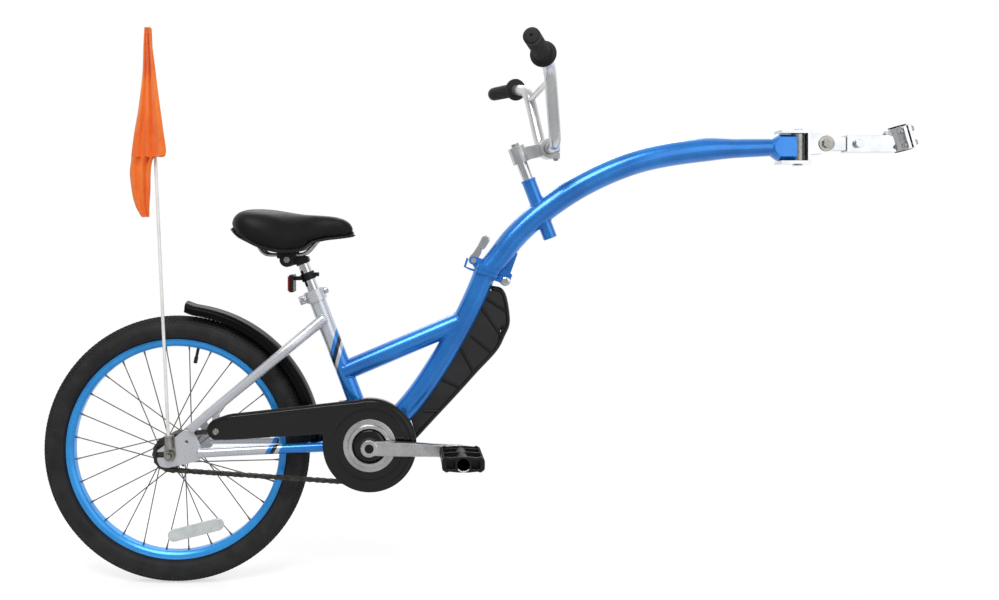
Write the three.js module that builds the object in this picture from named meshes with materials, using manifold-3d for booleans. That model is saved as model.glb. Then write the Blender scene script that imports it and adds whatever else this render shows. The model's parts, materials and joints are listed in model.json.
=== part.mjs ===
// A child's one-wheel trailer bike. Lengths are in millimetres, +X is forward, +Y is the left side
// and +Z is up. The right side, with the chain, faces -Y. The pieces are placed from the rear axle,
// and the whole bike is then moved so that its origin is the centre of the hitch's clamp bore.
import * as THREE from 'three';
import { mergeVertices } from 'three/addons/utils/BufferGeometryUtils.js';
import Module from 'manifold-3d';

const wasm = await Module();
wasm.setup();

// Gaps between pieces, and the overrun of every cut
const gap = 0.3;
const runningGap = 0.5;
const overrun = 3;

// Joins and cuts leave slivers smaller than this, which are taken out
const sliver = 0.03;

// Sides of round pieces, by size
const sides = { wire: 3, roller: 4, small: 6, bore: 8, medium: 12, large: 16, stay: 10, tube: 14, wheel: 36 };

// Wheel, 20 inch: the bead seat is 406 mm across and the tyre 506 mm
const tyre = { radius: 253, width: 49, wall: 3.5, beadHalfWidth: 10.8 };
const rim = {
  seatRadius: 203, flangeRadius: 209.5, innerRadius: 195, halfWidth: 13.5, flangeWall: 1.9,
  wellDepth: 4, wellHalfWidth: 5, innerHalfWidth: 8,
};
const hub = {
  flangeRadius: 29, flangeWall: 3, flangeOffset: 29, shellRadius: 17, halfLength: 36,
  bossRadius: 12, bossEnd: 50, spokeCircle: 24,
};
const spoke = { count: 28, radius: 1.3, rimOffset: 2 };
const spokeCrossDegrees = 54;
const valve = { radius: 3, length: 34, capRadius: 3.8, capLength: 12, footRadius: 6, footWall: 1.6 };
const valveDegrees = 78.3;
const wheelReflector = { radius: 157, length: 109, height: 23, thickness: 7 };
const wheelReflectorDegrees = -76;

// Rear axle and what it carries
const axle = { radius: 5, halfLength: 80, coneRadius: 8.5 };
const dropout = { innerOffset: 55, wall: 5, length: 80, height: 70 };
const axleNut = { radius: 10, height: 9 };
const flagBracket = { wall: 2.2, halfWidth: 11, socketHeight: 26, socketLength: 22, socketRadius: 6.5 };
const pole = { radius: 3, length: 775, leanDegrees: 2.66 };
const flag = { hoist: 232, drop: 347, left: 46, right: 23, fold: 8, cloth: 1.4 };

// Chain drive
const chain = {
  pitch: 12.7, links: 84, line: -48, rollerRadius: 3.9, plateHeight: 8.4, plateWall: 1.4,
  innerHalfWidth: 2.2,
};
const chainring = { teeth: 36, wall: 3, tipHeight: 3.2 };
const sprocket = { teeth: 15, wall: 3, tipHeight: 3.2, bodyRadius: 24, bodyInner: 37.5, bodyOuter: 52 };
const crank = {
  length: 165, bossRadius: 16, bossInner: 51, armInner: 72, armOuter: 87, armHalfHeight: 13.5,
  endHalfHeight: 11.5, spindleRadius: 8.5, spindleHalfLength: 82, capRadius: 29.5, capWall: 6,
  capInner: 60,
};
const crankDegrees = -1.8;
const pedal = {
  length: 74, width: 92, height: 28, inner: 95, axleRadius: 6, coreRadius: 10, cageWall: 5,
  endWall: 9,
};

// Bottom bracket and frame tubes, seen from the rear axle
const bottomBracket = { rise: 17, shellRadius: 21, shellHalf: 34, boreRadius: 17.4 };
const cup = { flangeRadius: 20, flangeWall: 3.6, threadLength: 9, boreRadius: 10 };
const seatTube = { length: 305, radius: 15.9, boreRadius: 11.5, lowerBoreRadius: 13.6, sleeve: 135 };
const seatTubeDegrees = 21;
const downTube = { radius: 21.5, wall: 2 };
const topTube = { radius: 19, wall: 1.8, seatRise: 139, downShare: 0.7 };
const seatStay = { topRadius: 11, endRadius: 8.5 };
const chainStay = { frontRadius: 10, endRadius: 8.5 };
const bridge = { stayRadius: 6, chainRadius: 7, stayShare: 0.24, chainShare: 0.22 };
const guardTab = {
  wall: 2, rearX: 84, rearZ: 43, rearHalf: 7, frontHeight: 6, frontLength: 14,
  holeRadius: 3.8,
};

// Fold joint: a split plane across the down tube's top, its hinge in front and its latch behind
const fold = {
  x: 587, z: 338.9, flangeWall: 8, flangeFront: 30, flangeRear: 22, flangeHalf: 25,
  pinAlong: 42.2, pinBelow: 7.7, pinRadius: 5, pinHead: 9.5, pinHeadHeight: 5,
  knuckleRadius: 9, knuckleHalf: 9.6, earWall: 7,
};
const foldTiltDegrees = 17.6;
const latch = {
  pivotBehind: 27.5, pivotAbove: 11.5, pinRadius: 3, earRadius: 8, earInner: 6.4, earWall: 5,
  throw: 7, crossRadius: 1.8, catchWall: 4, cheekInner: 2.7, cheekWall: 3,
  leverLength: 52, leverHalf: 4, gripStart: 33, lipLength: 6, lipDepth: 4, lipBelow: 4,
};
const leverDegrees = 60;

// Front beam, steerer stub and head casting
const beam = { headX: 1131.9, headZ: 573.7, radius: 22.5, slimRadius: 18, endRadius: 16.5, wall: 2 };
const gusset = { length: 50, reach: 7.4, halfWidth: 4 };
const steerer = { x: 669.4, z: 512.7, length: 120, radius: 13.25, boreRadius: 10.9 };
const steererDegrees = 20.8;
const head = { neck: 13, radius: 25.7, halfWidth: 18, end: 1176 };

// Hitch
const yaw = { x: 1184, sleeveRadius: 12, pinRadius: 6, pinHead: 9.5, pinHeadHeight: 2.6 };
const yoke = {
  plateWall: 6.2, rear: 1147, wallInner: 1197, wallOuter: 1203, halfWidth: 18, cheekWall: 5,
  cheekRadius: 18, rootHalfHeight: 21,
};
const pitch = {
  x: 1233, z: 580, boltRadius: 6, washerRadius: 15, washerWall: 2, headRadius: 9.5, headHeight: 6,
};
const tongue = { halfWidth: 10, halfHeight: 13, front: 1343 };
const receiver = { rear: 1273, hollowEnd: 1346, front: 1366, wall: 2.8 };
const couplingPin = { x: 1294, radius: 5, knobRadius: 8, knobHeight: 8, tail: 5 };
const clamp = {
  x: 1380.7, z: 591.1, boreRadius: 13.6, linerWall: 2.4, jawWall: 5, halfHeight: 22, earReach: 35,
  earWall: 6, split: 1.5,
};
const clampLeanDegrees = 16;
const clampBolt = { offset: 28.5, rise: 13.5, radius: 3, headRadius: 5.6, headHeight: 5 };

// Stem, handlebar and grips
const stem = {
  quillRadius: 10.5, quillDepth: 95, bossStart: 34, bossLength: 32, bossRadius: 16, boltRadius: 4,
  boltHeadRadius: 7.5, boltHeadHeight: 6, armHalfWidth: 10, armRootHalf: 13, armEndHalf: 11,
};
const bar = {
  x: 708.6, z: 571, radius: 11.1, wall: 1.6, clampRadius: 19, clampHalfWidth: 19, straight: 80,
  shoulderBack: 20, shoulderOut: 140, shoulderUp: 131.8, gripBack: 38.6, gripOut: 190, gripUp: 143.7,
  endBack: 74.2, endOut: 300, endUp: 151.2, bendRadius: 26,
};
const crossBar = { radius: 6, rise: 112 };
const grip = { radius: 14, flangeRadius: 23, flangeWall: 4, endWall: 4 };

// Guards
const chainGuard = {
  offset: 56, wall: 2.5, radius: 87, lipDepth: 11, lipWall: 2, rearX: 88, rearRadius: 20, rearZ: 46,
  topRise: 75, frontRise: 99, frontX: 322, bottomRise: 27, bottomFrontRise: 38, holeRadius: 41,
};
const guardRing = { radius: 48.6, stepRadius: 40, innerRadius: 31, height: 7.5, step: 3.5, wall: 1.6 };
const splashGuard = { halfWidth: 14, bevel: 4, top: 302, tip: 21, tipX: 457 };
const fender = { crown: 277, halfWidth: 27.5, wall: 2, skirt: 19, flare: 5, footRadius: 6 };
const fenderStartDegrees = 3;
const fenderEndDegrees = 86;

// Seat
const seatPost = { radius: 11.1, wall: 1.8, above: 62, below: 118 };
const seatCollar = { radius: 20, height: 22, earReach: 12, earHalf: 9, boltRadius: 3, boltHead: 5.5 };
const rearReflector = {
  along: 28, bandHeight: 15, bandWall: 2.6, width: 50, height: 37, depth: 8, lens: 4, proud: 3,
  reach: 12,
};
// Saddle, clamp and rails, seen from the top of the post
const saddle = { length: 237, halfWidth: 84, behind: 132.6, drop: 2.6, height: 101.4 };
const saddleClamp = {
  behind: 25.9, rise: 0.4, radius: 14, inner: 15, outer: 25, bandRadius: 13.4, bandHeight: 9,
  lugRadius: 8.5, boltRadius: 4,
};
const rail = { radius: 3.5, offset: 20, rise: 11.4, ahead: 54.9, behind: 87.1 };

const degrees = THREE.MathUtils.degToRad;

function finish(name, color, roughness, metalness) {
  return new THREE.MeshStandardMaterial({ name, color, roughness, metalness });
}

const bluePaint = finish('blue_paint', 0x1f7fd6, 0.28, 0.5);
const silverPaint = finish('silver_paint', 0xd4d6da, 0.35, 0.5);
const rimBlue = finish('rim_blue', 0x2f9ff0, 0.35, 0.3);
const chrome = finish('chrome', 0xe2e2e4, 0.15, 1);
const alloy = finish('brushed_alloy', 0xbfc1c4, 0.35, 0.9);
const darkSteel = finish('dark_steel', 0x4a4846, 0.45, 0.9);
const blackPlastic = finish('black_plastic', 0x18181a, 0.4, 0);
const glossPlastic = finish('gloss_black_plastic', 0x0e0e10, 0.12, 0);
const rubber = finish('black_rubber', 0x1c1c1d, 0.8, 0);
const tyreRubber = finish('tyre_rubber', 0x222224, 0.85, 0);
const saddleVinyl = finish('saddle_vinyl', 0x1b1a1a, 0.5, 0);
const orangeCloth = finish('orange_cloth', 0xff6a12, 0.7, 0);
const whiteRod = finish('white_rod', 0xeeeeee, 0.4, 0);
const redLens = finish('red_lens', 0xc01818, 0.15, 0);
const clearLens = finish('clear_lens', 0xe8ecee, 0.15, 0);

// Turns a closed three.js geometry into a solid that can be joined and cut
function solidFrom(geometry) {
  const bare = geometry.clone();
  for (const name of Object.keys(bare.attributes)) {
    if (name !== 'position') bare.deleteAttribute(name);
  }
  const merged = mergeVertices(bare);
  const spot = merged.attributes.position;
  const corner = (index) => new THREE.Vector3().fromBufferAttribute(spot, index);
  const triangles = [];
  let volume = 0;
  for (let i = 0; i < merged.index.count; i += 3) {
    const [a, b, c] = [0, 1, 2].map((k) => merged.index.getX(i + k));
    if (a === b || b === c || c === a) continue;
    triangles.push(a, b, c);
    volume += corner(a).dot(corner(b).cross(corner(c)));
  }
  const outward = volume > 0 ? triangles : triangles.reverse();
  return new wasm.Manifold(new wasm.Mesh({
    numProp: 3,
    vertProperties: Float32Array.from(spot.array),
    triVerts: Uint32Array.from(outward),
  }));
}

function joined(...solids) {
  return solids.reduce((sum, next) => sum.add(next));
}

function cut(body, ...tools) {
  return tools.reduce((rest, tool) => rest.subtract(tool), body);
}

// A round bar along Y at a place in the side view, from one Y to the other
function crossRod(x, z, radius, yFrom, yTo, count = sides.medium) {
  const geometry = new THREE.CylinderGeometry(radius, radius, Math.abs(yTo - yFrom), count);
  geometry.translate(x, (yFrom + yTo) / 2, z);
  return solidFrom(geometry);
}

// Radius of a many-sided bore whose flats clear a round piece that turns in it
function turningBore(radius, count = sides.medium) {
  return (radius + gap) / Math.cos(Math.PI / count);
}

// A round bar between two points, with a radius at each end
function rodBetween(from, to, radius, count = sides.tube, endRadius = radius) {
  const along = to.clone().sub(from);
  const geometry = new THREE.CylinderGeometry(endRadius, radius, along.length(), count);
  const turn = new THREE.Quaternion().setFromUnitVectors(new THREE.Vector3(0, 1, 0), along.normalize());
  geometry.applyQuaternion(turn);
  const middle = from.clone().add(to).multiplyScalar(0.5);
  geometry.translate(middle.x, middle.y, middle.z);
  return solidFrom(geometry);
}

// A flat plate: an outline in the side view (X, Z), from one Y to the other
function sidePlate(outline, yFrom, yTo, curveSegments = 8) {
  const shape = outline instanceof THREE.Shape ? outline : new THREE.Shape(outline);
  const geometry = new THREE.ExtrudeGeometry(shape, {
    depth: Math.abs(yTo - yFrom), bevelEnabled: false, curveSegments,
  });
  geometry.rotateX(Math.PI / 2);
  geometry.translate(0, Math.max(yFrom, yTo), 0);
  return solidFrom(geometry);
}

function box(xFrom, xTo, yFrom, yTo, zFrom, zTo) {
  const geometry = new THREE.BoxGeometry(xTo - xFrom, yTo - yFrom, zTo - zFrom);
  geometry.translate((xFrom + xTo) / 2, (yFrom + yTo) / 2, (zFrom + zTo) / 2);
  return solidFrom(geometry);
}

// A turned piece about the Y axis; each point of its closed profile is [radius, y]
function turned(profile, count = sides.medium) {
  const points = profile.map(([radius, y]) => new THREE.Vector2(radius, y));
  points.push(points[0].clone());
  return solidFrom(new THREE.LatheGeometry(points, count));
}

// A path that goes straight from station to station, with one ring of a tube at each
class Stations extends THREE.Curve {
  constructor(points) {
    super();
    this.points = points;
  }

  getPoint(share, target = new THREE.Vector3()) {
    const place = THREE.MathUtils.clamp(share, 0, 1) * (this.points.length - 1);
    const index = Math.min(Math.floor(place), this.points.length - 2);
    return target.lerpVectors(this.points[index], this.points[index + 1], place - index);
  }

  getPointAt(share, target) {
    return this.getPoint(share, target);
  }

  getTangentAt(share, target = new THREE.Vector3()) {
    const last = this.points.length - 1;
    const index = Math.round(share * last);
    const before = this.points[Math.max(index - 1, 0)];
    const after = this.points[Math.min(index + 1, last)];
    return target.copy(after).sub(before).normalize();
  }

  getSpacedPoints(divisions) {
    return Array.from({ length: divisions + 1 }, (_, i) => this.getPoint(i / divisions));
  }
}

function circleShape(radius, count) {
  return new THREE.Shape(Array.from({ length: count }, (_, i) => {
    const angle = (2 * Math.PI * (i + 0.5)) / count;
    return new THREE.Vector2(radius * Math.cos(angle), radius * Math.sin(angle));
  }));
}

// A tube along stations; a list of radii gives each station its own
function tube(stations, radius, count = sides.tube) {
  const path = new Stations(stations);
  const tapers = Array.isArray(radius);
  const geometry = new THREE.ExtrudeGeometry(circleShape(tapers ? 1 : radius, count), {
    steps: stations.length - 1, extrudePath: path, bevelEnabled: false,
  });
  if (tapers) {
    const spot = geometry.attributes.position;
    const corner = new THREE.Vector3();
    for (let i = 0; i < spot.count; i += 1) {
      corner.fromBufferAttribute(spot, i);
      const spans = stations.map((station) => station.distanceTo(corner));
      const nearest = spans.indexOf(Math.min(...spans));
      corner.sub(stations[nearest]).multiplyScalar(radius[nearest]).add(stations[nearest]);
      spot.setXYZ(i, corner.x, corner.y, corner.z);
    }
  }
  return solidFrom(geometry);
}

// Points of a path with each corner rounded by an arc, in more steps where it turns more
function rounded(corners, radius) {
  const stations = [corners[0]];
  for (let i = 1; i < corners.length - 1; i += 1) {
    const back = corners[i - 1].clone().sub(corners[i]).normalize();
    const ahead = corners[i + 1].clone().sub(corners[i]).normalize();
    const half = back.angleTo(ahead) / 2;
    const reach = radius / Math.tan(half);
    const arcSteps = Math.ceil((Math.PI - 2 * half) / degrees(18));
    const curve = new THREE.QuadraticBezierCurve3(
      corners[i].clone().addScaledVector(back, reach),
      corners[i],
      corners[i].clone().addScaledVector(ahead, reach),
    );
    stations.push(...curve.getPoints(arcSteps));
  }
  stations.push(corners[corners.length - 1]);
  return stations;
}

// The end face of a thin sheet's ring, whose points go along one side and back along the other
function sheetCap(ring) {
  const last = ring.length - 1;
  return Array.from({ length: ring.length / 2 - 1 }, (_, i) => [
    [i, i + 1, last - i], [i + 1, last - i - 1, last - i],
  ]).flat();
}

// The end face of any other flat ring
function flatCap(ring) {
  const [first, normal] = [ring[0], new THREE.Vector3()];
  ring.forEach((point, i) => {
    const next = ring[(i + 1) % ring.length];
    normal.add(point.clone().sub(first).cross(next.clone().sub(first)));
  });
  const turn = new THREE.Quaternion().setFromUnitVectors(normal.normalize(), new THREE.Vector3(0, 0, 1));
  const flat = ring.map((point) => {
    const spot = point.clone().sub(first).applyQuaternion(turn);
    return new THREE.Vector2(spot.x, spot.y);
  });
  return THREE.ShapeUtils.triangulateShape(flat, []);
}

// A closed skin over rings of points that have equal counts
function loft(rings, cap = flatCap) {
  const count = rings[0].length;
  const corners = rings.flat();
  const index = [];
  for (let r = 0; r < rings.length - 1; r += 1) {
    for (let i = 0; i < count; i += 1) {
      const a = r * count + i;
      const b = r * count + ((i + 1) % count);
      index.push(a, b, b + count, a, b + count, a + count);
    }
  }
  const lastStart = (rings.length - 1) * count;
  for (const [a, b, c] of cap(rings[0])) index.push(c, b, a);
  for (const [a, b, c] of cap(rings[rings.length - 1])) {
    index.push(lastStart + a, lastStart + b, lastStart + c);
  }
  const geometry = new THREE.BufferGeometry();
  geometry.setAttribute('position', new THREE.Float32BufferAttribute(corners.flatMap((p) => p.toArray()), 3));
  geometry.setIndex(index);
  return solidFrom(geometry);
}

// Adds a solid to a group as a named mesh
function piece(group, name, material, solid) {
  const result = solid.asOriginal().simplify(sliver).getMesh();
  const geometry = new THREE.BufferGeometry();
  geometry.setAttribute('position', new THREE.Float32BufferAttribute(result.vertProperties, 3));
  geometry.setIndex([...result.triVerts]);
  geometry.computeVertexNormals();
  const mesh = new THREE.Mesh(geometry, material);
  mesh.name = name;
  group.add(mesh);
}

function groupAt(parent, x, z, name) {
  const group = new THREE.Group();
  group.name = name;
  group.position.set(x, 0, z);
  parent.add(group);
  return group;
}

function at(x, y, z) {
  return new THREE.Vector3(x, y, z);
}

function mirrored(solid) {
  return solid.mirror([0, 1, 0]);
}

// Pitch radius of a chain wheel
function pitchRadius(teeth) {
  return chain.pitch / (2 * Math.sin(Math.PI / teeth));
}

// The chain's length sets how far the bottom bracket lies ahead of the axle
const ringRadius = pitchRadius(chainring.teeth);
const cogRadius = pitchRadius(sprocket.teeth);

function centreDistance() {
  const wrapped = (chainring.teeth + sprocket.teeth) / 2;
  let distance = (chain.links - wrapped) * chain.pitch / 2;
  for (let i = 0; i < 20; i += 1) {
    const slant = Math.asin((ringRadius - cogRadius) / distance);
    const extra = (chainring.teeth - sprocket.teeth) * slant / Math.PI;
    distance = (chain.links - wrapped - extra) * chain.pitch / (2 * Math.cos(slant));
  }
  return distance;
}

const driveDistance = centreDistance();
const driveSlant = Math.asin((ringRadius - cogRadius) / driveDistance);
const driveRise = Math.asin(bottomBracket.rise / driveDistance);
const bb = at(driveDistance * Math.cos(driveRise), 0, bottomBracket.rise);

// Places in the side view that several pieces share
const seatAxis = at(-Math.sin(degrees(seatTubeDegrees)), 0, Math.cos(degrees(seatTubeDegrees)));
const seatTop = bb.clone().addScaledVector(seatAxis, seatTube.length);
const foldPoint = at(fold.x, 0, fold.z);
const foldAlong = at(Math.cos(degrees(foldTiltDegrees)), 0, -Math.sin(degrees(foldTiltDegrees)));
const foldUp = at(Math.sin(degrees(foldTiltDegrees)), 0, Math.cos(degrees(foldTiltDegrees)));
const steererUp = at(-Math.sin(degrees(steererDegrees)), 0, Math.cos(degrees(steererDegrees)));
const steererTop = at(steerer.x, 0, steerer.z);

// A place in the fold's own plane: so far along it, and so far above it
function inFold(along, above, y = 0) {
  return foldPoint.clone().addScaledVector(foldAlong, along).addScaledVector(foldUp, above).setY(y);
}

function foldOutline(points) {
  return points.map(([along, above]) => {
    const spot = inFold(along, above);
    return new THREE.Vector2(spot.x, spot.z);
  });
}

const foldPin = inFold(fold.pinAlong, -fold.pinBelow);
const latchPin = inFold(-latch.pivotBehind, latch.pivotAbove);

// Points between two places, as shares of the way along X and along Z
function between(from, to, shares) {
  return shares.map(([x, z]) => at(
    THREE.MathUtils.lerp(from.x, to.x, x), 0, THREE.MathUtils.lerp(from.z, to.z, z),
  ));
}

function smooth(points, count) {
  return new THREE.CatmullRomCurve3(points, false, 'centripetal').getPoints(count);
}

const downTubeShares = [
  [0, 0], [0.15, 0.07], [0.3, 0.17], [0.45, 0.296], [0.66, 0.516], [0.85, 0.75], [0.96, 0.915],
  [1.03, 1.04],
];
const downTubePath = smooth(between(bb, foldPoint, downTubeShares), 9);

const trailerBike = new THREE.Group();
const fromAxle = groupAt(trailerBike, -clamp.x, -clamp.z, 'from_axle');

// The wheel's tyre is open at its bead, so that it grips the rim
function tyreSolid() {
  const bead = rim.seatRadius + gap;
  const lip = rim.flangeRadius + runningGap;
  const height = tyre.radius - bead;
  const half = tyre.width / 2;
  const sideShares = [[0.2, 0.66], [0.48, 1], [0.8, 0.86], [0.95, 0.5]];
  const right = [
    [bead, tyre.beadHalfWidth], [lip, tyre.beadHalfWidth + gap],
    ...sideShares.map(([up, out]) => [bead + up * height, out * half]),
  ];
  const outside = [...right, [tyre.radius, 0], ...right.map(([r, y]) => [r, -y]).reverse()];
  const shrink = 1 - tyre.wall / half;
  const inner = [
    [bead, tyre.beadHalfWidth * shrink], ...sideShares.slice(0, 2).map(([up, out]) => [
      bead + up * height, out * half - tyre.wall,
    ]),
  ];
  const inside = [...inner, [tyre.radius - tyre.wall, 0], ...inner.map(([r, y]) => [r, -y]).reverse()];
  return turned([...outside, ...inside.reverse()], sides.wheel);
}

function onWheel(radius, angle, y = 0) {
  return at(radius * Math.cos(angle), y, radius * Math.sin(angle));
}

function rimSolid() {
  const flangeFace = rim.halfWidth - rim.flangeWall;
  const half = [
    [rim.innerRadius, rim.innerHalfWidth],
    [rim.seatRadius - rim.wellDepth, rim.halfWidth],
    [rim.flangeRadius, rim.halfWidth],
    [rim.flangeRadius, flangeFace],
    [rim.seatRadius, flangeFace],
    [rim.seatRadius - rim.wellDepth, rim.wellHalfWidth],
  ];
  const ring = turned([...half, ...half.map(([r, y]) => [r, -y]).reverse()], sides.wheel);
  const hole = rodBetween(
    onWheel(rim.innerRadius - overrun, degrees(valveDegrees)),
    onWheel(rim.seatRadius + overrun, degrees(valveDegrees)),
    valve.radius + gap, sides.small,
  );
  return cut(ring, hole);
}

// The rim is faceted, so its inside is nearest to the hub at the middle of each facet
const rimInside = rim.innerRadius * Math.cos(Math.PI / sides.wheel);

// Spokes that lead leave the outer face of their flange, and those that trail its inner face
function spokeRootOffset(lead) {
  return hub.flangeOffset + lead * (hub.flangeWall / 2 + spoke.radius / 4);
}

function hubSolid() {
  const bore = axle.radius + gap;
  const inner = hub.flangeOffset - hub.flangeWall / 2;
  const outer = hub.flangeOffset + hub.flangeWall / 2;
  let body = turned([
    [bore, -hub.bossEnd], [hub.bossRadius, -hub.bossEnd], [hub.bossRadius, -hub.halfLength],
    [hub.shellRadius, -hub.halfLength], [hub.shellRadius, -outer], [hub.flangeRadius, -outer],
    [hub.flangeRadius, -inner], [hub.shellRadius, -inner], [hub.shellRadius, inner],
    [hub.flangeRadius, inner], [hub.flangeRadius, outer], [hub.shellRadius, outer],
    [hub.shellRadius, hub.halfLength], [bore, hub.halfLength],
  ], sides.medium);
  // Crossing spokes leave the two faces of their flange, so they pass without touching
  for (let i = 0; i < spoke.count; i += 1) {
    const side = i % 2 === 0 ? 1 : -1;
    const lead = i % 4 < 2 ? 1 : -1;
    const rimAngle = (2 * Math.PI * (i + 0.5)) / spoke.count;
    const hubAngle = rimAngle + lead * degrees(spokeCrossDegrees);
    const root = onWheel(hub.spokeCircle, hubAngle, side * spokeRootOffset(lead));
    const end = onWheel(rimInside - gap, rimAngle, side * spoke.rimOffset);
    body = body.add(rodBetween(root, end, spoke.radius, sides.wire));
  }
  return body;
}

function valveSolid() {
  const angle = degrees(valveDegrees);
  const seat = rim.seatRadius - rim.wellDepth + gap;
  const end = seat - valve.length;
  return joined(
    rodBetween(onWheel(end, angle), onWheel(seat + valve.footWall / 2, angle), valve.radius, sides.small),
    rodBetween(onWheel(seat, angle), onWheel(seat + valve.footWall, angle), valve.footRadius, sides.small),
    rodBetween(onWheel(end, angle), onWheel(end + valve.capLength, angle), valve.capRadius, sides.small),
  );
}

// The reflector lies just outside the right-hand spokes, whose flats are half a radius out
function wheelReflectorSolid() {
  const rootAcross = hub.spokeCircle * Math.cos(degrees(spokeCrossDegrees));
  const slope = (spokeRootOffset(1) - spoke.rimOffset) / (rimInside - rootAcross);
  const innerEdge = wheelReflector.radius - wheelReflector.height / 2;
  const spokeFace = spoke.rimOffset + (rimInside - innerEdge) * slope + spoke.radius / 2;
  const back = spokeFace + gap;
  const half = wheelReflector.length / 2;
  const end = wheelReflector.height / 2;
  const shape = new THREE.Shape();
  shape.moveTo(-half + end, -end);
  shape.lineTo(half - end, -end);
  shape.absarc(half - end, 0, end, -Math.PI / 2, Math.PI / 2);
  shape.lineTo(-half + end, end);
  shape.absarc(-half + end, 0, end, Math.PI / 2, 3 * Math.PI / 2);
  const flat = sidePlate(shape, -back - wheelReflector.thickness, -back, 4);
  const turnDegrees = wheelReflectorDegrees + 90;
  const spot = onWheel(wheelReflector.radius, degrees(wheelReflectorDegrees));
  return flat.rotate([0, -turnDegrees, 0]).translate([spot.x, 0, spot.z]);
}

const wheel = groupAt(fromAxle, 0, 0, 'wheel');
piece(wheel, 'tyre', tyreRubber, tyreSolid());
piece(wheel, 'rim', rimBlue, rimSolid());
piece(wheel, 'hub_and_spokes', darkSteel, hubSolid());
piece(wheel, 'valve', rubber, valveSolid());
piece(wheel, 'spoke_reflector', clearLens, wheelReflectorSolid());

// A toothed disc whose valleys lie where the chain's rollers are
function toothedDisc(teeth, radius, wall, tipHeight, valleyAngle) {
  const step = (2 * Math.PI) / teeth;
  const valley = radius - chain.rollerRadius - gap;
  const tip = radius + tipHeight;
  const rootHalf = chain.rollerRadius / radius;
  const rootShare = 0.74;
  const tipShare = 0.06;
  const outline = Array.from({ length: teeth }, (_, i) => {
    const middle = valleyAngle + i * step;
    return [
      onWheel(valley, middle - rootHalf * rootShare), onWheel(valley, middle + rootHalf * rootShare),
      onWheel(tip, middle + step / 2 - step * tipShare), onWheel(tip, middle + step / 2 + step * tipShare),
    ];
  }).flat();
  const shape = new THREE.Shape(outline.map((p) => new THREE.Vector2(p.x, p.z)));
  return sidePlate(shape, chain.line - wall / 2, chain.line + wall / 2);
}

// The chain's pitch line, from the middle of its wrap on the sprocket, in pitches
const cogWrap = (Math.PI - 2 * driveSlant) / (2 * Math.PI) * sprocket.teeth;
const ringWrap = (Math.PI + 2 * driveSlant) / (2 * Math.PI) * chainring.teeth;
const runPitches = driveDistance * Math.cos(driveSlant) / chain.pitch;

function chainPoint(pitches, offset = 0) {
  const rest = ((pitches % chain.links) + chain.links) % chain.links;
  const upperStart = cogWrap / 2;
  const ringStart = upperStart + runPitches;
  const lowerStart = ringStart + ringWrap;
  const cogEnd = lowerStart + runPitches;
  const upperNormal = Math.PI / 2 + driveSlant + driveRise;
  const lowerNormal = -Math.PI / 2 - driveSlant + driveRise;
  const onCog = (angle) => onWheel(cogRadius + offset, angle);
  const onRing = (angle) => onWheel(ringRadius + offset, angle).add(bb);
  if (rest < upperStart) return onCog(Math.PI + driveRise - rest * 2 * Math.PI / sprocket.teeth);
  if (rest < ringStart) {
    return onCog(upperNormal).lerp(onRing(upperNormal), (rest - upperStart) / runPitches);
  }
  if (rest < lowerStart) return onRing(upperNormal - (rest - ringStart) * 2 * Math.PI / chainring.teeth);
  if (rest < cogEnd) {
    return onRing(lowerNormal).lerp(onCog(lowerNormal), (rest - lowerStart) / runPitches);
  }
  return onCog(lowerNormal - (rest - cogEnd) * 2 * Math.PI / sprocket.teeth);
}

function chainSolid() {
  // Places along the chain: each pin on the two wraps, and the four ends of the straight runs
  const bends = [
    [-cogWrap / 2, cogWrap / 2], [cogWrap / 2 + runPitches, cogWrap / 2 + runPitches + ringWrap],
  ];
  const marks = bends.flatMap(([from, to]) => {
    const whole = Math.floor(to) - Math.ceil(from) + 1;
    const pins = Array.from({ length: whole }, (_, i) => Math.ceil(from) + i);
    return [from, ...pins, to];
  });
  const loop = (offset, yFrom, yTo) => sidePlate(marks.map((mark) => {
    const spot = chainPoint(mark, offset);
    return new THREE.Vector2(spot.x, spot.z);
  }), yFrom, yTo);
  const strip = (start) => {
    const [from, to] = [chain.line + start, chain.line + start + chain.plateWall];
    return cut(
      loop(chain.plateHeight / 2, from, to), loop(-chain.plateHeight / 2, from - overrun, to + overrun),
    );
  };
  let body = joined(strip(chain.innerHalfWidth), strip(-chain.innerHalfWidth - chain.plateWall));
  const reach = chain.innerHalfWidth;
  // Every pin where the chain wraps a wheel, and every third one on the straight runs
  const wraps = (pin) => bends.some(
    ([from, to]) => [pin, pin - chain.links].some((i) => i > from - 1 && i < to + 1),
  );
  for (let i = 0; i < chain.links; i += 1) {
    if (i % 3 !== 0 && !wraps(i)) continue;
    const spot = chainPoint(i);
    const roller = crossRod(
      spot.x, spot.z, chain.rollerRadius, chain.line - reach, chain.line + reach, sides.roller,
    );
    body = body.add(roller);
  }
  return body;
}

function sprocketSolid() {
  const disc = toothedDisc(sprocket.teeth, cogRadius, sprocket.wall, sprocket.tipHeight, Math.PI + driveRise);
  const body = crossRod(0, 0, sprocket.bodyRadius, -sprocket.bodyOuter, -sprocket.bodyInner, sides.tube);
  const bore = crossRod(
    0, 0, turningBore(hub.bossRadius), -sprocket.bodyOuter - overrun, -sprocket.bodyInner + overrun,
  );
  return cut(joined(disc, body), bore);
}

const freewheel = groupAt(fromAxle, 0, 0, 'freewheel');
piece(freewheel, 'sprocket', darkSteel, sprocketSolid());

// Rear frame
const rearFrame = groupAt(fromAxle, 0, 0, 'rear_frame');

const dropoutShares = [
  [0, 0.2], [0.06, 0.04], [0.25, 0], [1, 0.2], [1, 0.56], [0.82, 1], [0.62, 1], [0.24, 0.66], [0, 0.46],
];

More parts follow.
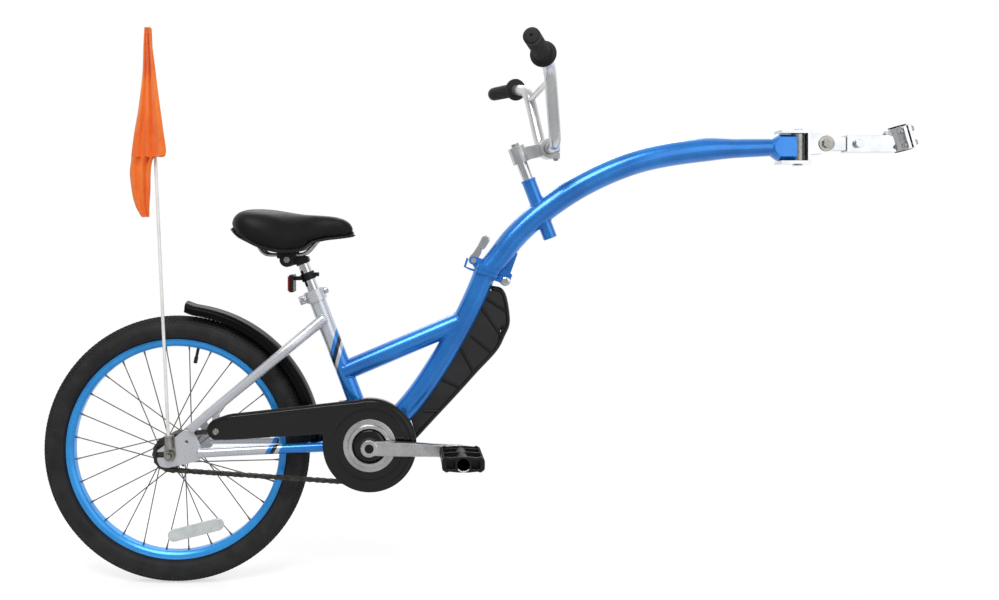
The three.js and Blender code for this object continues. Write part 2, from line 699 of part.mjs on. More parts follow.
function dropoutPlate() {
  const left = -dropout.length * 0.3;
  const low = -dropout.height * 0.35;
  const outline = dropoutShares.map(([x, z]) => new THREE.Vector2(
    left + x * dropout.length, low + z * dropout.height,
  ));
  const plate = sidePlate(outline, -dropout.innerOffset - dropout.wall, -dropout.innerOffset);
  const slotHalf = axle.radius + gap;
  const slot = box(
    left - overrun, slotHalf, -dropout.innerOffset - dropout.wall - overrun,
    -dropout.innerOffset + overrun, -slotHalf, slotHalf,
  );
  const slotEnd = crossRod(
    slotHalf, 0, slotHalf, -dropout.innerOffset - dropout.wall - overrun, -dropout.innerOffset + overrun,
  );
  return cut(plate, slot, slotEnd);
}

// Each stay as [share of its way in the side view, sideways share from its inner to its outer end]
const seatStayShares = [[0, 0], [0.12, 0.18], [0.24, 0.46], [0.32, 0.57], [0.45, 0.62], [0.7, 0.76], [1, 1]];
const chainStayShares = [[0, 0], [0.24, 0.4], [0.38, 0.5], [0.6, 0.66], [1, 1]];

function stayPath(from, to, yFrom, yTo, shares) {
  return shares.map(
    ([along, out]) => from.clone().lerp(to, along).setY(-THREE.MathUtils.lerp(yFrom, yTo, out)),
  );
}

function radiiAlong(count, from, to) {
  return Array.from({ length: count }, (_, i) => THREE.MathUtils.lerp(from, to, i / (count - 1)));
}

const dropoutOutside = dropout.innerOffset + dropout.wall;
const seatStayTop = bb.clone().addScaledVector(seatAxis, seatTube.length * 0.81);
const seatStayEnd = at(dropout.length * 0.48, 0, dropout.height * 0.69);
const seatStayPath = stayPath(
  seatStayTop, seatStayEnd, seatTube.radius * 0.7, dropoutOutside + seatStay.endRadius * 0.3,
  seatStayShares,
);
const chainStayStart = bb.clone().add(
  at(-bottomBracket.shellRadius * 0.4, 0, -bottomBracket.shellRadius * 0.2),
);
const chainStayEnd = at(dropout.length * 0.66, 0, dropout.height * 0.04);
const chainStayPath = stayPath(
  chainStayStart, chainStayEnd, bottomBracket.shellHalf * 0.62,
  dropout.innerOffset + dropout.wall / 2, chainStayShares,
);

const stayBridgeSpot = seatStayTop.clone().lerp(seatStayEnd, bridge.stayShare);
const chainBridgeSpot = chainStayStart.clone().lerp(chainStayEnd, bridge.chainShare);

function guardTabs() {
  const outer = chainGuard.offset - gap;
  const rear = sidePlate(
    new THREE.Shape([
      new THREE.Vector2(guardTab.rearX - guardTab.rearHalf, guardTab.rearZ - guardTab.rearHalf),
      new THREE.Vector2(guardTab.rearX + guardTab.rearHalf, guardTab.rearZ - guardTab.rearHalf),
      new THREE.Vector2(guardTab.rearX + guardTab.rearHalf, guardTab.rearZ + guardTab.rearHalf * 6),
      new THREE.Vector2(guardTab.rearX - guardTab.rearHalf, guardTab.rearZ + guardTab.rearHalf * 5.2),
    ]), -outer, -outer + guardTab.wall,
  );
  const rearHole = crossRod(
    guardTab.rearX, guardTab.rearZ, guardTab.holeRadius, -outer - overrun, -outer + overrun * 2,
    sides.small,
  );
  const frontZ = bb.z + ringRadius + chain.plateHeight / 2 - guardTab.frontHeight * 0.1;
  const seatX = bb.x - (frontZ - bb.z) * Math.tan(degrees(seatTubeDegrees));
  const front = box(
    seatX - guardTab.frontLength, seatX, -outer, 0, frontZ - guardTab.frontHeight / 2,
    frontZ + guardTab.frontHeight / 2,
  );
  return { rear: cut(rear, rearHole), front };
}

function lowerFoldParts() {
  const plate = foldSlab(-fold.flangeRear, fold.flangeFront, -fold.flangeWall, -gap / 2);
  const webTop = -gap;
  const earOuter = fold.knuckleHalf + gap + fold.earWall;
  const web = sidePlate(foldOutline([
    [fold.flangeFront * 0.4, webTop - fold.flangeWall / 2], [fold.flangeFront, webTop],
    [fold.pinAlong - fold.knuckleRadius * 0.7, webTop],
    [fold.pinAlong, -fold.pinBelow],
    [fold.pinAlong - fold.knuckleRadius * 0.4, -fold.pinBelow - fold.knuckleRadius * 0.9],
    [fold.flangeFront * 0.6, -fold.flangeWall * 2.2],
  ]), -earOuter, -fold.knuckleHalf - gap);
  const eye = crossRod(foldPin.x, foldPin.z, fold.knuckleRadius, -earOuter, -fold.knuckleHalf - gap);
  const hole = crossRod(foldPin.x, foldPin.z, fold.pinRadius + gap, -earOuter - overrun, earOuter + overrun);
  const near = joined(web, eye);
  const lip = sidePlate(foldOutline([
    [-fold.flangeRear + overrun, -latch.lipBelow], [-fold.flangeRear - latch.lipLength, -latch.lipBelow],
    [-fold.flangeRear - latch.lipLength, -latch.lipBelow - latch.lipDepth],
    [-fold.flangeRear + overrun, -latch.lipBelow - latch.lipDepth],
  ]), -latch.earInner, latch.earInner);
  return { plate: joined(plate, near, mirrored(near), lip), hole };
}

// A flange with rounded ends, square to the fold's plane
function foldSlab(from, to, below, above) {
  const shape = new THREE.Shape();
  const end = fold.flangeHalf * 0.55;
  shape.moveTo(from + end, -fold.flangeHalf);
  shape.lineTo(to - end, -fold.flangeHalf);
  shape.quadraticCurveTo(to, -fold.flangeHalf, to, 0);
  shape.quadraticCurveTo(to, fold.flangeHalf, to - end, fold.flangeHalf);
  shape.lineTo(from + end, fold.flangeHalf);
  shape.quadraticCurveTo(from, fold.flangeHalf, from, 0);
  shape.quadraticCurveTo(from, -fold.flangeHalf, from + end, -fold.flangeHalf);
  const geometry = new THREE.ExtrudeGeometry(
    shape, { depth: above - below, bevelEnabled: false, curveSegments: 4 },
  );
  const basis = new THREE.Matrix4().makeBasis(foldAlong, at(0, 1, 0), foldUp);
  geometry.translate(0, 0, below);
  geometry.applyMatrix4(basis);
  geometry.translate(foldPoint.x, 0, foldPoint.z);
  return solidFrom(geometry);
}

// Everything on one side of the split plane, as a block for cutting
function foldHalfSpace(above) {
  const reach = beam.radius * 2;
  const [low, high] = above ? [-gap / 2, reach] : [-reach, gap / 2];
  return sidePlate(foldOutline([[-reach, low], [reach, low], [reach, high], [-reach, high]]), -reach, reach);
}

function mainFrameSolid() {
  const bbPoint = (y) => at(bb.x, y, bb.z);
  const shell = rodBetween(
    bbPoint(-bottomBracket.shellHalf), bbPoint(bottomBracket.shellHalf), bottomBracket.shellRadius,
  );
  const shellBore = rodBetween(
    bbPoint(-bottomBracket.shellHalf - overrun),
    bbPoint(bottomBracket.shellHalf + overrun),
    bottomBracket.boreRadius,
  );
  const seat = rodBetween(bb, seatTop, seatTube.radius);
  const above = seatTop.clone().addScaledVector(seatAxis, overrun);
  const step = seatTop.clone().addScaledVector(seatAxis, -seatTube.sleeve);
  const seatBore = joined(
    rodBetween(step, above, seatTube.boreRadius),
    rodBetween(bb, step, seatTube.lowerBoreRadius, sides.bore),
  );
  const down = cut(tube(downTubePath, downTube.radius), foldHalfSpace(true));
  const downBore = tube(downTubePath, downTube.radius - downTube.wall, sides.bore);
  const topStart = bb.clone().addScaledVector(seatAxis, topTube.seatRise);
  const topEnd = bb.clone().lerp(foldPoint, topTube.downShare).add(at(downTube.radius, 0, 0));
  const top = rodBetween(topStart, topEnd, topTube.radius);
  const topBore = rodBetween(topStart, topEnd, topTube.radius - topTube.wall, sides.bore);

  const seatStayRadii = radiiAlong(seatStayPath.length, seatStay.topRadius, seatStay.endRadius);
  const chainStayRadii = radiiAlong(chainStayPath.length, chainStay.frontRadius, chainStay.endRadius);
  const seatStayTube = tube(seatStayPath, seatStayRadii, sides.stay);
  const chainStayTube = tube(chainStayPath, chainStayRadii, sides.stay);

  const stayBridge = crossRod(
    stayBridgeSpot.x, stayBridgeSpot.z, bridge.stayRadius, -fender.halfWidth, fender.halfWidth,
  );
  const chainBridge = crossRod(
    chainBridgeSpot.x, chainBridgeSpot.z, bridge.chainRadius, -fender.halfWidth, fender.halfWidth,
  );

  const tabs = guardTabs();
  const folds = lowerFoldParts();
  const sidePieces = joined(seatStayTube, chainStayTube, dropoutPlate());
  const outside = joined(
    shell, seat, down, top, sidePieces, mirrored(sidePieces), stayBridge, chainBridge,
    tabs.rear, tabs.front, folds.plate,
  );
  return cut(outside, shellBore, seatBore, downBore, topBore, folds.hole);
}

piece(rearFrame, 'main_frame', bluePaint, mainFrameSolid());
piece(rearFrame, 'chain', darkSteel, chainSolid());

function cupSolid() {
  const inner = bottomBracket.shellHalf;
  return turned([
    [cup.boreRadius, inner - cup.threadLength],
    [bottomBracket.boreRadius - gap * 2, inner - cup.threadLength],
    [bottomBracket.boreRadius - gap * 2, inner + gap], [cup.flangeRadius, inner + gap],
    [cup.flangeRadius, inner + gap + cup.flangeWall], [cup.boreRadius, inner + gap + cup.flangeWall],
  ]).translate([bb.x, 0, bb.z]);
}

piece(rearFrame, 'left_bb_cup', darkSteel, cupSolid());
piece(rearFrame, 'right_bb_cup', darkSteel, mirrored(cupSolid()));

function axleSolid() {
  const inside = dropout.innerOffset - gap;
  return turned([
    [0, -axle.halfLength], [axle.radius, -axle.halfLength], [axle.radius, -inside],
    [axle.coneRadius, -inside], [axle.coneRadius, -hub.bossEnd - gap], [axle.radius, -hub.bossEnd - gap],
    [axle.radius, hub.halfLength + gap], [axle.coneRadius, hub.halfLength + gap], [axle.coneRadius, inside],
    [axle.radius, inside], [axle.radius, axle.halfLength], [0, axle.halfLength],
  ], sides.bore);
}

function nutSolid(start) {
  const nut = crossRod(0, 0, axleNut.radius, start, start + axleNut.height, 6);
  return cut(nut, crossRod(0, 0, axle.radius + gap, start - overrun, start + axleNut.height + overrun));
}

const bracketInner = dropoutOutside + gap;
const bracketOuter = bracketInner + flagBracket.wall;

piece(rearFrame, 'rear_axle', darkSteel, axleSolid());
piece(rearFrame, 'left_axle_nut', chrome, nutSolid(dropoutOutside + gap));
piece(rearFrame, 'right_axle_nut', chrome, mirrored(nutSolid(bracketOuter + gap)));

// Flag: a bracket under the axle nut, a springy pole and a pennant that hangs in folds
const poleUp = at(-Math.sin(degrees(pole.leanDegrees)), 0, Math.cos(degrees(pole.leanDegrees)));
const poleY = -bracketOuter - flagBracket.socketRadius;
const poleFoot = at(0, poleY, flagBracket.socketHeight - flagBracket.socketLength / 2);
const poleTop = poleFoot.clone().addScaledVector(poleUp, pole.length);

function flagBracketSolid() {
  const half = flagBracket.halfWidth;
  const top = flagBracket.socketHeight + flagBracket.socketLength / 2;
  const plate = sidePlate([
    new THREE.Vector2(-half * 0.6, -half), new THREE.Vector2(half * 0.6, -half), new THREE.Vector2(half, 0),
    new THREE.Vector2(half * 0.7, top), new THREE.Vector2(-half * 0.7, top), new THREE.Vector2(-half, 0),
  ], -bracketOuter, -bracketInner);
  const low = poleFoot.clone().addScaledVector(poleUp, -flagBracket.wall);
  const high = poleFoot.clone().addScaledVector(poleUp, flagBracket.socketLength);
  const socket = rodBetween(low, high, flagBracket.socketRadius + gap, sides.medium);
  const bore = rodBetween(
    poleFoot.clone().addScaledVector(poleUp, -gap), high.addScaledVector(poleUp, overrun),
    pole.radius + gap, sides.small,
  );
  const hole = crossRod(0, 0, axle.radius + gap, -bracketOuter - overrun, -bracketInner + overrun);
  return cut(joined(plate, socket), bore, hole);
}

piece(rearFrame, 'flag_bracket', chrome, flagBracketSolid());
piece(rearFrame, 'flag_pole', whiteRod, rodBetween(poleFoot, poleTop, pole.radius, sides.small));

// The outline of a strip of cloth that follows a path in plan, given at one height
function clothRing(path, height, centre) {
  const half = flag.cloth / 2;
  const side = (sign) => path.map(([x, y], i) => {
    const [before, after] = [path[Math.max(i - 1, 0)], path[Math.min(i + 1, path.length - 1)]];
    const run = new THREE.Vector2(after[0] - before[0], after[1] - before[1]).normalize();
    return at(centre.x + x - sign * run.y * half, centre.y + y + sign * run.x * half, height);
  });
  return [...side(1), ...side(-1).reverse()];
}

function poleAt(height) {
  return poleFoot.clone().addScaledVector(poleUp, (height - poleFoot.z) / poleUp.z);
}

// Each level of the pennant as [share of its drop, share of its left reach, share of its right reach]
const flagLevelShares = [
  [0, 0.16, 0.14], [0.12, 0.24, 0.3], [0.25, 0.32, 0.48],
  [0.4, 0.5, 0.66], [0.55, 0.74, 0.86], [0.66, 0.88, 1],
  [0.7, 0.92, -0.1], [0.78, 1, -0.32], [0.86, 0.96, -0.4], [0.94, 0.84, -0.55], [1, 0.62, -0.62],
];
// The folds of one level: right of the pole as [share of the way from the edge, depth in folds], and
// left of it as [share of the way from the pole, depth in folds]
const rightFoldShares = [[0, -0.9], [0.5, -1.4], [1, 0]];
const leftFoldShares = [[0.28, -1.1], [0.52, -0.4], [0.76, -1.3], [1, -0.5]];
const lowestPoleShare = 0.24;

function flagSolid() {
  const sleeveRadius = pole.radius + gap + flag.cloth / 2;
  const sleevePath = Array.from({ length: 9 }, (_, i) => {
    const angle = Math.PI / 2 + degrees(20) - degrees(320) * i / 8;
    return [sleeveRadius * Math.cos(angle), sleeveRadius * Math.sin(angle)];
  });
  const top = poleTop.z - pole.radius;
  const sleeve = loft([0, 1].map((share) => {
    const height = top - flag.hoist * (1 - share);
    return clothRing(sleevePath, height, poleAt(height));
  }), sheetCap);
  const rings = flagLevelShares.map(([down, left, right]) => {
    const height = top - flag.drop * down;
    const [from, to] = [flag.right * right, -flag.left * left];
    const depth = flag.fold * Math.min(1, (left + right + 0.6) / 1.4);
    const poleShare = Math.max(lowestPoleShare, from / (from - to));
    const folds = [
      ...rightFoldShares.map(([along, out]) => [along * poleShare, out]),
      ...leftFoldShares.map(([along, out]) => [poleShare + along * (1 - poleShare), out]),
    ];
    const path = folds.map(([across, out]) => [
      THREE.MathUtils.lerp(from, to, across), out * depth - sleeveRadius,
    ]);
    return clothRing(path, height, poleAt(height));
  });
  return joined(sleeve, loft(rings.reverse(), sheetCap));
}

piece(rearFrame, 'flag', orangeCloth, flagSolid());

// Seat collar with two ears behind, and its bolt
function collarSolid() {
  const low = seatTop.clone().addScaledVector(seatAxis, -seatCollar.height);
  const high = seatTop.clone();
  const ring = rodBetween(low, high, seatCollar.radius, sides.tube);
  const back = at(-Math.cos(degrees(seatTubeDegrees)), 0, -Math.sin(degrees(seatTubeDegrees)));
  const middle = low.clone().lerp(high, 0.5);
  const reach = seatCollar.radius + seatCollar.earReach;
  const ear = rodBetween(
    middle.clone().addScaledVector(back, seatTube.radius),
    middle.clone().addScaledVector(back, reach), seatCollar.earHalf,
    sides.small,
  );
  const tubeRoom = rodBetween(
    low.clone().addScaledVector(seatAxis, -overrun), high.clone().addScaledVector(seatAxis, overrun),
    seatTube.radius + gap,
  );
  const slitHalf = seatTube.radius * 0.1;
  const slit = rodBetween(middle, middle.clone().addScaledVector(back, reach * 2), seatCollar.height * 2, 4);
  const slitRoom = slit.intersect(box(-fold.x, fold.x, -slitHalf, slitHalf, -fold.z, seatTop.z * 2));
  const boltSpot = middle.clone().addScaledVector(back, seatCollar.radius + seatCollar.earReach * 0.4);
  const hole = crossRod(
    boltSpot.x, boltSpot.z, seatCollar.boltRadius + gap, -seatCollar.radius, seatCollar.radius,
    sides.small,
  );
  return { solid: cut(joined(ring, ear), tubeRoom, slitRoom, hole), boltSpot };
}

const collar = collarSolid();
piece(rearFrame, 'seat_collar', silverPaint, collar.solid);

function collarBoltSolid() {
  const { x, z } = collar.boltSpot;
  const half = seatCollar.earHalf + gap;
  return joined(
    crossRod(
      x, z, seatCollar.boltRadius, -half - seatCollar.boltRadius, half + seatCollar.boltRadius,
      sides.small,
    ),
    crossRod(x, z, seatCollar.boltHead, -half - seatCollar.boltHead, -half, sides.small),
    crossRod(x, z, seatCollar.boltHead, half, half + seatCollar.boltHead, 6),
  );
}

piece(rearFrame, 'collar_bolt', chrome, collarBoltSolid());

// The moulded guard fills the corner in front of the down tube
function splashGuardSolid() {
  const top = inFold(0, 0).z - (fold.z - splashGuard.top);
  const low = splashGuard.tip;
  const [left, right] = [splashGuard.tipX, fold.x];
  const guardShares = [
    [0, 0], [0.56, 0.28], [1.19, 0.602], [1.28, 0.685], [1.348, 0.757], [1.353, 0.815], [1.266, 0.985],
    [1.14, 1.005], [0.85, 0.8], [0.4, 0.5], [-0.08, 0.1],
  ];
  const outline = guardShares.map(([x, z]) => new THREE.Vector2(
    THREE.MathUtils.lerp(left, right, x), THREE.MathUtils.lerp(low, top, z),
  ));
  const shape = new THREE.Shape(outline);
  const geometry = new THREE.ExtrudeGeometry(shape, {
    depth: 2 * (splashGuard.halfWidth - splashGuard.bevel),
    bevelEnabled: true,
    bevelThickness: splashGuard.bevel,
    bevelSize: splashGuard.bevel, bevelOffset: -splashGuard.bevel, bevelSegments: 1,
  });
  geometry.rotateX(Math.PI / 2);
  geometry.translate(0, splashGuard.halfWidth - splashGuard.bevel, 0);
  const room = tube(downTubePath, downTube.radius + gap * 2);
  const holeShares = [[1.2, 0.62], [1.275, 0.71], [1.29, 0.76], [1.235, 0.72]];
  const windowPoints = holeShares.map(([x, z]) => new THREE.Vector2(
    THREE.MathUtils.lerp(left, right, x) - splashGuard.bevel, THREE.MathUtils.lerp(low, top, z),
  ));
  const window = sidePlate(windowPoints, -splashGuard.halfWidth - overrun, splashGuard.halfWidth + overrun);
  return cut(solidFrom(geometry), room, window);
}

piece(rearFrame, 'splash_guard', blackPlastic, splashGuardSolid());

// Chain guard: a long arm that widens into a disc round the chainring
function guardOutline(inset) {
  const radius = chainGuard.radius - inset;
  const rearTop = at(chainGuard.rearX + chainGuard.rearRadius * 0.9, 0, chainGuard.topRise - inset);
  const frontTop = at(chainGuard.frontX, 0, chainGuard.frontRise - inset);
  const topAngle = Math.atan2(frontTop.z - bb.z, frontTop.x - bb.x);
  const startAngle = Math.min(topAngle, degrees(105));
  const joinAngle = degrees(-187);
  const steps = 24;
  const arc = Array.from({ length: steps + 1 }, (_, i) => {
    const spot = onWheel(radius, THREE.MathUtils.lerp(startAngle, joinAngle, i / steps)).add(bb);
    return new THREE.Vector2(spot.x, spot.z);
  });
  const rear = Array.from({ length: 5 }, (_, i) => {
    const angle = degrees(THREE.MathUtils.lerp(250, 120, i / 4));
    return new THREE.Vector2(
      chainGuard.rearX + (chainGuard.rearRadius - inset) * Math.cos(angle),
      chainGuard.rearZ + (chainGuard.rearRadius - inset) * Math.sin(angle),
    );
  });
  return [
    new THREE.Vector2(rearTop.x, rearTop.z),
    new THREE.Vector2(frontTop.x, frontTop.z),
    ...arc,
    new THREE.Vector2(bb.x - radius, chainGuard.bottomFrontRise + inset),
    new THREE.Vector2(chainGuard.rearX + chainGuard.rearRadius, chainGuard.bottomRise + inset),
    ...rear,
  ];
}

function chainGuardSolid() {
  const outer = chainGuard.offset + chainGuard.wall;
  const plate = sidePlate(guardOutline(0), -outer, -chainGuard.offset);
  const rimPlate = sidePlate(
    guardOutline(0), -chainGuard.offset - chainGuard.wall / 2,
    -chainGuard.offset + chainGuard.lipDepth,
  );
  const room = sidePlate(
    guardOutline(chainGuard.lipWall), -outer - overrun,
    -chainGuard.offset + chainGuard.lipDepth + overrun,
  );
  // The turned-in lip runs along the top and round the front; it is left off below and behind
  const chainTop = chainPoint(cogWrap / 2 + runPitches / 2);
  const lipStart = guardTab.rearX + guardTab.rearHalf + overrun;
  const farX = bb.x + chainGuard.radius * 2;
  const farZ = bb.z + chainGuard.radius * 2;
  const keepTop = sidePlate([
    new THREE.Vector2(lipStart, chainTop.z), new THREE.Vector2(bb.x, bb.z), new THREE.Vector2(farX, bb.z),
    new THREE.Vector2(farX, farZ), new THREE.Vector2(lipStart, farZ),
  ], -outer - overrun, 0);
  const lip = cut(rimPlate, room).intersect(keepTop);
  const hole = rodBetween(
    at(bb.x, -outer - overrun, bb.z), at(bb.x, overrun - chainGuard.offset, bb.z), chainGuard.holeRadius, 24,
  );
  const boltHole = crossRod(
    guardTab.rearX, guardTab.rearZ, guardTab.holeRadius, -outer - overrun,
    overrun - chainGuard.offset, sides.small,
  );
  return cut(joined(plate, lip), hole, boltHole);
}

function guardRingSolid() {
  const face = -chainGuard.offset - chainGuard.wall - gap;
  return turned([
    [guardRing.radius, face], [guardRing.radius, face - guardRing.wall],
    [guardRing.stepRadius, face - guardRing.step],
    [guardRing.stepRadius - guardRing.wall, face - guardRing.height],
    [guardRing.innerRadius + guardRing.wall, face - guardRing.height],
    [guardRing.innerRadius, face - guardRing.step], [guardRing.innerRadius, face],
  ], 18).translate([bb.x, 0, bb.z]);
}

piece(rearFrame, 'chain_guard', glossPlastic, chainGuardSolid());
piece(rearFrame, 'guard_ring', chrome, guardRingSolid());

// Fender: a shell round the front upper quarter of the tyre, flared at its rear tip
const fenderShares = [[0, 1], [0.55, 0.98], [0.86, 0.72], [0.96, 0.35], [1, 0]];

function fenderSolid() {
  const half = (inset) => fenderShares.map(([up, out]) => [
    fender.crown - fender.skirt + up * fender.skirt - inset * (up > 0.5 ? 1 : 0),
    out * (fender.halfWidth - inset),
  ]);
  const across = (points) => [...points, ...points.slice(0, -1).map(([r, y]) => [r, -y]).reverse()];
  const section = [...across(half(0)), ...across(half(fender.wall)).reverse()];
  const steps = 16;
  const rings = Array.from({ length: steps + 1 }, (_, i) => {
    const angle = degrees(THREE.MathUtils.lerp(fenderStartDegrees, fenderEndDegrees, i / steps));
    const lift = i === steps ? fender.flare : 0;
    return section.map(([r, y]) => onWheel(r + lift, angle, y));
  });
  // Two feet carry it: one on the bridge of the seat stays and one on that of the chain stays
  const foot = (bridgeSpot, bridgeRadius, angle) => {
    const start = onWheel(fender.crown - fender.wall / 2, angle);
    const run = bridgeSpot.clone().sub(start);
    const length = run.length() - bridgeRadius - gap;
    return rodBetween(start, start.clone().add(run.setLength(length)), fender.footRadius, sides.bore);
  };
  const stayAngle = Math.atan2(stayBridgeSpot.z, stayBridgeSpot.x);
  const lowAngle = degrees(fenderStartDegrees) + fender.footRadius / fender.crown;
  return joined(
    loft(rings, sheetCap), foot(stayBridgeSpot, bridge.stayRadius, stayAngle),
    foot(chainBridgeSpot, bridge.chainRadius, lowAngle),
  );
}

piece(rearFrame, 'fender', blackPlastic, fenderSolid());

// Crank: a spindle in the bottom bracket, two arms half a turn apart and the chainring
const cranks = groupAt(fromAxle, bb.x, bb.z, 'crank');

function chainringSolid() {
  const firstRoller = Math.ceil(cogWrap / 2 + runPitches);
  const spot = chainPoint(firstRoller).sub(bb);
  const disc = toothedDisc(
    chainring.teeth, ringRadius, chainring.wall, chainring.tipHeight, Math.atan2(spot.z, spot.x),
  );
  const [near, far] = [chain.line - chainring.wall, chain.line + chainring.wall];
  return cut(disc, crossRod(0, 0, crank.spindleRadius + gap, near, far, sides.medium));
}

// One crank arm on the right side, along +X from its boss at the origin
function armSolid(hasRing) {
  const inner = hasRing ? -chain.line + chainring.wall / 2 + gap : crank.bossInner;
  const boss = crossRod(
    0, 0, crank.bossRadius, -crank.armOuter - crank.spindleRadius * 0.2, -inner, sides.tube,
  );
  const shape = new THREE.Shape();
  const [root, end] = [crank.armHalfHeight, crank.endHalfHeight];
  shape.moveTo(0, -root);
  shape.lineTo(crank.length, -end);
  shape.absarc(crank.length, 0, end, -Math.PI / 2, Math.PI / 2);
  shape.lineTo(0, root);
  const arm = sidePlate(shape, -crank.armOuter, -crank.armInner, 5);
  const bevel = sidePlate([
    new THREE.Vector2(crank.bossRadius / 2, -root * 0.4), new THREE.Vector2(crank.length * 0.9, -end * 0.4),
    new THREE.Vector2(crank.length * 0.9, end * 0.4), new THREE.Vector2(crank.bossRadius / 2, root * 0.4),
  ], -crank.armOuter - crank.spindleRadius * 0.2, -crank.armOuter + crank.spindleRadius * 0.2);
  const bore = crossRod(0, 0, crank.spindleRadius + gap, -crank.spindleHalfLength - gap, -inner + overrun);
  const pedalHole = crossRod(
    crank.length, 0, pedal.axleRadius + gap, -crank.armOuter - overrun, -crank.armInner + overrun,
  );
  return cut(joined(boss, arm, bevel), bore, pedalHole);
}

function turnAboutY(solid, angleDegrees) {
  return solid.rotate([0, -angleDegrees, 0]);
}

function capSolid() {
  const outer = crank.capInner + crank.capWall;
  const [bore, radius] = [crank.bossRadius + gap, crank.capRadius];
  return turned([
    [bore, -crank.capInner], [radius, -crank.capInner], [radius, -crank.capInner - crank.capWall * 0.4],
    [radius * 0.82, -outer], [bore, -outer],
  ], 20);
}

piece(
  cranks, 'spindle', darkSteel,
  crossRod(0, 0, crank.spindleRadius, -crank.spindleHalfLength, crank.spindleHalfLength),
);
piece(cranks, 'chainring', darkSteel, chainringSolid());
piece(cranks, 'crank_cap', glossPlastic, capSolid());
piece(cranks, 'right_crank', alloy, turnAboutY(armSolid(true), crankDegrees));
piece(cranks, 'left_crank', alloy, turnAboutY(mirrored(armSolid(false)), crankDegrees + 180));

// Pedals: each turns on its axle, which is screwed into the crank
function pedalAxleSolid() {
  const end = pedal.inner + pedal.width - pedal.endWall;
  return joined(
    crossRod(0, 0, pedal.axleRadius, -end, -crank.armInner),
    crossRod(0, 0, pedal.axleRadius * 1.5, -pedal.inner + gap, -crank.armOuter - gap, 6),
  );
}

function pedalSolid() {
  const [near, far] = [-pedal.inner - pedal.width, -pedal.inner];
  const [halfLength, halfHeight] = [pedal.length / 2, pedal.height / 2];
  const core = crossRod(0, 0, pedal.coreRadius, near, far, sides.medium);
  const outline = [
    [-halfLength, -halfHeight * 0.6], [-halfLength * 0.7, -halfHeight],
    [-halfLength * 0.2, -halfHeight * 0.75],
    [halfLength * 0.2, -halfHeight * 0.75], [halfLength * 0.7, -halfHeight], [halfLength, -halfHeight * 0.6],
    [halfLength, halfHeight * 0.6], [halfLength * 0.7, halfHeight], [halfLength * 0.2, halfHeight * 0.75],
    [-halfLength * 0.2, halfHeight * 0.75], [-halfLength * 0.7, halfHeight], [-halfLength, halfHeight * 0.6],
  ].map(([x, z]) => new THREE.Vector2(x, z));
  const block = sidePlate(outline, near, far);
  const windows = [-1, 1].map((side) => {
    const edges = [side * pedal.coreRadius, side * (halfLength - pedal.cageWall)].sort((a, b) => a - b);
    return box(edges[0], edges[1], near + pedal.endWall, far - pedal.endWall, -pedal.height, pedal.height);
  });
  const bore = crossRod(
    0, 0, pedal.axleRadius + gap, near + pedal.endWall - gap, far + overrun, sides.medium,
  );
  return cut(joined(cut(block, ...windows), core), bore);
}

const crankTurn = degrees(crankDegrees);
for (const [name, side] of [['right', 1], ['left', -1]]) {
  const place = onWheel(crank.length * side, crankTurn);
  const group = groupAt(cranks, place.x, place.z, `${name}_pedal_joint`);
  const facing = (solid) => (side > 0 ? solid : mirrored(solid));
  piece(group, `${name}_pedal_axle`, darkSteel, facing(pedalAxleSolid()));
  piece(group, `${name}_pedal`, blackPlastic, facing(pedalSolid()));
}

// Seat post, with the rear reflector on it
const seat = groupAt(fromAxle, 0, 0, 'seat');
const postTop = seatTop.clone().addScaledVector(seatAxis, seatPost.above);

function seatPostSolid() {
  const low = seatTop.clone().addScaledVector(seatAxis, -seatPost.below);
  const bore = rodBetween(
    low.clone().addScaledVector(seatAxis, -overrun), postTop.clone().addScaledVector(seatAxis, overrun),
    seatPost.radius - seatPost.wall,
  );
  return cut(rodBetween(low, postTop, seatPost.radius), bore);
}

const reflectorSpot = seatTop.clone().addScaledVector(seatAxis, rearReflector.along);
const reflectorBack = reflectorSpot.x - seatPost.radius - rearReflector.bandWall - rearReflector.reach;

function reflectorBracketSolid() {
  const half = rearReflector.bandHeight / 2;
  const ends = [-half, half].map((up) => reflectorSpot.clone().addScaledVector(seatAxis, up));
  const band = rodBetween(ends[0], ends[1], seatPost.radius + rearReflector.bandWall);
  const room = rodBetween(
    reflectorSpot.clone().addScaledVector(seatAxis, -half * 2),
    reflectorSpot.clone().addScaledVector(seatAxis, half * 2),
    seatPost.radius + gap,
  );
  const z = reflectorSpot.z;
  const arm = box(
    reflectorBack - rearReflector.lens / 2, reflectorSpot.x - seatPost.radius * 0.5, -half, half,
    z - half, z,
  );
  const tab = box(
    reflectorSpot.x + seatPost.radius * 0.8, reflectorSpot.x + seatPost.radius * 0.8 + half * 1.6,
    -half * 0.6, half * 0.6, z, z + half,
  );
  const shell = box(
    reflectorBack - rearReflector.depth, reflectorBack, -rearReflector.width / 2, rearReflector.width / 2,
    z - rearReflector.height + half, z + half * 0.4,
  );
  const inset = rearReflector.lens * 0.5;
  const pocket = box(
    reflectorBack - rearReflector.depth - overrun, reflectorBack - rearReflector.depth + rearReflector.lens,
    -rearReflector.width / 2 + inset, rearReflector.width / 2 - inset,
    z - rearReflector.height + half + inset, z + half * 0.4 - inset,
  );
  return cut(joined(band, arm, tab, shell), room, pocket);
}

function reflectorLensSolid() {
  const half = rearReflector.bandHeight / 2;
  const inset = rearReflector.lens * 0.5 + gap;
  const z = reflectorSpot.z;
  return box(
    reflectorBack - rearReflector.depth - rearReflector.proud,
    reflectorBack - rearReflector.depth + rearReflector.lens - gap,
    -rearReflector.width / 2 + inset, rearReflector.width / 2 - inset,
    z - rearReflector.height + half + inset, z + half * 0.4 - inset,
  );
}

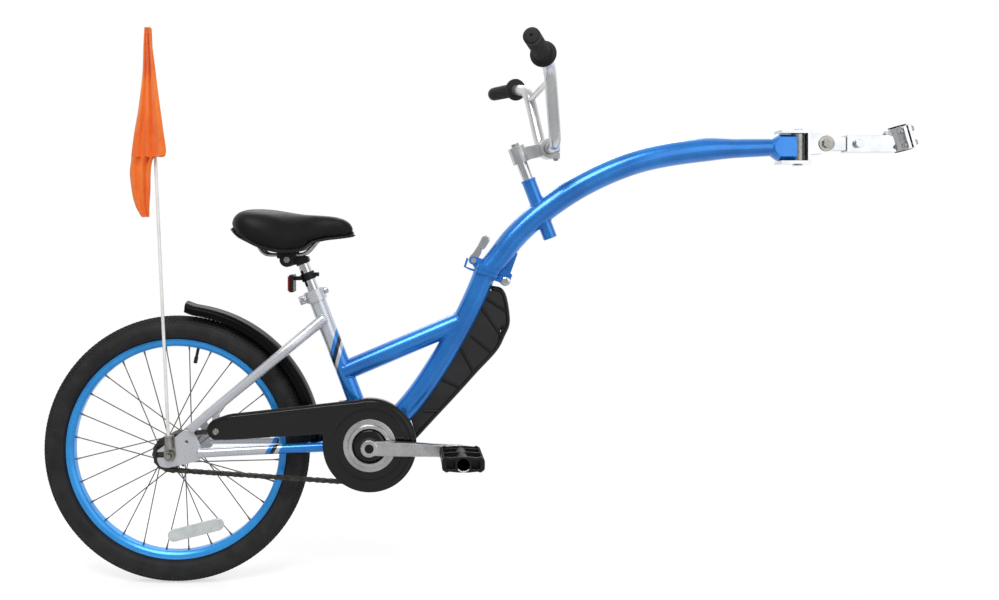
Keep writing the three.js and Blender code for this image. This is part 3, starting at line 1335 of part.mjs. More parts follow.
piece(seat, 'seat_post', silverPaint, seatPostSolid());
piece(seat, 'reflector_bracket', blackPlastic, reflectorBracketSolid());
piece(seat, 'reflector_lens', redLens, reflectorLensSolid());

// Saddle: [share of length, top, bottom as shares of height, share of half width]
const saddleTail = at(postTop.x - saddle.behind, 0, postTop.z - saddle.drop);
const saddleBolt = at(postTop.x - saddleClamp.behind, 0, postTop.z + saddleClamp.rise);

const saddleShares = [
  [0, 0.68, 0.6, 0.3], [0.025, 0.86, 0.55, 0.62], [0.08, 0.97, 0.44, 0.86], [0.15, 1, 0.36, 0.97],
  [0.25, 0.99, 0.25, 1], [0.37, 0.945, 0.17, 0.93], [0.48, 0.9, 0.16, 0.76], [0.58, 0.868, 0.2, 0.56],
  [0.66, 0.856, 0.33, 0.42], [0.75, 0.853, 0.385, 0.34], [0.84, 0.85, 0.41, 0.29], [0.91, 0.82, 0.43, 0.26],
  [0.965, 0.74, 0.45, 0.21], [1, 0.6, 0.475, 0.1],
];

function saddleAt(share, column) {
  const next = Math.max(1, saddleShares.findIndex(([along]) => along >= share));
  const [a, b] = [saddleShares[next - 1], saddleShares[next]];
  return THREE.MathUtils.lerp(a[column], b[column], (share - a[0]) / (b[0] - a[0]));
}

// Half a section from its bottom middle to its top middle, as [share of half width, share of height]
const saddleSection = [
  [0, 0.22], [0.62, 0.12], [0.9, 0], [0.99, 0.3], [0.95, 0.62], [0.78, 0.86], [0.42, 0.97], [0, 1],
];

function saddleSolid() {
  const rings = saddleShares.map(([along, top, bottom, width]) => {
    const x = saddleTail.x + along * saddle.length;
    const [high, low] = [top, bottom].map((share) => saddleTail.z + share * saddle.height);
    const half = saddleSection.map(([out, up]) => at(
      x, out * width * saddle.halfWidth, THREE.MathUtils.lerp(low, high, up),
    ));
    const other = half.slice(1, -1).map((p) => at(p.x, -p.y, p.z)).reverse();
    return [...half, ...other];
  });
  return loft(rings);
}

// Height of the saddle's underside at a place, between its middle and its inner edge
function undersideAt(x, y) {
  const share = (x - saddleTail.x) / saddle.length;
  const [high, low] = [1, 2].map((column) => saddleTail.z + saddleAt(share, column) * saddle.height);
  const half = saddleAt(share, 3) * saddle.halfWidth * 0.62;
  const up = THREE.MathUtils.lerp(0.22, 0.12, Math.min(1, Math.abs(y) / half));
  return THREE.MathUtils.lerp(low, high, up);
}

function railPath() {
  const under = (x, y) => at(x, y, undersideAt(x, y) - gap - rail.radius - runningGap);
  const [rear, front] = [postTop.x - rail.behind, postTop.x + rail.ahead];
  const right = [
    under(rear, -rail.offset), at(rear + rail.offset, -rail.offset, postTop.z + rail.rise),
    at(saddleBolt.x + rail.offset * 1.6, -rail.offset, postTop.z + rail.rise),
    under(front - rail.offset, -rail.offset * 0.5),
    under(front, -rail.radius),
  ];
  return [...right, ...right.map((p) => at(p.x, -p.y, p.z)).reverse()];
}

// The band on the post ends in a lug, and the cheeks that hold the rails turn about its bolt
function saddleBandSolid() {
  const low = postTop.clone().addScaledVector(seatAxis, -saddleClamp.bandHeight);
  const band = rodBetween(low, postTop, saddleClamp.bandRadius);
  const half = saddleClamp.inner - gap;
  const lug = crossRod(saddleBolt.x, saddleBolt.z, saddleClamp.lugRadius, -half, half);
  const link = box(
    saddleBolt.x, postTop.x, -saddleClamp.lugRadius, saddleClamp.lugRadius,
    saddleBolt.z - saddleClamp.lugRadius, saddleBolt.z - saddleClamp.boltRadius - runningGap,
  );
  const postRoom = rodBetween(
    low.clone().addScaledVector(seatAxis, -overrun), postTop.clone().addScaledVector(seatAxis, overrun),
    seatPost.radius + gap,
  );
  const hole = crossRod(
    saddleBolt.x, saddleBolt.z, saddleClamp.boltRadius + gap, -half - overrun, half + overrun,
    sides.bore,
  );
  return cut(joined(band, lug, link), postRoom, hole);
}

function saddleClampSolid() {
  const cheek = crossRod(
    saddleBolt.x, saddleBolt.z, saddleClamp.radius, -saddleClamp.outer, -saddleClamp.inner,
  );
  const bolt = crossRod(
    saddleBolt.x, saddleBolt.z, saddleClamp.boltRadius,
    -saddleClamp.outer - overrun, saddleClamp.outer + overrun,
    sides.bore,
  );
  const groove = saddleClamp.radius + rail.offset;
  const rails = [-1, 1].map((side) => rodBetween(
    at(saddleBolt.x - groove, side * rail.offset, postTop.z + rail.rise),
    at(saddleBolt.x + groove, side * rail.offset, postTop.z + rail.rise),
    rail.radius + gap, sides.bore,
  ));
  return cut(joined(cheek, mirrored(cheek), bolt), ...rails);
}

piece(seat, 'saddle', saddleVinyl, saddleSolid());
piece(seat, 'saddle_rails', darkSteel, tube(railPath(), rail.radius, sides.small));
piece(seat, 'saddle_clamp', blackPlastic, saddleClampSolid());
piece(seat, 'saddle_band', blackPlastic, saddleBandSolid());

// Front beam, with the upper half of the fold, the steerer stub and the head casting
const front = groupAt(fromAxle, 0, 0, 'front_beam');
const beamEnd = at(beam.headX, 0, beam.headZ);
const beamShares = [
  [-0.012, -0.06], [0.0426, 0.0886], [0.105, 0.274], [0.2, 0.475], [0.349, 0.7036], [0.5364, 0.8859],
  [0.7544, 0.977], [0.8947, 0.9928], [1, 1],
];

function beamRadius(x) {
  const share = (x - fold.x) / (beam.headX - fold.x);
  const [bulge, slim] = [0.76, 0.895];
  if (share < bulge) return beam.radius;
  const [from, to, start, end] = share < slim
    ? [beam.radius, beam.slimRadius, bulge, slim] : [beam.slimRadius, beam.endRadius, slim, 1];
  return THREE.MathUtils.lerp(from, to, Math.min(1, (share - start) / (end - start)));
}

const beamPath = smooth(between(foldPoint, beamEnd, beamShares), 17);

function headSolid() {
  const profile = [
    [0, 0], [beam.endRadius * 0.98, 0], [head.radius, head.neck], [head.radius, head.end - beam.headX],
    [0, head.end - beam.headX],
  ];
  const bell = turned(profile, sides.large).rotate([0, 0, -90]).translate([beam.headX, 0, beam.headZ]);
  const sidesCut = box(
    beam.headX - overrun, head.end, -head.halfWidth, head.halfWidth,
    beam.headZ - head.radius, beam.headZ + head.radius,
  );
  const [low, high] = [beam.headZ - head.radius, beam.headZ + head.radius];
  const sleeve = rodBetween(at(yaw.x, 0, low), at(yaw.x, 0, high), yaw.sleeveRadius);
  const bore = rodBetween(
    at(yaw.x, 0, low - overrun), at(yaw.x, 0, high + overrun), yaw.pinRadius + gap, sides.medium,
  );
  return cut(joined(bell.intersect(sidesCut), sleeve), bore);
}

function upperFoldParts() {
  const plate = foldSlab(-fold.flangeRear, fold.flangeFront, gap / 2, fold.flangeWall);
  const knuckle = crossRod(foldPin.x, foldPin.z, fold.knuckleRadius, -fold.knuckleHalf, fold.knuckleHalf);
  const web = sidePlate(foldOutline([
    [fold.flangeFront * 0.5, gap], [fold.flangeFront, gap],
    [fold.pinAlong - fold.knuckleRadius, -fold.pinBelow],
    [fold.pinAlong + fold.knuckleRadius, -fold.pinBelow],
    [fold.pinAlong + fold.knuckleRadius, fold.flangeWall],
    [fold.flangeFront, fold.flangeWall * 2],
  ]), -fold.knuckleHalf, fold.knuckleHalf);
  const rib = sidePlate(foldOutline([
    [0, fold.flangeWall / 2], [fold.pinAlong + fold.knuckleRadius * 0.6, fold.flangeWall / 2],
    [fold.pinAlong + gusset.reach, gusset.length], [fold.pinAlong, gusset.length],
  ]), -gusset.halfWidth, gusset.halfWidth);
  const ear = joined(
    crossRod(latchPin.x, latchPin.z, latch.earRadius, -latch.earInner - latch.earWall, -latch.earInner),
    sidePlate(foldOutline([
      [-latch.pivotBehind, latch.pivotAbove + latch.earRadius],
      [-fold.flangeRear * 0.5, latch.pivotAbove + latch.earRadius],
      [-fold.flangeRear * 0.5, gap], [-fold.flangeRear, gap],
      [-latch.pivotBehind - latch.earRadius * 0.8, latch.pivotAbove],
    ]), -latch.earInner - latch.earWall, -latch.earInner),
  );
  const earOuter = latch.earInner + latch.earWall + overrun;
  const pinHole = crossRod(foldPin.x, foldPin.z, fold.pinRadius + gap, -fold.flangeHalf, fold.flangeHalf);
  const latchHole = crossRod(latchPin.x, latchPin.z, latch.pinRadius + gap, -earOuter, earOuter, sides.small);
  return { solid: joined(plate, knuckle, web, rib, ear, mirrored(ear)), holes: [pinHole, latchHole] };
}

function frontBeamSolid() {
  const radii = beamPath.map((p) => beamRadius(p.x));
  const shell = cut(tube(beamPath, radii), foldHalfSpace(false));
  const inner = beamPath.slice(0, -1);
  const bore = tube(inner, radii.slice(0, -1).map((radius) => radius - beam.wall), sides.bore);
  const stubLow = steererTop.clone().addScaledVector(steererUp, -steerer.length);
  const stub = rodBetween(stubLow, steererTop, steerer.radius);
  const stubBore = rodBetween(
    stubLow.clone().addScaledVector(steererUp, -overrun),
    steererTop.clone().addScaledVector(steererUp, overrun),
    steerer.boreRadius,
  );
  const fittings = upperFoldParts();
  const solid = joined(cut(shell.add(fittings.solid), bore), stub, headSolid());
  return cut(solid, stubBore, ...fittings.holes);
}

piece(front, 'front_beam', bluePaint, frontBeamSolid());

function foldPinSolid() {
  const end = fold.knuckleHalf + gap + fold.earWall + gap;
  const dome = [
    [0, end], [fold.pinHead, end], [fold.pinHead * 0.9, end + fold.pinHeadHeight * 0.6],
    [fold.pinHead * 0.5, end + fold.pinHeadHeight], [0, end + fold.pinHeadHeight],
  ];
  const headPiece = turned(dome, sides.medium).translate([foldPin.x, 0, foldPin.z]);
  return joined(
    crossRod(foldPin.x, foldPin.z, fold.pinRadius, -end - gap, end + gap), headPiece,
    mirrored(headPiece),
  );
}

piece(front, 'fold_pin', chrome, foldPinSolid());

// Latch: a lever on a pin, whose cross pin bears on a catch that stands on the frame
const leverUp = at(Math.cos(degrees(leverDegrees)), 0, Math.sin(degrees(leverDegrees)));
const leverBack = at(-leverUp.z, 0, leverUp.x);
const crossSpot = latchPin.clone().addScaledVector(foldAlong, -latch.throw);

function leverOutline(points) {
  return points.map(([along, back]) => {
    const spot = latchPin.clone().addScaledVector(leverUp, along).addScaledVector(leverBack, back);
    return new THREE.Vector2(spot.x, spot.z);
  });
}

function latchLeverSolid() {
  const outer = latch.cheekInner + latch.cheekWall;
  const half = latch.leverHalf;
  const cheek = joined(
    crossRod(latchPin.x, latchPin.z, half * 1.2, -outer, -latch.cheekInner),
    crossRod(crossSpot.x, crossSpot.z, half * 1.1, -outer, -latch.cheekInner),
    sidePlate(
      leverOutline(
        [[0, -half], [latch.leverLength * 0.8, -half], [latch.leverLength * 0.8, half * 1.4], [0, half]],
      ),
      -outer, -latch.cheekInner,
    ),
  );
  const gripBlock = sidePlate(leverOutline([
    [latch.gripStart, -half],
    [latch.leverLength, -half * 1.4],
    [latch.leverLength, half * 1.6], [latch.gripStart, half * 1.4],
  ]), -outer, outer);
  const hole = crossRod(
    latchPin.x, latchPin.z, turningBore(latch.pinRadius), -outer - overrun, outer + overrun,
  );
  const crossPin = crossRod(
    crossSpot.x, crossSpot.z, latch.crossRadius, -outer + gap, outer - gap, sides.small,
  );
  return cut(joined(cheek, mirrored(cheek), gripBlock, crossPin), hole);
}

// The catch stands on the frame's lip and rises behind the lever's cross pin, between its cheeks
function latchCatchSolid() {
  const half = latch.cheekInner - gap;
  const front = -fold.flangeRear - latch.lipLength - gap;
  const sweep = latch.throw + latch.crossRadius + runningGap;
  const behind = -latch.pivotBehind - sweep;
  const low = -latch.lipBelow - latch.lipDepth;
  const plate = sidePlate(foldOutline([
    [front, -latch.lipBelow], [front, low], [behind - latch.catchWall, low * 0.7],
    [behind - latch.catchWall, latch.pivotAbove + latch.catchWall / 2], [behind, latch.pivotAbove],
    [behind, -latch.lipBelow],
  ]), -half, half);
  return plate;
}

function latchPinSolid() {
  const end = latch.earInner + latch.earWall + gap;
  return joined(
    crossRod(latchPin.x, latchPin.z, latch.pinRadius, -end - gap, end + gap, sides.small),
    crossRod(latchPin.x, latchPin.z, latch.pinRadius * 1.7, -end - latch.pinRadius * 0.7, -end, sides.medium),
    crossRod(latchPin.x, latchPin.z, latch.pinRadius * 1.7, end, end + latch.pinRadius * 0.7, sides.medium),
  );
}

piece(front, 'latch_lever', chrome, latchLeverSolid());
piece(front, 'latch_pin', chrome, latchPinSolid());
piece(rearFrame, 'latch_catch', chrome, latchCatchSolid());

// Stem: a quill in the steerer stub, a boss and an arm with the bar's clamp
const stemGroup = groupAt(fromAxle, steerer.x, steerer.z, 'stem');
const barCentre = at(bar.x - steerer.x, 0, bar.z - steerer.z);

function stemSolid() {
  const up = (distance) => steererUp.clone().multiplyScalar(distance);
  const bossEnd = stem.bossStart + stem.bossLength;
  const quill = rodBetween(up(-stem.quillDepth), up(stem.bossStart + overrun), stem.quillRadius);
  const boss = rodBetween(up(stem.bossStart), up(bossEnd), stem.bossRadius, sides.large);
  const root = up(stem.bossStart + stem.bossLength / 2);
  const run = barCentre.clone().sub(root).normalize();
  const across = at(-run.z, 0, run.x);
  const corner = (from, reach) => {
    const spot = from.clone().addScaledVector(across, reach);
    return new THREE.Vector2(spot.x, spot.z);
  };
  const arm = sidePlate([
    corner(root, -stem.armRootHalf), corner(barCentre, -stem.armEndHalf),
    corner(barCentre, stem.armEndHalf), corner(root, stem.armRootHalf),
  ], -stem.armHalfWidth, stem.armHalfWidth);
  const holder = crossRod(
    barCentre.x, barCentre.z, bar.clampRadius, -bar.clampHalfWidth, bar.clampHalfWidth, sides.large,
  );
  const lugReach = bar.clampRadius * 0.86;
  const lug = box(
    barCentre.x, barCentre.x + lugReach + stem.boltRadius, -stem.armHalfWidth, stem.armHalfWidth,
    barCentre.z - bar.clampRadius, barCentre.z - bar.clampRadius * 0.1,
  );
  const slit = box(
    barCentre.x + bar.radius * 0.4, barCentre.x + bar.clampRadius * 2, -bar.clampHalfWidth - overrun,
    bar.clampHalfWidth + overrun, barCentre.z - bar.radius * 0.75, barCentre.z - bar.radius * 0.6,
  );
  const bore = crossRod(
    barCentre.x, barCentre.z, turningBore(bar.radius), -bar.clampHalfWidth - overrun,
    bar.clampHalfWidth + overrun, sides.medium,
  );
  const boltBore = rodBetween(
    up(-stem.quillDepth - overrun), up(bossEnd + overrun), stem.boltRadius + gap, sides.small,
  );
  return cut(joined(quill, boss, arm, holder, lug), slit, bore, boltBore);
}

function stemBoltSolid() {
  const up = (distance) => steererUp.clone().multiplyScalar(distance);
  const top = stem.bossStart + stem.bossLength + gap;
  return joined(
    rodBetween(up(-stem.quillDepth), up(top + gap), stem.boltRadius, sides.small),
    rodBetween(up(top), up(top + stem.boltHeadHeight), stem.boltHeadRadius, sides.medium),
  );
}

piece(stemGroup, 'stem', alloy, stemSolid());
piece(stemGroup, 'stem_bolt', chrome, stemBoltSolid());

// Handlebar: two uprights, a cross bar between them and a grip at each end
const barGroup = groupAt(stemGroup, barCentre.x, barCentre.z, 'handlebar');
const gripStart = at(-bar.gripBack, bar.gripOut, bar.gripUp);
const gripEnd = at(-bar.endBack, bar.endOut, bar.endUp);
const gripRun = gripEnd.clone().sub(gripStart).normalize();
const barEnd = gripEnd.clone().addScaledVector(gripRun, -grip.endWall - gap);

function handlebarSolid() {
  const left = [
    at(0, bar.straight, 0), at(-bar.shoulderBack, bar.shoulderOut, bar.shoulderUp),
    gripStart.clone().addScaledVector(gripRun, -bar.radius / 2), barEnd,
  ];
  const corners = [...left.map((p) => at(p.x, -p.y, p.z)).reverse(), ...left];
  const path = rounded(corners, bar.bendRadius);
  const riseShare = crossBar.rise / bar.shoulderUp;
  const reach = THREE.MathUtils.lerp(bar.straight, bar.shoulderOut, riseShare);
  const back = -bar.shoulderBack * riseShare;
  const brace = rodBetween(
    at(back, -reach, crossBar.rise), at(back, reach, crossBar.rise), crossBar.radius, sides.small,
  );
  return cut(
    joined(tube(path, bar.radius, sides.medium), brace),
    tube(extended(path), bar.radius - bar.wall, sides.small),
  );
}

// The same path run a little past both of its ends
function extended(path) {
  const run = (end, next) => end.clone().add(end.clone().sub(next).normalize().multiplyScalar(overrun));
  const last = path.length - 1;
  return [run(path[0], path[1]), ...path.slice(1, -1), run(path[last], path[last - 1])];
}

function gripSolid() {
  const length = gripEnd.distanceTo(gripStart);
  const bore = bar.radius + gap * 1.5;
  const profile = [
    [0, length], [grip.radius * 0.8, length], [grip.radius, length - grip.endWall],
    [grip.radius, grip.flangeWall], [grip.flangeRadius, grip.flangeWall], [grip.flangeRadius, 0],
    [bore, 0], [bore, length - grip.endWall], [0, length - grip.endWall],
  ];
  const geometry = new THREE.LatheGeometry(profile.map(([r, y]) => new THREE.Vector2(r, y)), sides.medium);
  geometry.applyQuaternion(new THREE.Quaternion().setFromUnitVectors(at(0, 1, 0), gripRun));
  geometry.translate(gripStart.x, gripStart.y, gripStart.z);
  return solidFrom(geometry);
}

piece(barGroup, 'handlebar', silverPaint, handlebarSolid());
piece(barGroup, 'left_grip', rubber, gripSolid());
piece(barGroup, 'right_grip', rubber, mirrored(gripSolid()));

// Hitch: the yoke turns about the beam's upright pin and about the tongue's cross bolt
const hitch = groupAt(fromAxle, 0, 0, 'hitch');
const yokeInner = head.radius + gap;
const yokeOuter = yokeInner + yoke.plateWall;

function yokeSolid() {
  const plates = [-1, 1].map((side) => {
    const [low, high] = [side * yokeInner, side * yokeOuter].sort((a, b) => a - b);
    return box(
      yoke.rear, yoke.wallOuter, -yoke.halfWidth, yoke.halfWidth, beam.headZ + low,
      beam.headZ + high,
    );
  });
  const wall = box(
    yoke.wallInner, yoke.wallOuter, -yoke.halfWidth,
    yoke.halfWidth, beam.headZ - yokeOuter, beam.headZ + yokeOuter,
  );
  const shape = new THREE.Shape();
  shape.moveTo(yoke.wallInner, pitch.z - yoke.rootHalfHeight);
  shape.lineTo(pitch.x, pitch.z - yoke.cheekRadius);
  shape.absarc(pitch.x, pitch.z, yoke.cheekRadius, -Math.PI / 2, Math.PI / 2);
  shape.lineTo(yoke.wallInner, pitch.z + yoke.rootHalfHeight);
  const inner = tongue.halfWidth + gap;
  const cheek = sidePlate(shape, -inner - yoke.cheekWall, -inner, 6);
  const pinHole = rodBetween(
    at(yaw.x, 0, beam.headZ - yokeOuter - overrun), at(yaw.x, 0, beam.headZ + yokeOuter + overrun),
    yaw.pinRadius + gap, sides.medium,
  );
  const boltHole = crossRod(pitch.x, pitch.z, pitch.boltRadius + gap, -yoke.halfWidth, yoke.halfWidth);
  return cut(joined(...plates, wall, cheek, mirrored(cheek)), pinHole, boltHole);
}

function yawPinSolid() {
  const end = yokeOuter + gap;
  const [low, high] = [beam.headZ - end, beam.headZ + end];
  return joined(
    rodBetween(at(yaw.x, 0, low - gap), at(yaw.x, 0, high + gap), yaw.pinRadius, sides.medium),
    rodBetween(at(yaw.x, 0, high), at(yaw.x, 0, high + yaw.pinHeadHeight), yaw.pinHead, sides.medium),
    rodBetween(at(yaw.x, 0, low - yaw.pinHeadHeight), at(yaw.x, 0, low), yaw.pinHead, 6),
  );
}

function pitchBoltSolid() {
  const face = tongue.halfWidth + gap + yoke.cheekWall + gap;
  const headStart = face + pitch.washerWall;
  const side = joined(
    crossRod(pitch.x, pitch.z, pitch.washerRadius, -headStart, -face, sides.large),
    crossRod(pitch.x, pitch.z, pitch.headRadius, -headStart - pitch.headHeight, -headStart + gap, 6),
  );
  return joined(crossRod(pitch.x, pitch.z, pitch.boltRadius, -headStart, headStart), side, mirrored(side));
}

piece(hitch, 'yoke', chrome, yokeSolid());
piece(hitch, 'yaw_pin', alloy, yawPinSolid());
piece(hitch, 'pitch_bolt', chrome, pitchBoltSolid());

// Receiver, tongue and coupling pin
function tongueSolid() {
  const shape = new THREE.Shape();
  shape.moveTo(tongue.front, pitch.z - tongue.halfHeight);
  shape.lineTo(tongue.front, pitch.z + tongue.halfHeight);
  shape.lineTo(pitch.x, pitch.z + tongue.halfHeight);
  shape.absarc(pitch.x, pitch.z, tongue.halfHeight, Math.PI / 2, 3 * Math.PI / 2);
  return cut(
    sidePlate(shape, -tongue.halfWidth, tongue.halfWidth, 6),
    crossRod(
      pitch.x, pitch.z, pitch.boltRadius + gap, -tongue.halfWidth - overrun,
      tongue.halfWidth + overrun,
    ),
    crossRod(
      couplingPin.x, pitch.z, couplingPin.radius + gap, -tongue.halfWidth - overrun,
      tongue.halfWidth + overrun,
    ),
  );
}

const sleeveHalfWidth = tongue.halfWidth + gap + receiver.wall;
const jawInner = clamp.boreRadius + clamp.linerWall + gap;
const jawOuter = jawInner + clamp.jawWall;

// A jaw in plan, in the clamp's own leaning frame, on its front (+1) or rear (-1) side
function jawSolid(side) {
  const shape = new THREE.Shape();
  const start = clamp.split;
  const ear = start + clamp.earWall;
  const angle = Math.acos(ear / jawOuter);
  shape.moveTo(start, -clamp.earReach);
  shape.lineTo(ear, -clamp.earReach);
  shape.lineTo(ear, -jawOuter * Math.sin(angle));
  shape.absarc(0, 0, jawOuter, -angle, angle, false);
  shape.lineTo(ear, clamp.earReach);
  shape.lineTo(start, clamp.earReach);
  shape.closePath();
  const geometry = new THREE.ExtrudeGeometry(shape, {
    depth: 2 * clamp.halfHeight, bevelEnabled: false, curveSegments: 9,
  });
  geometry.translate(0, 0, -clamp.halfHeight);
  if (side < 0) geometry.rotateZ(Math.PI);
  return solidFrom(geometry);
}

function uprightRod(radius, half, count) {
  return rodBetween(at(0, 0, -half), at(0, 0, half), radius, count);
}

function clampHoles() {
  return [-1, 1].flatMap((side) => [-1, 1].map((row) => rodBetween(
    at(-jawOuter, side * clampBolt.offset, row * clampBolt.rise),
    at(jawOuter, side * clampBolt.offset, row * clampBolt.rise),
    clampBolt.radius + gap, sides.small,
  )));
}

// Stands a solid of the clamp's own frame in its leaning place
function leaning(solid) {
  return solid.rotate([0, -clampLeanDegrees, 0]).translate([clamp.x, 0, clamp.z]);
}

function receiverSolid() {
  const half = tongue.halfHeight + gap + receiver.wall;
  const outside = box(
    receiver.rear, receiver.front, -sleeveHalfWidth, sleeveHalfWidth, pitch.z - half, pitch.z + half,
  );
  const inside = box(
    receiver.rear - overrun, receiver.hollowEnd, -tongue.halfWidth - gap, tongue.halfWidth + gap,
    pitch.z - tongue.halfHeight - gap, pitch.z + tongue.halfHeight + gap,
  );
  const pinHole = crossRod(
    couplingPin.x, pitch.z, couplingPin.radius + gap, -sleeveHalfWidth - overrun,
    sleeveHalfWidth + overrun,
  );
  const jaw = leaning(cut(jawSolid(-1), ...clampHoles()));
  const bore = leaning(uprightRod(jawInner, clamp.halfHeight * 2, 20));
  return cut(joined(cut(outside, inside), jaw), pinHole, bore);
}

function linerSolid() {
  const half = clamp.halfHeight + clamp.linerWall;
  const ring = cut(
    uprightRod(jawInner - gap, half, 20), uprightRod(clamp.boreRadius, half + overrun, 20),
    box(-jawOuter, 0, -clamp.split, clamp.split, -half * 2, half * 2),
  );
  return leaning(ring);
}

function clampBoltSolid(side, row) {
  const [y, z] = [side * clampBolt.offset, row * clampBolt.rise];
  const face = clamp.split + clamp.earWall + gap;
  const bolt = joined(
    rodBetween(
      at(-face - clampBolt.headHeight * 1.6, y, z), at(face + gap, y, z), clampBolt.radius,
      sides.small,
    ),
    rodBetween(at(face, y, z), at(face + clampBolt.headHeight, y, z), clampBolt.headRadius, sides.small),
    rodBetween(at(-face - clampBolt.headHeight, y, z), at(-face, y, z), clampBolt.headRadius, 6),
  );
  return leaning(bolt);
}

function couplingPinSolid() {
  const near = -sleeveHalfWidth - gap;
  return joined(
    crossRod(couplingPin.x, pitch.z, couplingPin.radius, near - gap, sleeveHalfWidth + couplingPin.tail),
    crossRod(couplingPin.x, pitch.z, couplingPin.knobRadius, near - couplingPin.knobHeight, near),
  );
}

piece(hitch, 'tongue', chrome, tongueSolid());
piece(hitch, 'receiver', chrome, receiverSolid());
piece(hitch, 'coupling_pin', chrome, couplingPinSolid());
piece(
  hitch, 'front_jaw', chrome,
  leaning(cut(jawSolid(1), uprightRod(jawInner, clamp.halfHeight * 2, 20), ...clampHoles())),
);
piece(hitch, 'clamp_liner', rubber, linerSolid());
for (const [name, side, row] of [
  ['clamp_bolt_right_upper', -1, 1], ['clamp_bolt_right_lower', -1, -1],
  ['clamp_bolt_left_upper', 1, 1], ['clamp_bolt_left_lower', 1, -1],
]) {
  piece(hitch, name, alloy, clampBoltSolid(side, row));
}

export default trailerBike;
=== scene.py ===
"""Trailer bike: the looks of its pieces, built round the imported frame.

Sizes are millimetres seen from the rear axle, X forward, Y left, Z up, until `place` turns them into
the frame's metres. The order is camera, helpers, finishes, wheel, frame, drive, seat, beam,
handlebar, hitch, flag, studio.
"""

import json
import math

import bmesh
import bpy
import numpy as np
from mathutils import Matrix, Vector
from mathutils.geometry import delaunay_2d_cdt

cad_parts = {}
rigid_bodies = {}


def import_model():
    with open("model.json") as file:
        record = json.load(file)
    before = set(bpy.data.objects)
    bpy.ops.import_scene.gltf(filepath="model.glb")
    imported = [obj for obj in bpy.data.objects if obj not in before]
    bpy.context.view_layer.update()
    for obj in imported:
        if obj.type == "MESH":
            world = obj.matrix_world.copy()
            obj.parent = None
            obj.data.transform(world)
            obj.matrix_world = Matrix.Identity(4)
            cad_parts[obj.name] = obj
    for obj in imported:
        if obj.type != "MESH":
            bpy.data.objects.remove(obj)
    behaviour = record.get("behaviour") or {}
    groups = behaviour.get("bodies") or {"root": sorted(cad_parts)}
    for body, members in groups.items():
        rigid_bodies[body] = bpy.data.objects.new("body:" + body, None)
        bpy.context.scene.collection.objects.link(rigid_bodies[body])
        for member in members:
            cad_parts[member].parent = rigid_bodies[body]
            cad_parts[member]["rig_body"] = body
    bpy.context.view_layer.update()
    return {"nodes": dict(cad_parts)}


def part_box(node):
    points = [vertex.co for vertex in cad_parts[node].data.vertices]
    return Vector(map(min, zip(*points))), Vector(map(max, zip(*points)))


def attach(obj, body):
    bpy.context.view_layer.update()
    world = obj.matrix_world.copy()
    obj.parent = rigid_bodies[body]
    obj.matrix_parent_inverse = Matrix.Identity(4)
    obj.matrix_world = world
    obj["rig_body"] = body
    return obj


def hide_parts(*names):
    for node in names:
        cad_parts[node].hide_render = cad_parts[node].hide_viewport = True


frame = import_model()

CLAMP = Vector((1380.7, 0.0, 591.1))
place = Matrix.Scale(0.001, 4) @ Matrix.Translation(-CLAMP)

# The camera looks square at the drive side. Its eye is level with pixel 400, 240 of the picture, and the
# picture's middle lies to the right of it and below it, which is what the shift is for.
PICTURE = (999, 600)
EYE_PIXEL = (400, 240)
MM_PER_PIXEL = 1.911
EYE = Vector((424.8, -1800.0, 397.1))

view = bpy.data.cameras.new("drive_side_view")
view.sensor_width = 36
view.lens = view.sensor_width * -EYE.y / (PICTURE[0] * MM_PER_PIXEL)
view.shift_x = (PICTURE[0] / 2 - EYE_PIXEL[0]) / PICTURE[0]
view.shift_y = (EYE_PIXEL[1] - PICTURE[1] / 2) / PICTURE[0]
view.clip_start = 0.05
camera = bpy.data.objects.new("drive_side_view", view)
camera.location = place @ EYE
camera.rotation_euler = (math.radians(90), 0, 0)
bpy.context.scene.collection.objects.link(camera)
bpy.context.scene.camera = camera


# ---------------------------------------------------------------- helpers for shapes

def v(*parts):
    return np.array(parts, float)


# A spot times one of these is its mirror image, or its foot in the plane of the bike
ACROSS, IN_PLANE = v(1, -1, 1), v(1, 0, 1)


def lerp(a, b, share):
    return a + (b - a) * share


def unit(vector):
    return vector / np.linalg.norm(vector)


def on_corner(start, corner, end, t):
    """A point of the curve that rounds a corner."""
    return (1 - t) ** 2 * start + 2 * t * (1 - t) * corner + t**2 * end


def smooth_path(points, per=10):
    """A smooth path through these points, the same rule as the solid model's paths."""
    points = [np.array(p, float) for p in points]
    run = [2 * points[0] - points[1], *points, 2 * points[-1] - points[-2]]
    out = []
    for a, b, c, d in zip(run, run[1:], run[2:], run[3:]):
        before, own, after = (max(np.linalg.norm(q - p), 1e-9) ** 0.5 for p, q in ((a, b), (b, c), (c, d)))
        leave = ((b - a) / before - (c - a) / (before + own) + (c - b) / own) * own
        arrive = ((c - b) / own - (d - b) / (own + after) + (d - c) / after) * own
        for t in np.arange(per) / per:
            out.append(b * (2 * t**3 - 3 * t**2 + 1) + leave * (t**3 - 2 * t**2 + t)
                       + c * (3 * t**2 - 2 * t**3) + arrive * (t**3 - t**2))
    return [*out, points[-1]]


def grid_faces(rings, around, closed_along=False, closed_round=True):
    """Quads between rings of points that lie one after the other in a list."""
    faces = []
    for i in range(rings if closed_along else rings - 1):
        for k in range(around if closed_round else around - 1):
            a, b = i * around, (i + 1) % rings * around
            faces.append((a + k, a + (k + 1) % around, b + (k + 1) % around, b + k))
    return faces


def loft(rings, closed_along=False, caps=True):
    """A skin over rings of equally many points."""
    around = len(rings[0])
    faces = grid_faces(len(rings), around, closed_along)
    if caps and not closed_along:
        faces += [tuple(range(around)), tuple(range((len(rings) - 1) * around, len(rings) * around))]
    return [p for ring in rings for p in ring], faces


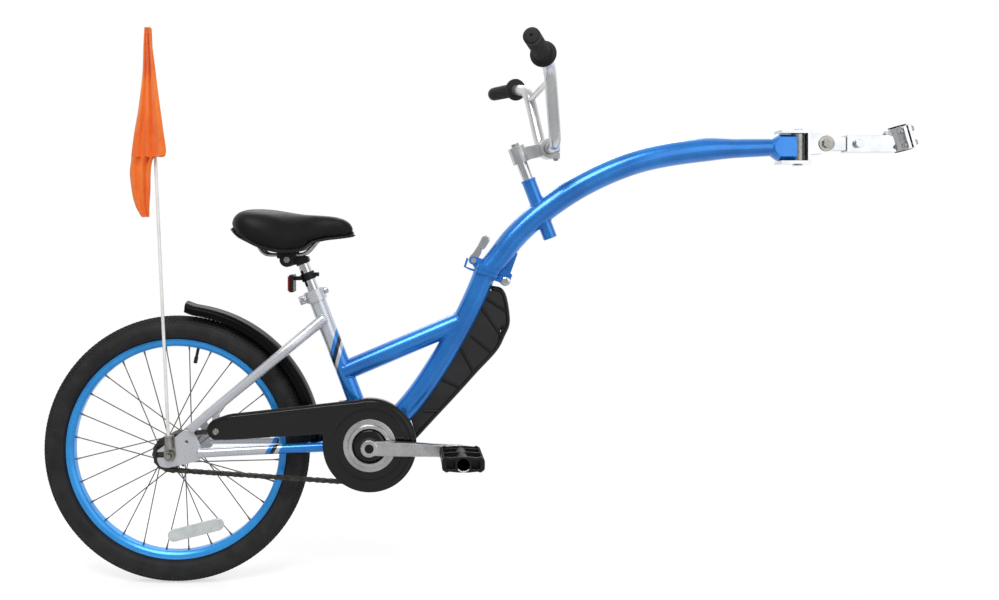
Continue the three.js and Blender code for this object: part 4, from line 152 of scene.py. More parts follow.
def sweep(path, radius, sides=32, closed=False, flatten=1.0, rounded=False):
    """A rod along a path. The radius may be one for each point. Flatten scales it across Y."""
    path = [np.array(p, float) for p in path]
    radii = list(radius) if hasattr(radius, "__len__") else [radius] * len(path)
    if rounded:
        ends = []
        for tip, inner, r in ((path[0], path[1], radii[0]), (path[-1], path[-2], radii[-1])):
            out = unit(tip - inner)
            ends.append([(tip + out * r * math.sin(a) * 0.5, r * math.cos(a)) for a in (0.5, 1.0, 1.35)])
        path = [p for p, _ in reversed(ends[0])] + path + [p for p, _ in ends[1]]
        radii = [r for _, r in reversed(ends[0])] + radii + [r for _, r in ends[1]]
    count = len(path)
    side, rings = None, []
    for i, p in enumerate(path):
        ahead = path[(i + 1) % count] if closed or i < count - 1 else p
        behind = path[i - 1] if closed or i > 0 else p
        along = unit(ahead - behind)
        if side is None:
            side = np.cross(along, v(0, 1, 0))
            side = np.cross(along, v(1, 0, 0)) if np.linalg.norm(side) < 0.1 else side
        side = unit(side - along * side.dot(along))
        other = np.cross(along, side)
        ring = []
        for k in range(sides):
            angle = 2 * math.pi * k / sides
            off = radii[i] * (math.cos(angle) * side + math.sin(angle) * other)
            ring.append(p + off * v(1, flatten, 1))
        rings.append(ring)
    return loft(rings, closed)


def lathe(profile, centre=(0, 0, 0), axis=(0, 1, 0), steps=96, ring=False):
    """A turned shape from (along, radius) points. A ring's profile is a closed loop."""
    axis = unit(np.array(axis, float))
    side = unit(np.cross(axis, v(0, 0, 1) if abs(axis[2]) < 0.9 else v(1, 0, 0)))
    other = np.cross(axis, side)
    angles = [2 * math.pi * k / steps for k in range(steps)]
    round_points = [math.cos(a) * side + math.sin(a) * other for a in angles]
    rings = [[np.array(centre) + along * axis + r * p for p in round_points] for along, r in profile]
    return loft(rings, ring, caps=not ring)


def turned(points, centre, axis=(0, 1, 0), steps=48):
    """A turned solid whose first and last points lie on its axis, or end flat."""
    return lathe([(a, max(r, 0.01)) for a, r in points], centre, axis, steps)


def arc_of(x, z, radius, angles):
    """Points of an outline round a centre, at these angles in radians."""
    return [(x + radius * math.cos(a), z + radius * math.sin(a)) for a in angles]


def circle(x, z, radius, steps=64):
    return arc_of(x, z, radius, [2 * math.pi * k / steps for k in range(steps)])


def rounded_loop(corners, radius, steps=5):
    """Corners of an outline, each turned into an arc."""
    out = []
    for i, corner in enumerate(corners):
        p, a, b = (np.array(q, float) for q in (corner, corners[i - 1], corners[(i + 1) % len(corners)]))
        reach = min(radius, np.linalg.norm(a - p) / 2.2, np.linalg.norm(b - p) / 2.2)
        start, end = p + unit(a - p) * reach, p + unit(b - p) * reach
        for t in np.arange(steps + 1) / steps:
            out.append(tuple(on_corner(start, p, end, t)))
    return out


def inset(loop, distance):
    """A counterclockwise loop moved inwards, or a clockwise one outwards."""
    points = np.array(loop, float)
    ahead, behind = np.roll(points, -1, 0) - points, points - np.roll(points, 1, 0)
    normals = []
    for d in (ahead, behind):
        d = d / np.maximum(np.linalg.norm(d, axis=1), 1e-9)[:, None]
        normals.append(np.stack([-d[:, 1], d[:, 0]], 1))
    middle = normals[0] + normals[1]
    middle /= np.maximum(np.linalg.norm(middle, axis=1), 1e-9)[:, None]
    stretch = 1 / np.maximum((middle * normals[0]).sum(1), 0.5)
    return points + middle * (distance * stretch)[:, None]


def wound(loop, hole):
    """The loop counterclockwise, or clockwise where it is a hole."""
    points = np.array(loop, float)
    x, z = points[:, 0], points[:, 1]
    area = (x * np.roll(z, -1) - np.roll(x, -1) * z).sum()
    return points if (area > 0) != hole else points[::-1]


def inside(spot, loop):
    """Whether a spot lies in a loop."""
    x, z = spot
    hit = False
    for (ax, az), (bx, bz) in zip(loop, np.roll(loop, -1, 0)):
        if (az > z) != (bz > z) and x < (bx - ax) * (z - az) / (bz - az) + ax:
            hit = not hit
    return hit


def plate(outline, near, far, edge=0.8, holes=(), steps=3):
    """A flat part in the XZ plane from Y near to Y far, with rounded edges."""
    loops = [wound(outline, False)] + [wound(h, True) for h in holes]
    rows = [(edge * (1 - math.sin(a)), near + edge * (1 - math.cos(a)))
            for a in np.linspace(0, math.pi / 2, steps + 1)]
    rows += [(i, near + far - y) for i, y in reversed(rows)]
    points, faces, rims = [], [], []
    for loop in loops:
        rings = [[v(x, y, z) for x, z in inset(loop, i)] for i, y in rows]
        base, around = len(points), len(loop)
        skin, skin_faces = loft(rings, caps=False)
        points += skin
        faces += [tuple(base + i for i in f) for f in skin_faces]
        rims.append((base, base + (len(rows) - 1) * around, around))
    flat = [Vector((points[base + k][0], points[base + k][2])) for base, _, n in rims for k in range(n)]
    edges, start, index = [], 0, []
    for base, top, n in rims:
        edges += [(start + k, start + (k + 1) % n) for k in range(n)]
        index += [(base + k, top + k) for k in range(n)]
        start += n
    found, _, triangles, origin, _, _ = delaunay_2d_cdt(flat, edges, [], 1, 1e-4)
    cut_outs = [inset(loop, edge) for loop in loops[1:]]
    for triangle in triangles:
        middle = sum((found[i] for i in triangle), Vector((0, 0))) / 3
        if any(inside(middle, hole) for hole in cut_outs) or not all(origin[i] for i in triangle):
            continue
        faces.append(tuple(index[origin[i][0]][0] for i in triangle))
        faces.append(tuple(index[origin[i][0]][1] for i in reversed(triangle)))
    return points, faces


def block(low, high, edge=0.6):
    """A box with rounded edges."""
    mesh = bmesh.new()
    bmesh.ops.create_cube(mesh, size=1.0)
    low, high = np.array(low, float), np.array(high, float)
    for vert in mesh.verts:
        vert.co = Vector((low + high) / 2 + np.array(vert.co) * (high - low))
    bmesh.ops.bevel(mesh, geom=mesh.edges[:], offset=edge, segments=2, profile=0.5, affect="EDGES")
    mesh.verts.ensure_lookup_table()
    shape = [np.array(p.co) for p in mesh.verts], [tuple(p.index for p in f.verts) for f in mesh.faces]
    mesh.free()
    return shape


def gather(*shapes):
    """These shapes as one."""
    points, faces = [], []
    for new_points, new_faces in shapes:
        base = len(points)
        points += list(new_points)
        faces += [tuple(base + i for i in f) for f in new_faces]
    return points, faces


def moved(shape, matrix):
    return [np.array(matrix @ Vector(p)) for p in shape[0]], shape[1]


def mirrored(shape):
    """The same shape on the other side of the bike."""
    return [np.array(p) * ACROSS for p in shape[0]], [tuple(reversed(f)) for f in shape[1]]


def outline_of(spots):
    return [(q[0], q[2]) for q in spots]


def joined(name, meshes):
    """These meshes as one."""
    whole = bmesh.new()
    for mesh in meshes:
        whole.from_mesh(mesh)
    done = bpy.data.meshes.new(name)
    whole.to_mesh(done)
    whole.free()
    return done


def mesh_of(shape):
    """A shape as a mesh, with its doubles joined and its faces turned outwards."""
    work = bmesh.new()
    verts = [work.verts.new(Vector(p)) for p in shape[0]]
    for face in shape[1]:
        corners = list(dict.fromkeys(face))
        if len(corners) > 2:
            try:
                work.faces.new([verts[i] for i in corners])
            except ValueError:
                pass
    bmesh.ops.remove_doubles(work, verts=work.verts[:], dist=1e-4)
    bmesh.ops.recalc_face_normals(work, faces=work.faces[:])
    mesh = bpy.data.meshes.new("shape")
    work.to_mesh(mesh)
    work.free()
    return mesh


def fitted(mesh, name, finish, body, nodes, sharp=35):
    """A finished piece: its finish, its smooth faces, the body it rides on and the node it stands for."""
    mesh.shade_smooth()
    mesh.set_sharp_from_angle(angle=math.radians(sharp))
    mesh = evaluated(mesh, ("WEIGHTED_NORMAL", {"keep_sharp": True, "weight": 100}))
    mesh.name = name
    if finish:
        mesh.materials.clear()
        for one in finish if isinstance(finish, (list, tuple)) else [finish]:
            mesh.materials.append(one)
    item = bpy.data.objects.new(name, mesh)
    bpy.context.scene.collection.objects.link(item)
    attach(item, body)
    if nodes:
        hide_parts(*([nodes] if isinstance(nodes, str) else nodes))
    return item


def piece(name, shape, finish, body, nodes, sharp=35):
    """A shape or mesh in millimetres from the axle, moved into the frame and finished."""
    mesh = shape if isinstance(shape, bpy.types.Mesh) else mesh_of(shape)
    mesh.transform(place)
    return fitted(mesh, name, finish, body, nodes, sharp)


def evaluated(mesh, *modifiers):
    """The mesh after these modifiers, each a kind with its settings."""
    host = bpy.data.objects.new("host", mesh)
    bpy.context.scene.collection.objects.link(host)
    for kind, settings in modifiers:
        modifier = host.modifiers.new(kind, kind)
        for label, value in settings.items():
            setattr(modifier, label, value)
    done = bpy.data.meshes.new_from_object(host.evaluated_get(bpy.context.evaluated_depsgraph_get()))
    bpy.data.objects.remove(host)
    return done


def eased(node, finish, edge=0.5, segments=2, name=None, keep=None, sharp=38):
    """A part whose solid is right already, with its edges rounded as the real one's are."""
    source = frame["nodes"][node]
    work = bmesh.new()
    work.from_mesh(source.data)
    bmesh.ops.remove_doubles(work, verts=work.verts[:], dist=2e-6)
    for spot, out in keep or ():
        cut = bmesh.ops.bisect_plane(work, geom=work.verts[:] + work.edges[:] + work.faces[:],
                                     plane_co=place @ Vector(spot), plane_no=Vector(out), clear_outer=True)
        rim = [g for g in cut["geom_cut"] if isinstance(g, bmesh.types.BMEdge)]
        bmesh.ops.holes_fill(work, edges=rim)
    bmesh.ops.dissolve_limit(work, angle_limit=math.radians(0.6), verts=work.verts[:], edges=work.edges[:])
    mesh = bpy.data.meshes.new(node)
    work.to_mesh(mesh)
    work.free()
    rounding = {"width": edge / 1000, "segments": segments, "limit_method": "ANGLE",
                "angle_limit": math.radians(32), "miter_outer": "MITER_ARC"}
    mesh = evaluated(mesh, ("BEVEL", rounding))
    return fitted(mesh, name or node + "_finished", finish, source["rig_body"], node, sharp)


# ---------------------------------------------------------------- helpers for node trees

def add(tree, kind, values=None, links=None, **settings):
    """A node with its settings, the values of its sockets and the links that come into it."""
    node = tree.nodes.new(kind)
    for label, value in settings.items():
        setattr(node, label, value)
    for socket, value in (values or {}).items():
        node.inputs[socket].default_value = value
    for socket, source in (links or {}).items():
        output = source[0].outputs[source[1]] if isinstance(source, tuple) else source.outputs[0]
        tree.links.new(output, node.inputs[socket])
    return node


def geometry_tree(name, **inputs):
    """An empty geometry tree with these named inputs, and its input node."""
    tree = bpy.data.node_groups.new(name, "GeometryNodeTree")
    tree.interface.new_socket("Geometry", in_out="INPUT", socket_type="NodeSocketGeometry")
    for label, kind in inputs.items():
        tree.interface.new_socket(label.replace("_", " "), in_out="INPUT", socket_type="NodeSocket" + kind)
    tree.interface.new_socket("Geometry", in_out="OUTPUT", socket_type="NodeSocketGeometry")
    return tree, add(tree, "NodeGroupInput")


def finish_tree(tree, given, source):
    """Instances made real, with the tree's finish."""
    real = add(tree, "GeometryNodeRealizeInstances", links={"Geometry": source})
    dressed = add(tree, "GeometryNodeSetMaterial", links={"Geometry": real, "Material": (given, "Finish")})
    add(tree, "NodeGroupOutput", links={"Geometry": dressed})
    return tree


def hidden_item(shape, curve=False):
    """A shape, or an open or closed path, as an object that a tree can read."""
    if curve:
        data = bpy.data.curves.new("path", "CURVE")
        data.dimensions = "3D"
        line = data.splines.new("POLY")
        line.points.add(len(shape) - 1)
        for point, spot in zip(line.points, shape):
            point.co = (*spot, 1)
        line.use_cyclic_u = curve == "closed"
    else:
        data = mesh_of(shape)
    item = bpy.data.objects.new("item", data)
    bpy.context.scene.collection.objects.link(item)
    return item


def grown(tree, base, finish, **values):
    """The plain mesh that a tree makes on this base."""
    values["Finish"] = finish
    modifier = base.modifiers.new(tree.name, "NODES")
    modifier.node_group = tree
    for socket in tree.interface.items_tree:
        label = socket.name.replace(" ", "_")
        if socket.in_out == "INPUT" and label in values:
            modifier[socket.identifier] = values[label]
    done = bpy.data.meshes.new_from_object(base.evaluated_get(bpy.context.evaluated_depsgraph_get()))
    for used in [base, *(one for one in values.values() if isinstance(one, bpy.types.Object))]:
        bpy.data.objects.remove(used)
    return done


# Items set evenly round the wheel axle, each turned to face outwards
round_tree, given = geometry_tree("round_an_axle", Item="Object", Count="Int", Finish="Material")
spots = add(round_tree, "GeometryNodePoints", links={"Count": (given, "Count")})
number = add(round_tree, "GeometryNodeInputIndex")
share = add(round_tree, "ShaderNodeMath", links={0: number, 1: (given, "Count")}, operation="DIVIDE")
turn = add(round_tree, "ShaderNodeMath", {1: -2 * math.pi}, {0: share}, operation="MULTIPLY")
euler = add(round_tree, "ShaderNodeCombineXYZ", links={"Y": turn})
item = add(round_tree, "GeometryNodeObjectInfo", links={"Object": (given, "Item")})
copies = add(round_tree, "GeometryNodeInstanceOnPoints",
             links={"Points": spots, "Instance": (item, "Geometry"), "Rotation": euler})
finish_tree(round_tree, given, copies)

# Items set evenly along a path, their X along it and their Y across the bike, at every second place
along_tree, given = geometry_tree("along_a_path", Item="Object", Count="Int", Skip="Int", Finish="Material")
evened = add(along_tree, "GeometryNodeResampleCurve",
             links={"Curve": (given, "Geometry"), "Count": (given, "Count")})
tangent = add(along_tree, "GeometryNodeInputTangent")
number = add(along_tree, "GeometryNodeInputIndex")
item = add(along_tree, "GeometryNodeObjectInfo", links={"Object": (given, "Item")})
shifted = add(along_tree, "ShaderNodeMath", links={0: number, 1: (given, "Skip")}, operation="ADD")
every = add(along_tree, "ShaderNodeMath", {1: 2.0}, {0: shifted}, operation="FLOORED_MODULO")
chosen = add(along_tree, "FunctionNodeCompare", {1: 0.5}, {0: every}, data_type="FLOAT",
             operation="LESS_THAN")
turn = add(along_tree, "FunctionNodeAxesToRotation", {"Secondary Axis": (0, 1, 0)},
           {"Primary Axis": tangent}, primary_axis="X", secondary_axis="Y")
copies = add(along_tree, "GeometryNodeInstanceOnPoints",
             links={"Points": evened, "Selection": chosen, "Instance": (item, "Geometry"), "Rotation": turn})
finish_tree(along_tree, given, copies)

# Wires along the base's edges, each with a threaded sleeve on its outer end
wire_tree, given = geometry_tree("wires_with_nipples", Wire_radius="Float", Nipple_radius="Float",
                                 Nipple_length="Float", Finish="Material")
wires = add(wire_tree, "GeometryNodeMeshToCurve", links={"Mesh": (given, "Geometry")})
section = add(wire_tree, "GeometryNodeCurvePrimitiveCircle", {"Resolution": 10},
              {"Radius": (given, "Wire radius")})
skin = add(wire_tree, "GeometryNodeCurveToMesh", {"Fill Caps": True},
           {"Curve": wires, "Profile Curve": section})
outer = add(wire_tree, "GeometryNodeCurveEndpointSelection", {"Start Size": 0, "End Size": 1})
sleeve = add(wire_tree, "GeometryNodeMeshCone", {"Vertices": 12},
             {"Radius Top": (given, "Nipple radius"), "Radius Bottom": (given, "Wire radius"),
              "Depth": (given, "Nipple length")})
tangent = add(wire_tree, "GeometryNodeInputTangent")
turn = add(wire_tree, "FunctionNodeAlignRotationToVector", links={"Vector": tangent}, axis="Z")
back = add(wire_tree, "ShaderNodeMath", {1: -1.0}, {0: (given, "Nipple length")}, operation="MULTIPLY")
lift = add(wire_tree, "ShaderNodeCombineXYZ", links={"Z": back})
drawn_back = add(wire_tree, "GeometryNodeTransform",
                 links={"Geometry": (sleeve, "Mesh"), "Translation": lift})
copies = add(wire_tree, "GeometryNodeInstanceOnPoints",
             links={"Points": wires, "Selection": outer, "Instance": drawn_back, "Rotation": turn})
both = add(wire_tree, "GeometryNodeJoinGeometry", links={"Geometry": skin})
wire_tree.links.new(copies.outputs[0], both.inputs[0])
finish_tree(wire_tree, given, both)


# ---------------------------------------------------------------- finishes

def linear(colour):
    """An sRGB hex colour as linear light."""
    parts = [int(colour[i:i + 2], 16) / 255 for i in (0, 2, 4)]
    return (*(p / 12.92 if p <= 0.04045 else ((p + 0.055) / 1.055) ** 2.4 for p in parts), 1.0)


def surface(name, light, dark, rough, grain, depth, patch=45, spread=0.06, stretch=(1, 1, 1), cells=None,
            weave=None, bands=None, sockets=None):
    """A finish that drifts between two close shades over patches and has a fine grain in its gloss and bump.

    Grain, patch, depth and cells are millimetres. Stretch draws the grain out along an axis, cells adds
    a pattern of little pads, weave adds threads along the piece's own UV map, and bands paints stripes
    across a direction: (spot, direction, first colour, [(offset, colour), ...]).
    """
    material = bpy.data.materials.new(name)
    material.use_nodes = True
    tree = material.node_tree
    shader = tree.nodes["Principled BSDF"]
    for label, value in (sockets or {}).items():
        shader.inputs[label].default_value = value
    where = add(tree, "ShaderNodeTexCoord")
    drawn = add(tree, "ShaderNodeMapping", {"Scale": stretch}, {"Vector": (where, "Object")})
    fine = add(tree, "ShaderNodeTexNoise", {"Scale": 1000 / grain, "Detail": 3.0, "Roughness": 0.6},
               {"Vector": drawn})
    broad = add(tree, "ShaderNodeTexNoise", {"Scale": 1000 / patch, "Detail": 4.0},
                {"Vector": (where, "Object")})
    drift = add(tree, "ShaderNodeMapRange", {1: 0.34, 2: 0.66}, {0: broad})
    colour = (add(tree, "ShaderNodeMix", {6: linear(light), 7: linear(dark)}, {0: drift},
                  data_type="RGBA"), 2)
    height = fine
    if cells:
        pads = add(tree, "ShaderNodeTexVoronoi", {"Scale": 1000 / cells}, {"Vector": drawn}, feature="F1")
        height = add(tree, "ShaderNodeMath", {1: -0.6}, {0: (pads, "Distance"), 2: fine},
                     operation="MULTIPLY_ADD")
    if weave:
        threads = []
        for direction in ("X", "Y"):
            threads.append(add(tree, "ShaderNodeTexWave", {"Scale": 100 * math.pi / weave, "Distortion": 0.3},
                               {"Vector": (where, "UV")}, bands_direction=direction))
        height = add(tree, "ShaderNodeMath", links={0: (threads[0], "Fac"), 1: (threads[1], "Fac")},
                     operation="ADD")
        shade = add(tree, "ShaderNodeMapRange", {1: 0.4, 2: 1.8, 3: 0.0, 4: 0.4}, {0: height})
        colour = (add(tree, "ShaderNodeMix", {7: linear(dark)}, {0: shade, 6: colour},
                      data_type="RGBA"), 2)
    if bands:
        spot, direction, first, stripes = bands
        reach = 40.0
        away = add(tree, "ShaderNodeVectorMath", {1: place @ Vector(spot)}, {0: (where, "Object")},
                   operation="SUBTRACT")
        across = add(tree, "ShaderNodeVectorMath", {1: direction}, {0: away}, operation="DOT_PRODUCT")
        span = add(tree, "ShaderNodeMapRange", {1: -reach / 1000, 2: reach / 1000}, {0: (across, "Value")})
        ramp = add(tree, "ShaderNodeValToRGB", links={0: span})
        ramp.color_ramp.interpolation = "CONSTANT"
        ramp.color_ramp.elements[0].color = linear(first)
        ramp.color_ramp.elements.remove(ramp.color_ramp.elements[1])
        for offset, shade in stripes:
            ramp.color_ramp.elements.new((offset + reach) / (2 * reach)).color = linear(shade)
        tinted = add(tree, "ShaderNodeMapRange", {1: 0.3, 2: 0.7, 3: 0.0, 4: 0.10}, {0: broad})
        colour = (add(tree, "ShaderNodeMix", {7: linear(dark)}, {0: tinted, 6: ramp},
                      data_type="RGBA"), 2)
    gloss = add(tree, "ShaderNodeMapRange", {1: 0.3, 2: 0.7, 3: max(rough - spread, 0.02), 4: rough + spread},
                {0: fine})
    bump = add(tree, "ShaderNodeBump", {"Strength": 1.0, "Distance": depth / 1000}, {"Height": height})
    tree.links.new(colour[0].outputs[colour[1]], shader.inputs["Base Color"])
    tree.links.new(gloss.outputs[0], shader.inputs["Roughness"])
    tree.links.new(bump.outputs[0], shader.inputs["Normal"])
    return material


BLUE, DEEP_BLUE, SILVER, BLACK = "2284de", "186fc4", "d2d4d9", "0b0b0d"
LACQUER = {"Metallic": 0.55, "Coat Weight": 0.6, "Coat Roughness": 0.08, "IOR": 1.5}

# Metallic blue enamel under clear lacquer: deep blue in the shade, pale along the lit edge, with a faint
# orange peel of about 2.5 mm and flake drawn at 0.9 mm, coarser than the real 0.1 mm
blue_enamel = surface("blue_metallic_enamel", BLUE, DEEP_BLUE, 0.26, 0.9, 0.006, 70, 0.05, sockets=LACQUER)
# Silver enamel under the same lacquer: near white where it faces the light
silver_enamel = surface("silver_metallic_enamel", SILVER, "c8cbd1", 0.3, 0.9, 0.006, 70, 0.05,
                        sockets=LACQUER)
# The two enamels meet on the seat tube and on each chain stay in slanting stripes of film under the
# lacquer, about 7 mm wide
stripe_run = [(-10.6, BLUE), (-3.5, BLACK), (3.5, SILVER), (10.3, BLUE)]
seat_tube_enamel = surface("striped_seat_tube_enamel", BLUE, DEEP_BLUE, 0.27, 0.9, 0.006, 70, 0.05,
                           bands=((303.7, 0, 186.3), (0.97, 0, -0.243), SILVER, stripe_run), sockets=LACQUER)
chain_stay_enamel = surface("striped_chain_stay_enamel", BLUE, DEEP_BLUE, 0.27, 0.9, 0.006, 70, 0.05,
                            bands=((191, 0, 10), (0.87, 0, -0.5), SILVER, stripe_run), sockets=LACQUER)
# Blue anodised aluminium rim: even and satin, with faint turning lines
rim_anodised = surface("blue_anodised_aluminium", "36a4f4", "2a95e6", 0.3, 1.2, 0.004, 60, 0.05,
                       sockets={"Metallic": 0.35, "Coat Weight": 0.25, "Coat Roughness": 0.15})
# Chromed steel: mirror bright, with rub marks of a few millimetres that only show in its gloss
chrome = surface("chromed_steel", "dcdee1", "c8cbcf", 0.09, 3.0, 0.002, 25, 0.05,
                 sockets={"Metallic": 1.0})
# Drawn and brushed aluminium: satin, with lines along the part
brushed_alloy = surface("brushed_aluminium", "d0d1d0", "bcbdbc", 0.3, 1.1, 0.004, 30, 0.08,
                        stretch=(0.12, 1, 1), sockets={"Metallic": 0.95})
# Satin silver handlebar: fine anodising, a little lighter than bare metal
satin_bar = surface("satin_anodised_aluminium", "d8d9db", "c9cacc", 0.27, 0.8, 0.003, 50, 0.05,
                    sockets={"Metallic": 0.9})
# Cast and polished stem
cast_alloy = surface("cast_aluminium", "cfd0d2", "bbbdc0", 0.33, 1.5, 0.012, 18, 0.07,
                     sockets={"Metallic": 0.9})
# Zinc plated steel of the spokes, nuts and bolts: duller, slightly yellow
zinc_steel = surface("zinc_plated_steel", "b4b2ac", "8f8d88", 0.32, 1.4, 0.004, 12, 0.1,
                     sockets={"Metallic": 0.95})
# Oiled chain steel and blackened fasteners: brown grey with oil in the hollows
oiled_steel = surface("oiled_chain_steel", "5a5652", "3d3a37", 0.38, 1.6, 0.006, 9, 0.1,
                      sockets={"Metallic": 0.9})
spoke_steel = surface("dull_spoke_steel", "7f7e7b", "5f5e5c", 0.36, 1.5, 0.003, 14, 0.08,
                      sockets={"Metallic": 0.9})
# Moulded plastic with a spark-eroded skin of about 0.7 mm: soft black with a broad highlight
moulded_black = surface("moulded_polypropylene", "151516", "0f0f10", 0.42, 0.7, 0.02, 60, 0.07,
                        sockets={"IOR": 1.49, "Specular IOR Level": 0.3})
# Splash guard: the same plastic in dark grey, with a coarser leather-like skin of 1.4 mm pads
guard_grey = surface("grained_dark_grey_plastic", "2c2c2e", "242426", 0.5, 1.0, 0.03, 50, 0.06, cells=1.6,
                     sockets={"IOR": 1.49, "Specular IOR Level": 0.3})
# Gloss black ABS of the chain guard and crank cap: mirror-like skin with long soft waves
gloss_black = surface("gloss_black_abs", "0c0c0e", "08080a", 0.14, 2.2, 0.004, 80, 0.04,
                      sockets={"IOR": 1.53, "Specular IOR Level": 0.35, "Coat Weight": 0.12,
                               "Coat Roughness": 0.05})
# Semi gloss black of the fender: the same skin, less polished, with a thin light along its crown
fender_black = surface("semi_gloss_polypropylene", "0d0d0f", "09090b", 0.3, 2.0, 0.004, 80, 0.05,
                       sockets={"IOR": 1.49, "Specular IOR Level": 0.08})
# Black rubber of grips, clamp liner and valve, and of the thin sheet of painted shade in the fold seam: matt,
# faintly grey where handled
grip_rubber = surface("black_rubber", "1c1c1c", "141414", 0.62, 0.8, 0.03, 30, 0.08,
                      sockets={"IOR": 1.52, "Specular IOR Level": 0.35})
# Tyre rubber: matt charcoal with a dusting of lighter grey
tyre_rubber = surface("tyre_rubber", "262627", "18181a", 0.72, 0.9, 0.04, 28, 0.08,
                      sockets={"IOR": 1.52, "Specular IOR Level": 0.35})
# Embossed vinyl over foam: pads of about 1.8 mm, semi gloss on the crown
saddle_vinyl = surface("embossed_black_vinyl", "171616", "100f0f", 0.48, 0.9, 0.035, 55, 0.07, cells=1.8,
                       sockets={"IOR": 1.5, "Specular IOR Level": 0.15, "Coat Weight": 0.02,
                                "Coat Roughness": 0.3})
# Ripstop nylon: plain weave threads of 0.4 mm drawn at 2 mm, thin enough to glow a little
orange_nylon = surface("orange_ripstop_nylon", "ff9028", "f26c12", 0.55, 1.5, 0.05, 60, 0.05, weave=2.0,
                       sockets={"Sheen Weight": 0.3, "Sheen Roughness": 0.5, "Transmission Weight": 0.12,
                                "IOR": 1.45})
# Glass fibre rod with a white gel coat
white_rod = surface("white_glass_fibre", "efefec", "e2e2de", 0.3, 1.6, 0.01, 40, 0.06,
                    stretch=(1, 1, 0.08), sockets={"IOR": 1.5, "Coat Weight": 0.3})
# Moulded acrylic lenses with prism cells of 2.6 mm
red_acrylic = surface("red_acrylic_lens", "c01414", "a00c0c", 0.12, 2.0, 0.2, 20, 0.04, cells=2.6,
                      sockets={"IOR": 1.49, "Transmission Weight": 0.25, "Coat Weight": 0.6})
clear_acrylic = surface("clear_acrylic_lens", "dfe3e4", "c9cecf", 0.12, 2.0, 0.25, 20, 0.05, cells=3.0,
                        sockets={"IOR": 1.49, "Metallic": 0.25, "Coat Weight": 0.6})


# ---------------------------------------------------------------- wheel

def on_wheel(radius, degrees, y=0.0):
    angle = math.radians(degrees)
    return v(radius * math.cos(angle), y, radius * math.sin(angle))


TYRE_RADIUS, TYRE_SECTION = 251.4, 24.2
TYRE_CENTRE = TYRE_RADIUS - TYRE_SECTION


def tyre_casing():
    """A turned casing with two moulded lines on each sidewall and a bead inside the rim's hooks."""
    half = []
    for angle in np.linspace(0, 126, 30):
        grow = 0.5 * math.exp(-((angle - 88) / 2.2) ** 2) + 0.5 * math.exp(-((angle - 108) / 2.2) ** 2)
        radius = TYRE_SECTION + grow
        half.append((radius * math.sin(math.radians(angle)),
                     TYRE_CENTRE + radius * math.cos(math.radians(angle))))
    half += [(14.2, 211.4), (11.9, 210.0), (11.2, 207.0), (10.8, 203.4), (7.6, 203.4), (7.9, 209.0)]
    inner = TYRE_SECTION - 3.5
    half += [(inner * math.sin(math.radians(a)), TYRE_CENTRE + inner * math.cos(math.radians(a)))
             for a in np.linspace(126, 0, 16)]
    outside, within = half[:36], half[36:]
    loop = [(-y, r) for y, r in reversed(outside[1:])] + outside
    loop += within + [(-y, r) for y, r in reversed(within[:-1])]
    return lathe(loop, steps=180, ring=True)


def tread_row():
    """One row of knobs across the crown, every other knob half a pitch further round."""
    row = []
    for i, across in enumerate((-50, -37.5, -25, -12.5, 0, 12.5, 25, 37.5, 50)):
        long, wide, high = (2.2, 2.5, 1.5) if abs(across) < 45 else (2.0, 3.2, 1.2)
        base = TYRE_SECTION - 0.6
        corners = []
        for out, shrink in ((base, 1.0), (TYRE_SECTION + high, 0.8)):
            corners += [v(out, y * wide * shrink, z * long * shrink)
                        for y, z in ((-1, -1), (1, -1), (1, 1), (-1, 1))]
        faces = [(4, 5, 6, 7), (3, 2, 1, 0), (0, 1, 5, 4), (1, 2, 6, 5), (2, 3, 7, 6), (3, 0, 4, 7)]
        tilt = Matrix.Rotation(math.radians(across), 4, "Z")
        step = Matrix.Rotation(math.radians(0.95 * (i % 2)), 4, "Y")
        row.append(moved((corners, faces), step @ Matrix.Translation((TYRE_CENTRE, 0, 0)) @ tilt))
    return gather(*row)


piece("tyre_casing", tyre_casing(), tyre_rubber, "wheel", "tyre")
tread = grown(round_tree, hidden_item([(0, 0, 0), (1, 0, 0)], curve="open"), tyre_rubber,
              Item=hidden_item(tread_row()), Count=190)
piece("tyre_tread", tread, None, "wheel", "tyre", sharp=20)


def rim_ring():
    """A box section rim with hooked flanges and a turned line on each flange."""
    half = [(0, 199.0), (5, 199.0), (6.6, 202.4), (8.2, 203.0), (11.2, 203.0), (11.7, 204.0), (11.5, 207.6),
            (12.2, 209.3), (13.0, 209.5), (13.5, 208.9), (13.5, 206.6), (13.25, 206.2), (13.5, 205.8),
            (13.5, 202.0), (13.1, 200.4), (10.4, 197.2), (8.6, 195.5), (7.0, 195.0), (0, 195.0)]
    loop = half + [(-y, r) for y, r in reversed(half[1:-1])]
    return lathe(loop, steps=180, ring=True)


piece("rim_section", rim_ring(), rim_anodised, "wheel", "rim", sharp=28)


def hub_body():
    """Barrel, two drilled flanges and the threaded boss under the freewheel."""
    profile = [(-50, 5.3), (-50, 11.6), (-49.4, 12), (-36.6, 12), (-36, 16.2), (-35.2, 17), (-31.6, 17.6),
               (-30.5, 28.4), (-29.9, 29), (-28.1, 29), (-27.5, 28.4), (-26.6, 18.5), (-22, 15.6), (-8, 14),
               (8, 14), (22, 15.6), (26.6, 18.5), (27.5, 28.4), (28.1, 29), (29.9, 29), (30.5, 28.4),
               (31.6, 17.6), (35.2, 17), (36, 16.2), (36, 5.3)]
    return lathe(profile, steps=64, ring=True)


